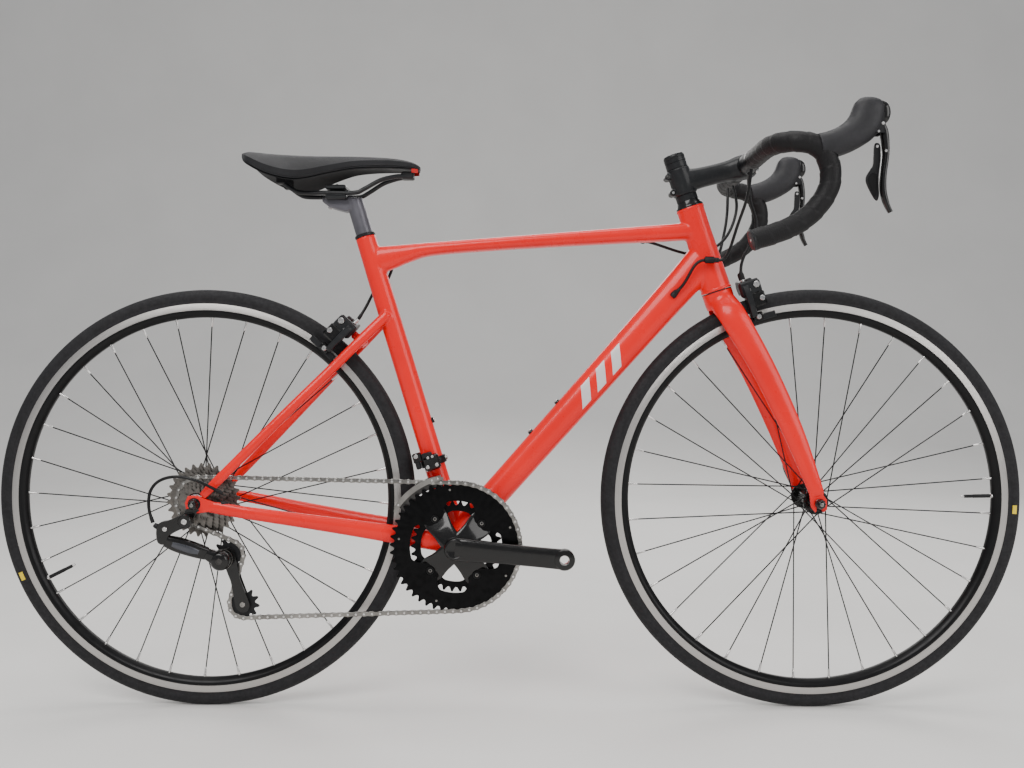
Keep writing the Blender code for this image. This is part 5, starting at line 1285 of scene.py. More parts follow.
def build_cranks():
    right = Shape()
    along, hub = crank_shells(right, -1)
    hub = [(0.0004, hub[0][1]), *hub[1:], (0.0136, 0.0701), (0.0120, 0.0693), (0.0004, 0.0693)]
    right.lathe(BB, -SIDE, hub, "gloss", 48)
    right.rod(BB - SIDE * 0.05, BB + SIDE * 0.0600, 0.0120, "silver", 32, 0.0005)
    middle = (BIG_RING_Y + SMALL_RING_Y) / 2
    half = 0.00185
    for degrees in (48, 132, 228, 312):
        turn = math.radians(degrees) + CRANK_SLOPE
        out = Vector((math.cos(turn), 0, math.sin(turn)))
        spots = [
            (0.004, -0.0585, 0.0050, 0.0180), (0.020, -0.0560, 0.0044, 0.0172),
            (0.034, -0.0522, 0.0036, 0.0176)
        ]
        spots += [
            (0.0440, -0.0476, 0.0026, 0.0196), (0.053, middle, half, 0.0205), (0.0600, middle, half, 0.0190),
            (0.0625, middle, half, 0.0150)
        ]
        points = [BB + out * reach + SIDE * y for reach, y, _, _ in spots]
        right.sweep(points, [(thick, wide) for _, _, thick, wide in spots], "gloss", 24, 3.0, per=4)
        seat = BB + out * 0.0550
        cap = [
            (0.0058, 0.0472), (0.0060, 0.0482), (0.0056, 0.0492), (0.0034, 0.0493), (0.0030, 0.0484),
            (0.0004, 0.0484)
        ]
        right.lathe(seat, -SIDE, [(0.0004, 0.0385), (0.0050, 0.0385), *cap], "anodised", 24)
        right.lathe(
            seat, -SIDE, [(0.0027, 0.0470), (0.0027, 0.0487), (0.0017, 0.0489), (0.0015, 0.0480)], "steel", 12
        )
    right.make("right_crank_arm", "cranks", "black_metal", "right_crank", BB)
    left = Shape()
    along, hub = crank_shells(left, 1)
    left.lathe(BB, SIDE, [*hub, (0.0128, 0.0698), (0.0124, 0.0612)], "gloss", 48, closed=True)
    cap = [
        (0.0004, 0.0616), (0.0122, 0.0616), (0.0122, 0.0690), (0.0110, 0.0700), (0.0060, 0.0700),
        (0.0050, 0.0680), (0.0004, 0.0680)
    ]
    left.lathe(BB, SIDE, cap, "plastic", 32)
    for number in (-1, 1):
        seat = BB + along * 0.0200 + SIDE * (0.0500 + number * 0.0052)
        left.bolt(seat + Vector((0, 0, -0.0140)), -UP, 0.0030, 0.0022, "silver")
    left.make("left_crank_arm", "cranks", "black_metal", "left_crank", BB)


def build_cassette():
    cogs = Shape()
    turn0 = valley_turn(REAR_AXLE, pitch_radius(COGS[CHAIN_COG]))
    for index, teeth in enumerate(COGS):
        y = FIRST_COG_Y + index * COG_PITCH
        near = 0.0185 if teeth < 17 else pitch_radius(teeth) - 0.0125
        step = 2 * math.pi / teeth
        own = turn0 if index == CHAIN_COG else turn0 + (index - CHAIN_COG) * step * 0.37
        near = min(near, 0.034)
        near = min(near, pitch_radius(teeth) - 0.0062)
        gear(cogs, teeth, own, REAR_AXLE, y, 0.0008, lambda turn, near=near: near, "cog", 0.0027)
        if index < len(COGS) - 1:
            wide = min(0.0170, near + 0.001)
            spacer = [
                (0.0135, y + 0.0008), (wide, y + 0.0008), (wide, y + COG_PITCH - 0.0008),
                (0.0135, y + COG_PITCH - 0.0008)
            ]
            cogs.lathe(REAR_AXLE, SIDE, spacer, "anodised", 32, closed=True)
    for index in (7, 9):
        y = FIRST_COG_Y + index * COG_PITCH
        for arm in range(5):
            turn = 2 * math.pi * arm / 5 + 0.3
            out = Vector((math.cos(turn), 0, math.sin(turn)))
            points = [REAR_AXLE + out * reach + SIDE * (y + 0.0006) for reach in (0.0150, 0.0260, 0.0350)]
            cogs.sweep(points, [(0.0009, 0.0060), (0.0009, 0.0042), (0.0009, 0.0050)], "anodised", 12, 3.0)
    core = [
        (0.0092, FIRST_COG_Y - 0.0006), (0.0140, FIRST_COG_Y - 0.0006), (0.0150, FIRST_COG_Y + 0.004),
        (0.0150, -0.0230), (0.0092, -0.0230)
    ]
    cogs.lathe(REAR_AXLE, SIDE, core, "dark_steel", 40, closed=True)
    lock = [
        (0.0092, FIRST_COG_Y - 0.0014), (0.0122, FIRST_COG_Y - 0.0014), (0.0132, FIRST_COG_Y - 0.0008),
        (0.0146, FIRST_COG_Y - 0.0008), (0.0092, FIRST_COG_Y + 0.0004)
    ]
    cogs.lathe(REAR_AXLE, SIDE, lock, "silver", 40, closed=True)
    cogs.make("cogs", "cassette", "steel", "cassette", REAR_AXLE)


def build_pulleys():
    for name, body, centre in (("guide", "guide_pulley", GUIDE), ("tension", "tension_pulley", TENSION)):
        wheel = Shape()
        turn0 = valley_turn(centre, pitch_radius(11))
        gear(wheel, 11, turn0, centre, centre.y, 0.0010, lambda turn: 0.0085, "plastic", 0.0030)
        wheel.lathe(
            centre, SIDE, [(0.0041, -0.0014), (0.0087, -0.0014), (0.0087, 0.0014), (0.0041, 0.0014)],
            "dark_steel", 28, closed=True
        )
        for number in range(5):
            turn = 2 * math.pi * number / 5 + 0.2
            out = Vector((math.cos(turn), 0, math.sin(turn)))
            wheel.lathe(centre + out * 0.0120, SIDE, [(0.0018, -0.0013), (0.0018, 0.0013)], "plastic", 12)
        wheel.make(f"{name}_pulley_wheel", body, "dark_plastic", f"{name}_pulley", centre)


def build_front_derailleur():
    base = BB + SEAT_UP * 0.140
    body = Shape()
    axes = (SEAT_FORWARD, SIDE, SEAT_UP)
    # Band round the seat tube, link housing, arm with the cable bolt
    band = [
        (0.0182, -0.0060), (0.0206, -0.0060), (0.0212, -0.0052), (0.0212, 0.0052), (0.0206, 0.0060),
        (0.0182, 0.0060)
    ]
    for i, (radius, height) in enumerate(band):
        band[i] = (radius, height)
    rings = []
    for radius, height in band:
        rings.append(
            oval(base - SEAT_UP * 0.004 + SEAT_UP * height, SIDE, SEAT_FORWARD, radius - 0.0018, radius, 40)
        )
    body.loft(rings, "anodised", closed=True)
    body.box(base - SIDE * 0.0225 - SEAT_UP * 0.002, axes, (0.0105, 0.0055, 0.0105), "gloss", 0.0022)
    body.box(base - SIDE * 0.0290 - SEAT_UP * 0.003, axes, (0.0130, 0.0058, 0.0125), "gloss", 0.0026)
    body.box(
        base - SIDE * 0.0300 + SEAT_UP * 0.0085 - SEAT_FORWARD * 0.004, axes, (0.0085, 0.0048, 0.0060),
        "satin", 0.0018
    )
    body.box(
        base - SIDE * 0.0290 - SEAT_FORWARD * 0.0195 + SEAT_UP * 0.010, axes, (0.0075, 0.0042, 0.0080),
        "gloss", 0.0020
    )
    body.box(
        base - SIDE * 0.0290 - SEAT_FORWARD * 0.0215 + SEAT_UP * 0.002, axes, (0.0040, 0.0036, 0.0100),
        "satin", 0.0014
    )
    for forward, up, radius in (
        (-0.021, 0.0130, 0.0036), (0.0075, -0.0085, 0.0030), (-0.0075, -0.0085, 0.0030),
        (0.0040, 0.0060, 0.0022), (-0.003, 0.0060, 0.0022)
    ):
        seat = base + SEAT_FORWARD * forward + SEAT_UP * up - SIDE * (0.0332 if radius > 0.0034 else 0.0346)
        body.bolt(seat, -SIDE, radius, 0.0018, "silver")
    body.bolt(
        base + SEAT_FORWARD * 0.0205 - SEAT_UP * 0.004 - SIDE * 0.002, SEAT_FORWARD, 0.0034, 0.0030, "steel"
    )
    body.make("front_derailleur_links", "frame", "black_metal", "front_derailleur_body")

    cage = Shape()
    ring = pitch_radius(50)
    high = ring + 0.0150

    def arc(inner, outer, start, end, drop=0.0):
        outline = []
        for turn in np.linspace(start, end, 22):
            share = (turn - start) / (end - start)
            near = inner + drop * math.sin(share * math.pi)
            outline.append(
                (BB.x + math.cos(math.radians(turn)) * near, BB.z + math.sin(math.radians(turn)) * near)
            )
        for turn in np.linspace(end, start, 22):
            share = (turn - start) / (end - start)
            bulge = outer - 0.0040 * abs(2 * share - 1) ** 6
            outline.append(
                (BB.x + math.cos(math.radians(turn)) * bulge, BB.z + math.sin(math.radians(turn)) * bulge)
            )
        return outline

    def bent(outline, y, what, flare=0.0):
        rings = []
        for offset in (-0.0007, 0.0007):
            ring_points = []
            for x, z in outline:
                reach = math.hypot(x - BB.x, z - BB.z)
                share = max(0.0, (reach - ring - 0.004) / 0.016)
                ring_points.append(Vector((x, y + offset + flare * share * share, z)))
            rings.append(ring_points)
        cage.loft(rings, what)

    bent(arc(ring + 0.0068, high, 100, 150), BIG_RING_Y - 0.0050, "steel")
    bent(arc(ring - 0.0060, high, 102, 146, 0.004), BIG_RING_Y + 0.0068, "dark_steel")
    for start, end in ((102, 112), (140, 147)):
        rings = []
        for turn in np.linspace(start, end, 6):
            angle = math.radians(turn)
            out = Vector((math.cos(angle), 0, math.sin(angle)))
            centre = BB + out * (high - 0.0014) + SIDE * (BIG_RING_Y + 0.0009)
            rings.append(oval(centre, SIDE, out, 0.0060, 0.0008, 12, 5.0))
        cage.loft(rings, "steel")
    for turn in (104.5, 109.5, 143.5):
        angle = math.radians(turn)
        out = Vector((math.cos(angle), 0, math.sin(angle)))
        cage.lathe(
            BB + out * (high - 0.0045) + SIDE * (BIG_RING_Y - 0.0056), -SIDE,
            [(0.0016, 0.0), (0.0014, 0.0006), (0.0006, 0.0009)], "silver", 12
        )
    cage.make("front_cage_plates", "front_cage", "steel", "front_derailleur_cage")


def build_rear_derailleur():
    bolt_y = -REAR_OUT - 0.0010
    hanger = REAR_AXLE + Vector((-0.0105, 0, -0.0245))
    top0 = REAR_AXLE + Vector((-0.0420, 0, -0.0510))
    low0 = REAR_AXLE + Vector((0.0150, 0, -0.0775))
    pivot = REAR_AXLE + Vector((0.0370, 0, -0.0895))
    face = CHAIN_Y - 0.0078
    knuckle = Shape()
    a, b = hanger, top0
    outline = [(a.x + 0.010, a.z - 0.002), (a.x + 0.006, a.z + 0.009), (a.x - 0.006, a.z + 0.0095)]
    outline += [
        (b.x + 0.006, b.z + 0.028), (b.x - 0.006, b.z + 0.025), (b.x - 0.012, b.z + 0.016),
        (b.x - 0.0105, b.z - 0.005)
    ]
    outline += [
        (b.x + 0.001, b.z - 0.009), (b.x + 0.007, b.z + 0.004), (a.x - 0.004, a.z - 0.0115),
        (a.x + 0.006, a.z - 0.0105)
    ]
    knuckle.plate(outline, bolt_y - 0.0140, bolt_y, "gloss", 0.0016, per=5)
    knuckle.lathe(
        a, -SIDE,
        [
            (0.0004, -bolt_y - 0.007), (0.0043, -bolt_y - 0.007), (0.0043, -bolt_y), (0.0100, -bolt_y),
            (0.0100, -bolt_y + 0.0140), (0.0090, -bolt_y + 0.0150), (0.0004, -bolt_y + 0.0150)
        ],
        "gloss", 36
    )
    knuckle.bolt(a + SIDE * (bolt_y - 0.0148), -SIDE, 0.0044, 0.0018, "silver", 0.55)
    knuckle.bolt(Vector((b.x + 0.0015, bolt_y - 0.0140, b.z + 0.0150)), -SIDE, 0.0036, 0.0016, "silver", 0.5)
    middle = top0 + SIDE * (bolt_y - 0.008)
    start, end = middle + Vector((-0.017, 0, 0.021)), middle + Vector((-0.004, 0, 0.013))
    knuckle.lathe(
        end, start - end,
        [
            (0.0040, 0.0), (0.0042, 0.004), (0.0036, 0.0055), (0.0041, 0.0065), (0.0041, 0.0125),
            (0.0032, 0.0150)
        ],
        "plastic", 24
    )
    knuckle.make("rear_b_knuckle", "b_knuckle", "black_metal", "rd_b_knuckle")

    link = Shape()
    top = top0 + SIDE * (bolt_y - 0.0080)
    low = low0 + SIDE * (CHAIN_Y - 0.0245)
    along = (low - top).normalized()
    start = top + Vector((0.0010, 0.000, -0.0040))
    end = low + along * 0.0020
    points = [start, start.lerp(end, 0.2), start.lerp(end, 0.45), start.lerp(end, 0.75), end]
    link.sweep(
        points, [(0.0062, 0.0090), (0.0078, 0.0112), (0.0082, 0.0120), (0.0078, 0.0114), (0.0066, 0.0100)],
        "gloss", 28, 3.0, per=5
    )
    outward = (-SIDE + along * SIDE.dot(along)).normalized()
    # A grey metal strip along the link's outer face: painted highlight on the black link
    highlight_spots = [start.lerp(end, share) + outward * 0.0062 for share in (0.16, 0.3, 0.5, 0.66, 0.80)]
    halves = [(0.0020, 0.0040), (0.0028, 0.0056), (0.0032, 0.0060), (0.0030, 0.0056), (0.0020, 0.0040)]
    link.sweep(highlight_spots, halves, "link", 20, 2.4, per=4)
    upward = along.cross(outward)
    for spot in (start.lerp(end, 0.06), start.lerp(end, 0.95)):
        link.rod(spot - upward * 0.0088, spot + upward * 0.0088, 0.0030, "silver", 16, 0.0004)
    link.bolt(start.lerp(end, 0.5) - upward * 0.0098 + outward * 0.001, -upward, 0.0032, 0.0020, "silver")
    link.make("rear_link_body", "link", "steel", "rd_link")

    p_knuckle = Shape()
    body = [
        (0.0004, -face + 0.0240), (0.0100, -face + 0.0240), (0.0118, -face + 0.0232),
        (0.0150, -face + 0.0190), (0.0158, -face + 0.0160), (0.0160, -face + 0.002), (0.0154, -face),
        (0.0004, -face)
    ]
    p_knuckle.lathe(pivot, -SIDE, body[::-1], "gloss", 48)
    ring = [
        (0.0156, -face + 0.0035), (0.0162, -face + 0.0035), (0.0162, -face + 0.0050), (0.0156, -face + 0.0050)
    ]
    p_knuckle.lathe(pivot, -SIDE, ring, "steel", 48, closed=True)
    p_knuckle.bolt(pivot + SIDE * (face - 0.0238), -SIDE, 0.0050, 0.0012, "dark_steel", 0.6)
    p_start = low + along * 0.0010
    p_end = pivot + SIDE * (face - 0.012)
    p_knuckle.sweep(
        [p_start, p_start.lerp(p_end, 0.5), p_end], [(0.0078, 0.0083), (0.0088, 0.0106), (0.0090, 0.0120)],
        "gloss", 28, 3.0, per=5
    )
    p_knuckle.make("rear_p_knuckle", "p_knuckle", "black_metal", "rd_p_knuckle")

    cage = Shape()
    axis = (TENSION - GUIDE).normalized()
    across = axis.cross(SIDE)

    def plate(y, half, grow, waist, look_name):
        shape = []
        for centre, begin in ((GUIDE, 90), (TENSION, -90)):
            for turn in range(begin, begin + 181, 15):
                angle = math.radians(turn)
                spot = centre + axis * math.cos(angle) * (
                    0.0128 + grow
                ) + across * math.sin(angle) * (0.0113 + grow)
                shape.append((spot.x, spot.z))
            if begin == 90:
                spot = GUIDE.lerp(TENSION, 0.5) - across * waist
            else:
                spot = GUIDE.lerp(TENSION, 0.5) + across * waist
            shape.append((spot.x, spot.z))
        cage.plate(shape, y - half, y + half, look_name, 0.0003)

    plate(CHAIN_Y - 0.0060, 0.0009, 0.0, 0.0075, "gloss")
    plate(CHAIN_Y + 0.0050, 0.0008, -0.001, 0.0070, "anodised")
    for centre in (GUIDE, TENSION):
        cage.rod(centre - SIDE * 0.0066, centre + SIDE * 0.0056, 0.0034, "steel", 20, 0.0004)
        cage.bolt(centre - SIDE * 0.0066, -SIDE, 0.0042, 0.0016, "steel", 0.5)
    cage.make("rear_cage_plates", "rear_cage", "black_metal", "rd_cage")


# Brakes


def build_brakes():
    along, up = stay_axes()
    rear_bolt = REAR_AXLE + along * (TRACK_RADIUS + BRAKE_BOLT_REACH)
    front_bolt = head_at(FRONT_BOLT_HEIGHT)
    sets = (("rear", rear_bolt, along, up, 0.0193), ("front", front_bolt, HEAD_UP, HEAD_FORWARD, 0.0330))
    outline = [
        (-0.0155, 0.009), (-0.009, 0.0165), (0.002, 0.0170), (0.014, 0.0155), (0.026, 0.0115), (0.0335, 0.003)
    ]
    outline += [(0.0368, -0.010), (0.0372, -0.024), (0.0345, -0.036), (0.0318, -0.0440), (0.0240, -0.0440)]
    outline += [
        (0.0252, -0.033), (0.0266, -0.022), (0.0252, -0.0115), (0.0190, -0.0065), (0.006, -0.0050),
        (-0.008, -0.0060), (-0.0140, -0.002)
    ]
    fine = rounded(outline, 4)
    for name, bolt, rise, out, start in sets:
        for side, word in ((-1, "right"), (1, "left")):
            arm = Shape()
            thick = 0.0125
            layer = start if side < 0 else start + thick + 0.0003
            middle = start + thick

            def ring(offset, inset, bolt=bolt, rise=rise, out=out, side=side):
                share = 1 - inset / 0.025
                return [
                    bolt + SIDE * side * ((a - 0.012) * share + 0.012) + rise * (b * share) + out * offset
                    for a, b in fine
                ]

            arm.slab(ring, layer + 0.0012, layer + thick - 0.0012, "satin", 0.0013)
            if side < 0:
                # The cable arm's thick root, with its clamp bolt and the release cam
                root = bolt - SIDE * 0.0250 + rise * 0.0010 + out * (middle + 0.0010)
                arm.box(root, (SIDE, rise, out), (0.0060, 0.0125, 0.0170), "satin", 0.0030)
                arm.bolt(
                    root - SIDE * 0.0060 + out * 0.0100 + rise * 0.0030, -SIDE, 0.0050, 0.0024, "silver", 0.5
                )
                arm.bolt(
                    root - SIDE * 0.0060 - out * 0.0080 - rise * 0.0040, -SIDE, 0.0030, 0.0014, "silver", 0.5
                )
                low = root - SIDE * 0.0040 - rise * 0.0200 + out * 0.0070
                arm.box(low, (SIDE, rise, out), (0.0040, 0.0120, 0.0110), "gloss", 0.0026)
                arm.bolt(low - SIDE * 0.0040 + out * 0.0050, -SIDE, 0.0042, 0.0022, "silver", 0.5)
            axes = (SIDE, rise, out)
            pad = bolt + SIDE * side * (RIM_HALF + 0.0045) - rise * BRAKE_BOLT_REACH + out * (middle + 0.004)
            arm.box(pad - SIDE * side * 0.0011, axes, (0.0026, 0.0046, 0.0245), "pad", 0.0010)
            arm.box(pad + SIDE * side * 0.0030, axes, (0.0018, 0.0050, 0.0250), "satin", 0.0010)
            post = bolt + SIDE * side * (RIM_HALF + 0.0130) - rise * 0.045 + out * middle
            arm.box(post - SIDE * side * 0.0018, axes, (0.0044, 0.0062, 0.0085), "gloss", 0.0018)
            arm.bolt(post + SIDE * side * 0.0026 + rise * -0.001, SIDE * side, 0.0040, 0.0034, "silver", 0.5)
            if side < 0:
                # Barrel adjuster on the arm's top, towards the cable
                seat = bolt - SIDE * 0.0150 + rise * 0.0130 + out * (middle - 0.0045)
                arm.rod(seat, seat + rise * 0.0100, 0.0030, "silver", 16)
                if name == "front":
                    arm.lathe(
                        seat, rise,
                        [(0.0048, 0.004), (0.0052, 0.006), (0.0052, 0.013), (0.0044, 0.015), (0.0030, 0.016)],
                        "plastic", 16
                    )
                spot = bolt + SIDE * -0.030 + rise * -0.002 + out * (layer + thick - 0.0012)
                arm.bolt(spot, out, 0.0030, 0.0010, "silver", 0.5)
            else:
                spot = bolt + rise * 0.0025 + out * (layer + thick - 0.0012)
                arm.lathe(spot, out, [(0.0076, -0.0004), (0.0074, 0.0006), (0.0004, 0.0006)], "satin", 28)
                arm.bolt(spot + out * 0.0005, out, 0.0050, 0.0006, "silver", 0.5)
                spot = bolt + SIDE * 0.0265 + rise * 0.0045 + out * (layer + thick - 0.0012)
                arm.bolt(spot, out, 0.0034, 0.0010, "silver", 0.5)
            body = f"{name}_{word}_arm"
            arm.make(
                f"{name}_{word}_calliper", body, "black_metal", f"{name}_brake_{word}_arm", bolt + out * layer
            )


# Cockpit


def bar_path():
    """The right half of the bar, from its centre to its end."""
    half = BAR_HALF
    spots = [
        (0, 0, 0), (0, -0.024, 0), (0, -0.046, 0), (0, -(half - 0.068), 0), (0.0030, -(half - 0.040), -0.0005)
    ]
    spots += [
        (0.0120, -(half - 0.016), -0.0015), (0.0270, -(half - 0.003), -0.0030), (0.0420, -half, -0.0055)
    ]
    spots += [
        (0.0560, -half, -0.0110), (0.0670, -half, -0.0230), (0.0735, -half, -0.0450), (0.0715, -half, -0.0670)
    ]
    spots += [(0.0610, -half, -0.0870), (0.0450, -half, -0.1050), (0.0250, -(half + 0.002), -0.1190)]
    spots += [(-0.0030, -(half + 0.004), -0.1310), (-0.0350, -(half + 0.005), -0.1410)]
    return [BAR + Vector(spot) for spot in spots]


def build_head_parts():
    inner, low = 0.0146, HEAD_LENGTH + 0.0003
    neck = low + 0.011
    cover = Shape()
    cone = [
        (inner, low), (0.0214, low), (0.0217, low + 0.0006), (0.0216, low + 0.0022), (0.0204, low + 0.0040)
    ]
    cone += [(0.0184, neck - 0.0026), (0.0174, neck), (inner, neck)]
    cover.lathe(HEAD_LOW, HEAD_UP, cone, "gloss", 56, closed=True)

    def spacer(shape, base, height, radius=0.0171):
        ring = [
            (inner, base), (radius - 0.0004, base), (radius, base + 0.0004), (radius, base + height - 0.0004),
            (radius - 0.0004, base + height), (inner, base + height)
        ]
        shape.lathe(HEAD_LOW, HEAD_UP, ring, "satin", 48, closed=True)

    spacer(cover, neck + 0.0001, STEM_LOW - 0.0003 - neck - 0.0001)
    cover.make("headset_cone", "steering", "black_metal", "headset_cover")
    cap = Shape()
    low = STEM_HIGH + 0.0003
    spacer(cap, low, 0.0098)
    spacer(cap, low + 0.0100, 0.0070)
    top = [
        (inner, low + 0.0171), (0.0168, low + 0.0171), (0.0171, low + 0.0176), (0.0170, low + 0.0206),
        (0.0158, low + 0.0228)
    ]
    top += [
        (0.0130, low + 0.0238), (0.0060, low + 0.0238), (0.0052, low + 0.0228), (0.0004, low + 0.0228),
        (0.0004, low + 0.0178), (inner, low + 0.0178)
    ]
    cap.lathe(HEAD_LOW, HEAD_UP, top, "satin", 48, closed=True)
    cap.bolt(head_at(low + 0.0226), HEAD_UP, 0.0042, 0.0008, "silver", 0.5)
    cap.make("steerer_cap", "steering", "black_metal", "top_cap")


def build_stem():
    skin = Shape()
    skin.lathe(
        HEAD_LOW, HEAD_UP,
        [(0.0178, STEM_LOW), (0.0186, STEM_LOW + 0.0012), (0.0186, STEM_HIGH - 0.0012), (0.0178, STEM_HIGH)],
        "satin", 48
    )
    spots = [0.0, 0.016, 0.034, 0.060, STEM_LENGTH - 0.026, STEM_LENGTH - 0.012, STEM_LENGTH - 0.0005]
    halves = [
        (0.0165, 0.0185), (0.0160, 0.0176), (0.0152, 0.0160), (0.0152, 0.0156), (0.0168, 0.0166),
        (0.0215, 0.0192), (0.0225, 0.0196)
    ]
    skin.sweep([BAR_BASE + STEM_ALONG * spot for spot in spots], halves, "satin", 40, 2.7, per=6)
    for height in (0.0085, 0.0345):
        centre = head_at(STEM_LOW + height) - HEAD_FORWARD * 0.0200
        skin.rod(centre - SIDE * 0.0110, centre + SIDE * 0.0110, 0.0053, "satin")
    cuts = [Shape().rod(head_at(STEM_LOW - 0.03), head_at(STEM_HIGH + 0.03), 0.0145, "satin", 48)]
    cuts.append(Shape().rod(BAR - SIDE * 0.06, BAR + SIDE * 0.06, 0.0161, "satin", 56))
    slit = head_at(STEM_LOW + STEM_CLAMP / 2) - HEAD_FORWARD * 0.024
    cuts.append(Shape().box(slit, (HEAD_FORWARD, HEAD_UP, SIDE), (0.0110, 0.03, 0.0009), "satin", 0.0002))
    mesh = fused(skin, 0.0011, 4, cuts)
    parts = Shape()
    for height, side in ((0.0085, -1), (0.0345, 1)):
        for end in (-1, 1):
            centre = head_at(STEM_LOW + height) - HEAD_FORWARD * 0.0200 + SIDE * end * 0.0108
            if end == side:
                parts.bolt(centre, SIDE * end, 0.0040, 0.0022, "gloss", 0.55)
                parts.lathe(
                    centre, SIDE * end, [(0.0022, 0.0), (0.0021, 0.0012), (0.0006, 0.0012)], "silver", 16
                )
            else:
                parts.lathe(
                    centre, SIDE * end, [(0.0030, 0.0), (0.0030, 0.0008), (0.0022, 0.0010)], "dark_steel", 16
                )
    with_skin(parts, mesh, "satin", "stem_body", "steering", "black_metal", "stem")

    plate = Shape()
    spots = [0.0010, 0.004, 0.008, 0.0130, 0.0168, 0.0176]
    halves = [
        (0.0222, 0.0198), (0.0222, 0.0199), (0.0218, 0.0192), (0.0208, 0.0166), (0.0196, 0.0130),
        (0.0186, 0.0118)
    ]
    plate.sweep([BAR + STEM_ALONG * spot for spot in spots], halves, "satin", 40, 2.9, per=4)
    cuts = [Shape().rod(BAR - SIDE * 0.06, BAR + SIDE * 0.06, 0.0161, "satin", 56)]
    cuts.append(
        Shape().box(
            BAR + STEM_ALONG * 0.016, (STEM_ALONG, STEM_UP, SIDE), (0.010, 0.0075, 0.0090), "satin", 0.0014
        )
    )
    mesh = fused(plate, 0.0009, 3, cuts)
    parts = Shape()
    for side in (-1, 1):
        for rise in (-1, 1):
            seat = BAR + STEM_ALONG * 0.0118 + SIDE * side * 0.0150 + STEM_UP * rise * 0.0122
            parts.bolt(seat, STEM_ALONG, 0.0035, 0.0036, "silver", 0.5)
    with_skin(parts, mesh, "satin", "bar_clamp_plate", "steering", "black_metal", "stem_faceplate")


def build_bar():
    right = bar_path()
    whole = mirrored(right)[::-1] + right[1:]
    path = smooth_path(whole, 8)
    bar = Shape()
    rings = []
    for point, (normal, other) in zip(path, turning_frames(path)):
        out = abs(point.y)
        grow = 1 - min(max((out - 0.030) / 0.022, 0), 1)
        radius = BAR_RADIUS + (0.0159 - BAR_RADIUS) * grow * grow * (3 - 2 * grow)
        rings.append(oval(point, normal, other, radius, radius, 28))
    bar.loft(rings, "satin")
    bar.make("handlebar_tube", "steering", "black_metal", "handlebar")


def build_tape(side):
    name = "right" if side < 0 else "left"
    points = bar_path()[2:]
    points[0] = points[0] + (points[1] - points[0]) * 0.15
    points[-1] = points[-1] + (points[-2] - points[-1]).normalized() * 0.0005
    if side > 0:
        points = mirrored(points)
    path = smooth_path(points, 34)
    count = 28
    rings = []
    run = 0.0
    wrap = 0.0235
    for number, (point, (normal, other)) in enumerate(zip(path, turning_frames(path))):
        if number:
            run += (point - path[number - 1]).length
        ring = []
        for i in range(count):
            turn = 2 * math.pi * i / count
            phase = (run / wrap + i / count * side) % 1.0
            # Each wrap laps over the last: a soft rise, then a small step down
            lap = 0.0009 * (1 - phase) if phase < 0.86 else 0.0009 * (0.14 + 6.14 * (phase - 0.86))
            radius = TAPE_RADIUS - 0.0011 + lap
            ring.append(point + (normal * math.cos(turn) + other * math.sin(turn)) * radius)
        rings.append(ring)
    tape = Shape()
    inner = []
    frames = turning_frames(path)
    for point, (normal, other) in zip(path[::6] + [path[-1]], frames[::6] + [frames[-1]]):
        inner.append(
            [
                point + (
                    normal * math.cos(2 * math.pi * i / count) + other * math.sin(2 * math.pi * i / count)
                ) * (BAR_RADIUS + 0.0004)
                for i in range(count)
            ]
        )
    tape.loft(rings + inner[::-1], "tape", closed=True)
    length = run
    around = 2 * math.pi * TAPE_RADIUS
    rows = len(rings) + len(inner)
    tape.uvs = [[(u * around / 0.0955, v * rows / len(rings) * length) for u, v in face] for face in tape.uvs]
    # Finishing tape by the clamp
    start, along = path[0], (path[6] - path[0]).normalized()
    band = [
        (BAR_RADIUS + 0.0003, -0.006), (BAR_RADIUS + 0.0007, -0.006), (TAPE_RADIUS - 0.0004, 0.001),
        (TAPE_RADIUS - 0.0002, 0.010), (BAR_RADIUS + 0.0003, 0.010)
    ]
    tape.lathe(start, along, band, "housing", 32, closed=True)
    # End plug
    end, back = path[-1], (path[-1] - path[-8]).normalized()
    plug = [
        (0.0100, -0.004), (TAPE_RADIUS - 0.0002, 0.0), (TAPE_RADIUS, 0.0010), (TAPE_RADIUS - 0.0012, 0.0030),
        (0.0080, 0.0040)
    ]
    plug += [(0.0034, 0.0040), (0.0030, 0.0034), (0.0006, 0.0034)]
    tape.lathe(end, back, plug, "satin", 32)
    tape.lathe(end + back * 0.0033, back, [(0.0028, 0.0), (0.0026, 0.0005), (0.0006, 0.0006)], "silver", 16)
    tape.make(f"{name}_tape_wrap", "steering", "bar_tape", f"{name}_bar_tape")


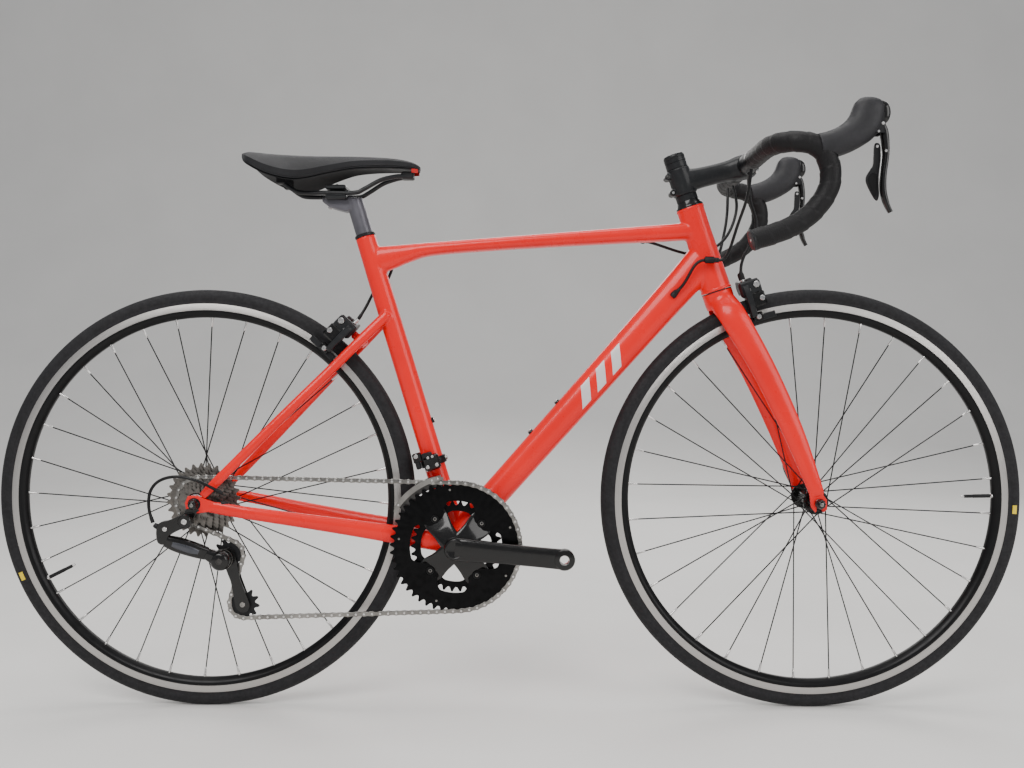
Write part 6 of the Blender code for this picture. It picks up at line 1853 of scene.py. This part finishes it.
def build_hood(side):
    name = "right" if side < 0 else "left"
    y = side * BAR_HALF
    hood = Shape()
    path = [
        (0.0570, -0.0110), (0.0720, -0.0082), (0.0850, -0.0042), (0.0960, 0.0010), (0.1060, 0.0075),
        (0.1150, 0.0155)
    ]
    path += [(0.1205, 0.0240), (0.1235, 0.0320), (0.1252, 0.0400), (0.1262, 0.0475), (0.1266, 0.0535)]
    sizes = [
        (0.0160, 0.0180), (0.0170, 0.0188), (0.0174, 0.0194), (0.0176, 0.0200), (0.0175, 0.0210),
        (0.0173, 0.0226)
    ]
    sizes += [(0.0171, 0.0230), (0.0168, 0.0228), (0.0164, 0.0220), (0.0148, 0.0200), (0.0112, 0.0150)]
    points = [BAR + Vector((x, y, z)) for x, z in path]
    end = points[-1] + (points[-1] - points[-2]).normalized() * 0.0030
    hood.sweep([*points, end], [*sizes, (0.0058, 0.0084)], "hood", 40, 2.25, per=5)
    room = bar_path()[3:15]
    if side > 0:
        room = mirrored(room)
    fine = smooth_path(room, 6)
    clear = Shape()
    rings = [
        oval(p, n, o, TAPE_RADIUS - 0.0002, TAPE_RADIUS - 0.0002, 28)
        for p, (n, o) in zip(fine, turning_frames(fine))
    ]
    clear.loft(rings, "hood")
    pivot = BAR + Vector((0.1420, y, 0.0190))
    slot_room = Shape().box(
        pivot + Vector((0.0075, 0, -0.006)), (AHEAD, SIDE, UP), (0.0135, 0.0082, 0.0182), "hood", 0.0010
    )
    mesh = fused(hood, 0.0012, 3, [clear, slot_room])
    parts = Shape()
    # The hard body that shows at the front, with the lever's pivot pin, and a glossy cap
    for flank in (-1, 1):
        centre = pivot + SIDE * flank * 0.0098 + Vector((-0.0050, 0, 0.0010))
        parts.box(centre, (AHEAD, SIDE, UP), (0.0072, 0.0016, 0.0150), "plastic", 0.0012)
    parts.rod(pivot - SIDE * 0.0116, pivot + SIDE * 0.0116, 0.0024, "silver", 20, 0.0004)
    low = pivot + Vector((-0.0060, 0, -0.0110))
    parts.rod(low - SIDE * 0.0116, low + SIDE * 0.0116, 0.0020, "silver", 20, 0.0004)
    nose = [(0.1435, 0.0200), (0.1462, 0.0275), (0.1470, 0.0360), (0.1452, 0.0445), (0.1415, 0.0505)]
    spots = [BAR + Vector((x, y, z)) for x, z in nose]
    parts.sweep(
        spots, [(0.0060, 0.0036), (0.0092, 0.0072), (0.0098, 0.0082), (0.0090, 0.0070), (0.0056, 0.0036)],
        "gloss", 28, 2.4, per=5
    )
    with_skin(parts, mesh, "hood", f"{name}_hood_rubber", "steering", "black_rubber", f"{name}_hood")


def build_lever(side):
    name = "right" if side < 0 else "left"
    y = side * BAR_HALF
    lever = Shape()
    line = [
        (0.1425, 0.0205), (0.1462, 0.0110), (0.1480, 0.0010), (0.1492, -0.0100), (0.1495, -0.0220),
        (0.1482, -0.0350)
    ]
    line += [(0.1465, -0.0480), (0.1458, -0.0620), (0.1468, -0.0760), (0.1510, -0.0900), (0.1570, -0.1020)]
    sizes = [
        (0.0060, 0.0050), (0.0070, 0.0056), (0.0073, 0.0055), (0.0074, 0.0050), (0.0073, 0.0045),
        (0.0072, 0.0041)
    ]
    sizes += [(0.0071, 0.0038), (0.0070, 0.0036), (0.0067, 0.0036), (0.0060, 0.0035), (0.0042, 0.0032)]
    points = [BAR + Vector((x, y, z)) for x, z in line]
    lever.sweep(points, sizes, "gloss", 28, 2.7, per=5)
    # A satin blade face along the front, and pins
    front = [point + Vector((0.0030, 0, 0.0004)) for point in points[3:10]]
    lever.sweep(
        front,
        [
            (0.0040, 0.0012), (0.0054, 0.0014), (0.0054, 0.0013), (0.0053, 0.0012), (0.0052, 0.0012),
            (0.0050, 0.0012), (0.0036, 0.0010)
        ],
        "anodised", 20, 2.4, per=4
    )
    pin = BAR + Vector((0.1478, y, -0.0180))
    lever.rod(pin - SIDE * 0.0078, pin + SIDE * 0.0078, 0.0020, "silver", 16, 0.0003)
    pivot = BAR + Vector((0.1420, y, 0.0190))
    lever.make(f"{name}_lever_blade", f"{name}_lever", "black_metal", f"{name}_brake_lever", pivot)

    paddle = Shape()
    centre = side * (BAR_HALF - 0.0040)
    outline = [
        (0.1355, -0.0065), (0.1425, -0.0070), (0.1438, -0.0180), (0.1438, -0.0300), (0.1422, -0.0420),
        (0.1414, -0.0520)
    ]
    outline += [(0.1414, -0.0640), (0.1420, -0.0780), (0.1400, -0.0850), (0.1360, -0.0830), (0.1300, -0.0730)]
    outline += [(0.1245, -0.0610), (0.1240, -0.0520), (0.1290, -0.0430), (0.1335, -0.0350), (0.1345, -0.0200)]
    spots = [(BAR.x + x, BAR.z + z) for x, z in outline]
    paddle.plate(spots, centre - 0.0017, centre + 0.0017, "plastic", 0.0012, per=5)
    leaf = [
        (BAR.x + x, BAR.z + z)
        for x, z in (
            (0.1385, -0.0500), (0.1382, -0.0740), (0.1360, -0.0800), (0.1310, -0.0710), (0.1266, -0.0600),
            (0.1264, -0.0540), (0.1310, -0.0470)
        )
    ]
    for face in (-1, 1):
        paddle.plate(leaf, centre + face * 0.0014, centre + face * 0.0023, "anodised", 0.0004, per=5)
    top = BAR + Vector((0.1390, centre, -0.0100))
    paddle.rod(top - SIDE * 0.0026, top + SIDE * 0.0026, 0.0022, "silver", 16, 0.0003)
    paddle.make(f"{name}_paddle_leaf", f"{name}_paddle", "dark_plastic", f"{name}_shift_paddle", top)


# Seat


RAIL_Z = SEAT_TOP.z + 0.0675
CLAMP_X = SEAT_TOP.x - 0.0435
SADDLE_TAIL = CLAMP_X - 0.144
SADDLE_LENGTH = 0.276
SADDLE_LIFT = 0.0028


def build_saddle():
    stations = [
        (0.000, 0.0365, 0.0590, 0.0052, 0.004),
        (0.006, 0.0450, 0.0606, 0.0090, 0.007),
        (0.020, 0.0530, 0.0616, 0.0125, 0.010),
        (0.045, 0.0620, 0.0622, 0.0160, 0.014),
        (0.100, 0.0680, 0.0614, 0.0180, 0.021),
        (0.160, 0.0700, 0.0602, 0.0190, 0.027),
        (0.240, 0.0690, 0.0592, 0.0195, 0.032),
        (0.320, 0.0635, 0.0585, 0.0195, 0.033),
        (0.390, 0.0540, 0.0581, 0.0190, 0.029),
        (0.460, 0.0440, 0.0580, 0.0180, 0.023),
        (0.540, 0.0350, 0.0580, 0.0175, 0.017),
        (0.620, 0.0285, 0.0578, 0.0170, 0.012),
        (0.720, 0.0245, 0.0568, 0.0165, 0.009),
        (0.820, 0.0222, 0.0550, 0.0160, 0.007),
        (0.900, 0.0205, 0.0520, 0.0145, 0.0055),
        (0.955, 0.0180, 0.0482, 0.0120, 0.004),
        (0.985, 0.0140, 0.0440, 0.0090, 0.002),
        (1.000, 0.0080, 0.0408, 0.0052, 0.001),
    ]
    rows = spline(stations, 4)
    cover, shell, trim = Shape(), Shape(), Shape()
    cover_rings, shell_rings, seam = [], [], {-1: [], 1: []}
    for share, wide, top, thick, drop in rows:
        x = SADDLE_TAIL + SADDLE_LENGTH * share
        z = RAIL_Z + top + SADDLE_LIFT
        dish = 0.0022 * math.exp(-(((share - 0.45) / 0.28) ** 2))
        upper = []
        for v in np.linspace(-1, 1, 33):
            across = math.copysign(abs(v) ** 0.86, v)
            fall = drop * (0.16 * abs(across) + 0.84 * abs(across) ** 3.0)
            groove = dish * math.exp(-((across * wide / 0.0085) ** 2))
            upper.append(Vector((x, wide * across, z - fall - groove)))
        edge = thick * 0.62
        lower = []
        for v in np.linspace(1, -1, 17):
            inset = wide * 0.985 * v
            depth = thick * (0.94 - 0.32 * abs(v) ** 3)
            fall = drop * (0.16 * abs(v) + 0.84 * abs(v) ** 3.0)
            lower.append(Vector((x, inset, z - fall - min(depth, edge + thick * 0.32 * (1 - abs(v))))))
        cover_rings.append(upper + lower)
        for side in (-1, 1):
            spot = upper[-1 if side > 0 else 0]
            seam[side].append(spot + Vector((0, -side * wide * 0.012, -thick * 0.50)))
        hull = []
        for v in np.linspace(-1, 1, 17):
            fall = drop * (0.16 * abs(v) + 0.84 * abs(v) ** 3.0)
            hull.append(Vector((x, wide * 0.94 * v, z - fall - thick * (0.80 - 0.14 * abs(v) ** 3) - 0.0004)))
        under = [point + Vector((0, -0.0004 * np.sign(point.y), -0.0016)) for point in hull[::-1]]
        shell_rings.append(hull + under)
    cover.loft(cover_rings, "leather")
    made = cover.make("saddle_padding", "saddle", "saddle_cover", "saddle")
    shell.loft(shell_rings[1:-1], "plastic")
    # Rail sockets under the nose and the tail
    nose = Vector((CLAMP_X + 0.112, 0, RAIL_Z + 0.0300))
    shell.box(nose, (AHEAD, SIDE, UP), (0.0100, 0.0105, 0.0058), "plastic", 0.0016)
    for side in (-1, 1):
        tail = Vector((CLAMP_X - 0.0855, side * 0.0262, RAIL_Z + 0.0210))
        shell.box(tail, (AHEAD, SIDE, UP), (0.0070, 0.0062, 0.0080), "plastic", 0.0016)
    shell.make("saddle_base", "saddle", "saddle_cover")
    # The red strip under the nose, and the stitched seam
    for side in (-1, 1):
        line = seam[side][4:-3]
        trim.tube(line[::2], 0.0005, "housing", 6)
        strip = []
        for share, wide, top, thick, drop in rows[60:-3]:
            x = SADDLE_TAIL + SADDLE_LENGTH * share
            z = RAIL_Z + SADDLE_LIFT + top - drop - thick * 0.66
            out = side * wide * 0.955
            strip.append(
                [
                    Vector((x, out, z - 0.0002)), Vector((x, out + side * 0.0014, z - 0.0006)),
                    Vector((x, out + side * 0.0008, z - 0.0060)), Vector((x, out - side * 0.0012, z - 0.0066))
                ]
            )
        trim.loft(strip, "red_trim")
    trim.make("saddle_trim", "saddle", "saddle_cover")

    rails = Shape()
    half = 0.0220
    tail = CLAMP_X - 0.085
    right = [
        (CLAMP_X + 0.116, -0.004, RAIL_Z + 0.0290),
        (CLAMP_X + 0.104, -0.0085, RAIL_Z + 0.0285),
        (CLAMP_X + 0.090, -0.012, RAIL_Z + 0.0265),
        (CLAMP_X + 0.069, -0.0170, RAIL_Z + 0.0200),
        (CLAMP_X + 0.045, -0.0210, RAIL_Z + 0.0060),
        (CLAMP_X + 0.030, -half, RAIL_Z),
        (CLAMP_X - 0.010, -half, RAIL_Z),
        (CLAMP_X - 0.052, -half, RAIL_Z),
        (CLAMP_X - 0.068, -half - 0.002, RAIL_Z + 0.0050),
        (tail, -half - 0.004, RAIL_Z + 0.0180),
    ]
    right = [Vector(point) for point in right]
    rails.tube(smooth_path(right[::-1] + mirrored(right), 6), 0.0035, "satin", 16)
    rails.make("saddle_rail_loop", "saddle", "black_metal", "saddle_rails")


def build_seatpost():
    low, high = SEAT_TOP - SEAT_UP * SEATPOST_INSERT, SEAT_TOP + SEAT_UP * SEATPOST_SHOWN
    skin = Shape()
    skin.rod(high - SEAT_UP * 0.045, high, SEATPOST_RADIUS, "anthracite", 40)
    x, z = CLAMP_X, RAIL_Z - 0.0040
    outline = [
        (x - 0.024, z), (x - 0.024, z - 0.008), (x - 0.012, z - 0.017), (high.x - 0.012, high.z - 0.020)
    ]
    outline += [(high.x + 0.011, high.z - 0.012), (high.x + 0.010, z - 0.002), (x + 0.022, z)]
    skin.plate(outline, -0.0128, 0.0128, "anthracite", 0.0030)
    post = fused(skin, 0.0012, 6)
    parts = Shape()
    parts.lathe(
        low, SEAT_UP, [(SEATPOST_RADIUS - 0.0008, 0.0), (SEATPOST_RADIUS, 0.0008), (SEATPOST_RADIUS, 0.1700)],
        "anthracite", 48
    )
    parts.box((x, 0, RAIL_Z - 0.0070), (AHEAD, SIDE, UP), (0.0172, 0.0262, 0.0032), "satin", 0.0014)
    parts.box((x, 0, RAIL_Z + 0.001), (AHEAD, SIDE, UP), (0.0120, 0.0126, 0.0075), "satin", 0.0012)
    parts.box((x, 0, RAIL_Z + 0.0088), (AHEAD, SIDE, UP), (0.0162, 0.0262, 0.0036), "satin", 0.0018)
    for side in (-1, 1):
        parts.rod(
            (x - 0.0150, side * 0.0220, RAIL_Z - 0.0048), (x + 0.0150, side * 0.0220, RAIL_Z - 0.0048),
            0.0030, "satin"
        )
    for forward in (-0.0170, 0.0170):
        parts.rod(
            (x + forward * 0.72, 0, RAIL_Z - 0.013), (x + forward * 0.72, 0, RAIL_Z + 0.0145), 0.0026,
            "silver", 16
        )
    parts.rod((x, -0.0105, RAIL_Z + 0.0128), (x, 0.0105, RAIL_Z + 0.0128), 0.0032, "silver", 20, 0.0005)
    parts.bolt((x - 0.0125, 0, RAIL_Z - 0.0195), -UP, 0.0040, 0.0030, "silver")
    with_skin(parts, post, "anthracite", "seatpost_tube", "seatpost", "black_metal", "seatpost")


# Cables


def build_cables():
    half = BAR_HALF

    def housing(name, points, body, node, ends=(True, True), radius=0.0024, extra=None):
        line = Shape()
        path = smooth_path(points, 14)
        for _ in range(24):
            path = [path[0], *[(a + b * 2 + c) / 4 for a, b, c in zip(path, path[1:], path[2:])], path[-1]]
        line.tube(path, radius, "housing", 14)
        for flag, spot, toward in (
            (ends[0], path[0], path[2] - path[0]), (ends[1], path[-1], path[-3] - path[-1])
        ):
            if flag:
                line.lathe(
                    spot, toward, [(0.0026, -0.0005), (0.0029, 0.0), (0.0029, 0.0085), (0.0025, 0.0095)],
                    "plastic", 16
                )
        if extra:
            extra(line, path)
        if isinstance(body, str):
            line.make(name, body, "black_rubber", node)
            return
        made = bpy.data.objects.new(name, line.mesh(name))
        bpy.context.scene.collection.objects.link(made)
        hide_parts(node)
        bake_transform(made)

    bolt = head_at(FRONT_BOLT_HEIGHT) + HEAD_FORWARD * 0.0390 + HEAD_UP * 0.0200
    front = [BAR + Vector((-0.006, half * -0.27, -0.0200)), BAR + Vector((0.000, half * -0.14, -0.0330))]
    front += [BAR + Vector((0.006, -0.018, -0.0600)), BAR + Vector((0.016, -0.020, -0.1000))]
    front += [bolt + Vector((0.002, -0.018, 0.030)), bolt + Vector((0, -0.018, 0.002))]
    housing("front_brake_housing", front, "steering", "front_brake_cable", (False, True))

    start, along, length = top_tube_line()
    port = start + along * length * 0.845 + Vector((0, 0.0200, -0.020))
    rear = [BAR + Vector((-0.006, half * 0.30, -0.0200)), BAR + Vector((-0.004, half * 0.17, -0.0600))]
    rear += [BAR + Vector((-0.020, 0.030, -0.1050)), head_at(0.066) + HEAD_FORWARD * 0.018 + SIDE * 0.0330]
    rear += [
        head_at(0.070) + SIDE * 0.0300 - HEAD_FORWARD * 0.018, port + Vector((0.025, 0.006, -0.006)), port
    ]
    housing(
        "rear_brake_housing_front", rear, ("frame", "steering", rear[4], rear[0]), "rear_brake_cable_front",
        (False, True)
    )

    for side, word in ((-1, "right"), (1, "left")):
        _, end, tube, _ = down_tube_line()
        landing = end - tube * 0.0790 + SIDE * side * 0.0240
        shift = [
            BAR + Vector((-0.009, side * half * 0.42, -0.0190)),
            BAR + Vector((-0.012, side * half * 0.36, -0.0600))
        ]
        shift += [
            BAR + Vector((-0.022, side * 0.050, -0.1000)),
            head_at(0.044) + HEAD_FORWARD * 0.022 + SIDE * side * 0.0400
        ]
        shift += [head_at(0.048) + SIDE * side * 0.0345 + HEAD_FORWARD * 0.001]
        shift += [
            head_at(0.052) + SIDE * side * 0.0320 - HEAD_FORWARD * 0.022,
            landing + tube * 0.022 + SIDE * side * 0.0050, landing
        ]

        def adjuster(line, path):
            spot = 4 * 14
            toward = (path[spot + 1] - path[spot]).normalized()
            knob = [
                (0.0028, -0.011), (0.0040, -0.0105), (0.0042, -0.004), (0.0050, -0.0035), (0.0052, 0.004),
                (0.0050, 0.0105), (0.0036, 0.0115), (0.0028, 0.012)
            ]
            line.lathe(path[spot], toward, knob, "plastic", 24)
            for number in range(8):
                turn = 2 * math.pi * number / 8
                first, second = axes_about(toward)
                out = first * math.cos(turn) + second * math.sin(turn)
                line.box(
                    path[spot] + toward * 0.0035 + out * 0.0050, (toward, toward.cross(out), out),
                    (0.0062, 0.0007, 0.0004), "plastic", 0.0001
                )

        ends = ("frame", "steering", shift[4], shift[0])
        housing(
            f"{word}_shift_housing", shift, ends, f"{word}_shift_cable", (False, True),
            extra=adjuster if side < 0 else None
        )

    exit_port = start + along * length * 0.075 + Vector((0, 0.0195, -0.022))
    stay_along, stay_up = stay_axes()
    brake = REAR_AXLE + stay_along * (TRACK_RADIUS + BRAKE_BOLT_REACH + 0.021) + stay_up * 0.0255
    run = [
        exit_port, exit_port + Vector((-0.012, 0.004, -0.032)),
        BB + SEAT_UP * 0.432 + SIDE * 0.0225 - SEAT_FORWARD * 0.010
    ]
    run += [
        BB + SEAT_UP * 0.408 + SIDE * 0.0200 - SEAT_FORWARD * 0.0330, brake + SIDE * 0.014 + stay_up * 0.006
    ]
    housing("rear_brake_housing_rear", run, "frame", "rear_brake_cable_rear", (True, True))

    loop_y = -REAR_OUT - 0.0095
    loop = [
        (0.045, -0.0755, 0.018), (0.012, -0.0860, 0.038), (-0.022, loop_y - 0.004, 0.045),
        (-0.050, loop_y - 0.002, 0.038)
    ]
    loop += [(-0.0650, loop_y, 0.020), (-0.0665, loop_y, -0.006), (-0.0605, loop_y, -0.0265)]
    loop = [REAR_AXLE + Vector(point) for point in loop]
    ends = ("frame", "b_knuckle", loop[2], loop[6])
    housing("derailleur_housing_loop", loop, ends, "derailleur_cable_loop")


# Studio


FLOOR_HALF_WIDTH = 7
FLOOR_FRONT = -5.0
BACKDROP_BEND = 2.6
BACKDROP_START = 2.4
BACKDROP_TOP = 6.0
LAMP_TINT = (1.0, 0.985, 0.965)
WORLD_TINT = (0.86, 0.88, 0.92, 1)
WORLD_STRENGTH = 0.45
CAMERA_SPOT = (0.021, -1.597, 0.563)
CAMERA_YAW = math.radians(-0.52)
CAMERA_PITCH = math.radians(-1.52)
CAMERA_LENS = 34.9
CAMERA_SENSOR = 36


def build_studio():
    """A pale floor that curves up into a backdrop, soft light, and the camera at the viewing angle."""
    floor = bpy.data.meshes.new("floor")
    rows = [(FLOOR_FRONT, 0.0)]
    for turn in np.linspace(0, math.pi / 2, 40):
        rows.append((BACKDROP_START + BACKDROP_BEND * math.sin(turn), BACKDROP_BEND * (1 - math.cos(turn))))
    rows.append((BACKDROP_START + BACKDROP_BEND, BACKDROP_TOP))
    verts = [(x, row[0], row[1]) for row in rows for x in (-FLOOR_HALF_WIDTH, FLOOR_HALF_WIDTH)]
    faces = [(2 * i, 2 * i + 1, 2 * i + 3, 2 * i + 2) for i in range(len(rows) - 1)]
    floor.from_pydata(verts, [], faces)
    floor.materials.append(
        look("pale_floor", (0.74, 0.73, 0.71), 0.62, vary=0.02, scale=2.0, grain=(60.0, 0.0003))
    )
    floor.shade_smooth()
    stage = bpy.data.objects.new("floor", floor)
    bpy.context.scene.collection.objects.link(stage)
    for name, spot, aim, size, power in (
        ("key", (-1.2, -2.6, 2.9), (0.0, 0.0, 0.45), (2.4, 1.8), 105),
        ("fill", (2.6, -2.0, 1.6), (0.1, 0.0, 0.45), (2.0, 2.0), 46),
        ("top", (0.0, 0.3, 3.2), (0.0, 0.0, 0.4), (3.2, 1.8), 60),
        ("rim", (0.5, 2.6, 1.9), (0.0, 0.0, 0.5), (3.0, 1.2), 35),
    ):
        data = bpy.data.lights.new(name, "AREA")
        data.shape = "RECTANGLE"
        data.size, data.size_y = size
        data.energy = power
        data.color = LAMP_TINT
        lamp = bpy.data.objects.new(name, data)
        lamp.location = spot
        lamp.rotation_euler = (Vector(aim) - Vector(spot)).to_track_quat("-Z", "Y").to_euler()
        bpy.context.scene.collection.objects.link(lamp)
    world = bpy.data.worlds.new("studio")
    world.use_nodes = True
    world.node_tree.nodes["Background"].inputs["Color"].default_value = WORLD_TINT
    world.node_tree.nodes["Background"].inputs["Strength"].default_value = WORLD_STRENGTH
    bpy.context.scene.world = world
    data = bpy.data.cameras.new("camera")
    data.sensor_width = CAMERA_SENSOR
    data.lens = CAMERA_LENS
    camera = bpy.data.objects.new("camera", data)
    camera.location = CAMERA_SPOT
    level = math.cos(CAMERA_PITCH)
    ahead = Vector((math.sin(CAMERA_YAW) * level, math.cos(CAMERA_YAW) * level, math.sin(CAMERA_PITCH)))
    camera.rotation_euler = ahead.to_track_quat("-Z", "Y").to_euler()
    bpy.context.scene.collection.objects.link(camera)
    bpy.context.scene.camera = camera


build_frame()
build_fork()
build_wheel("front", "front_wheel", FRONT_AXLE, FRONT_VALVE_TURN, -0.0345, 0.0345, 0.0200, 0.0130, 0.0497)
build_wheel("rear", "rear_wheel", REAR_AXLE, REAR_VALVE_TURN, -0.0180, 0.0370, 0.0230, 0.0150, 0.0647)
build_skewers()
build_chain()
build_rings()
build_cranks()
build_cassette()
build_pulleys()
build_front_derailleur()
build_rear_derailleur()
build_brakes()
build_head_parts()
build_stem()
build_bar()
for hand in (-1, 1):
    build_tape(hand)
    build_hood(hand)
    build_lever(hand)
build_saddle()
build_seatpost()
build_cables()
build_studio()
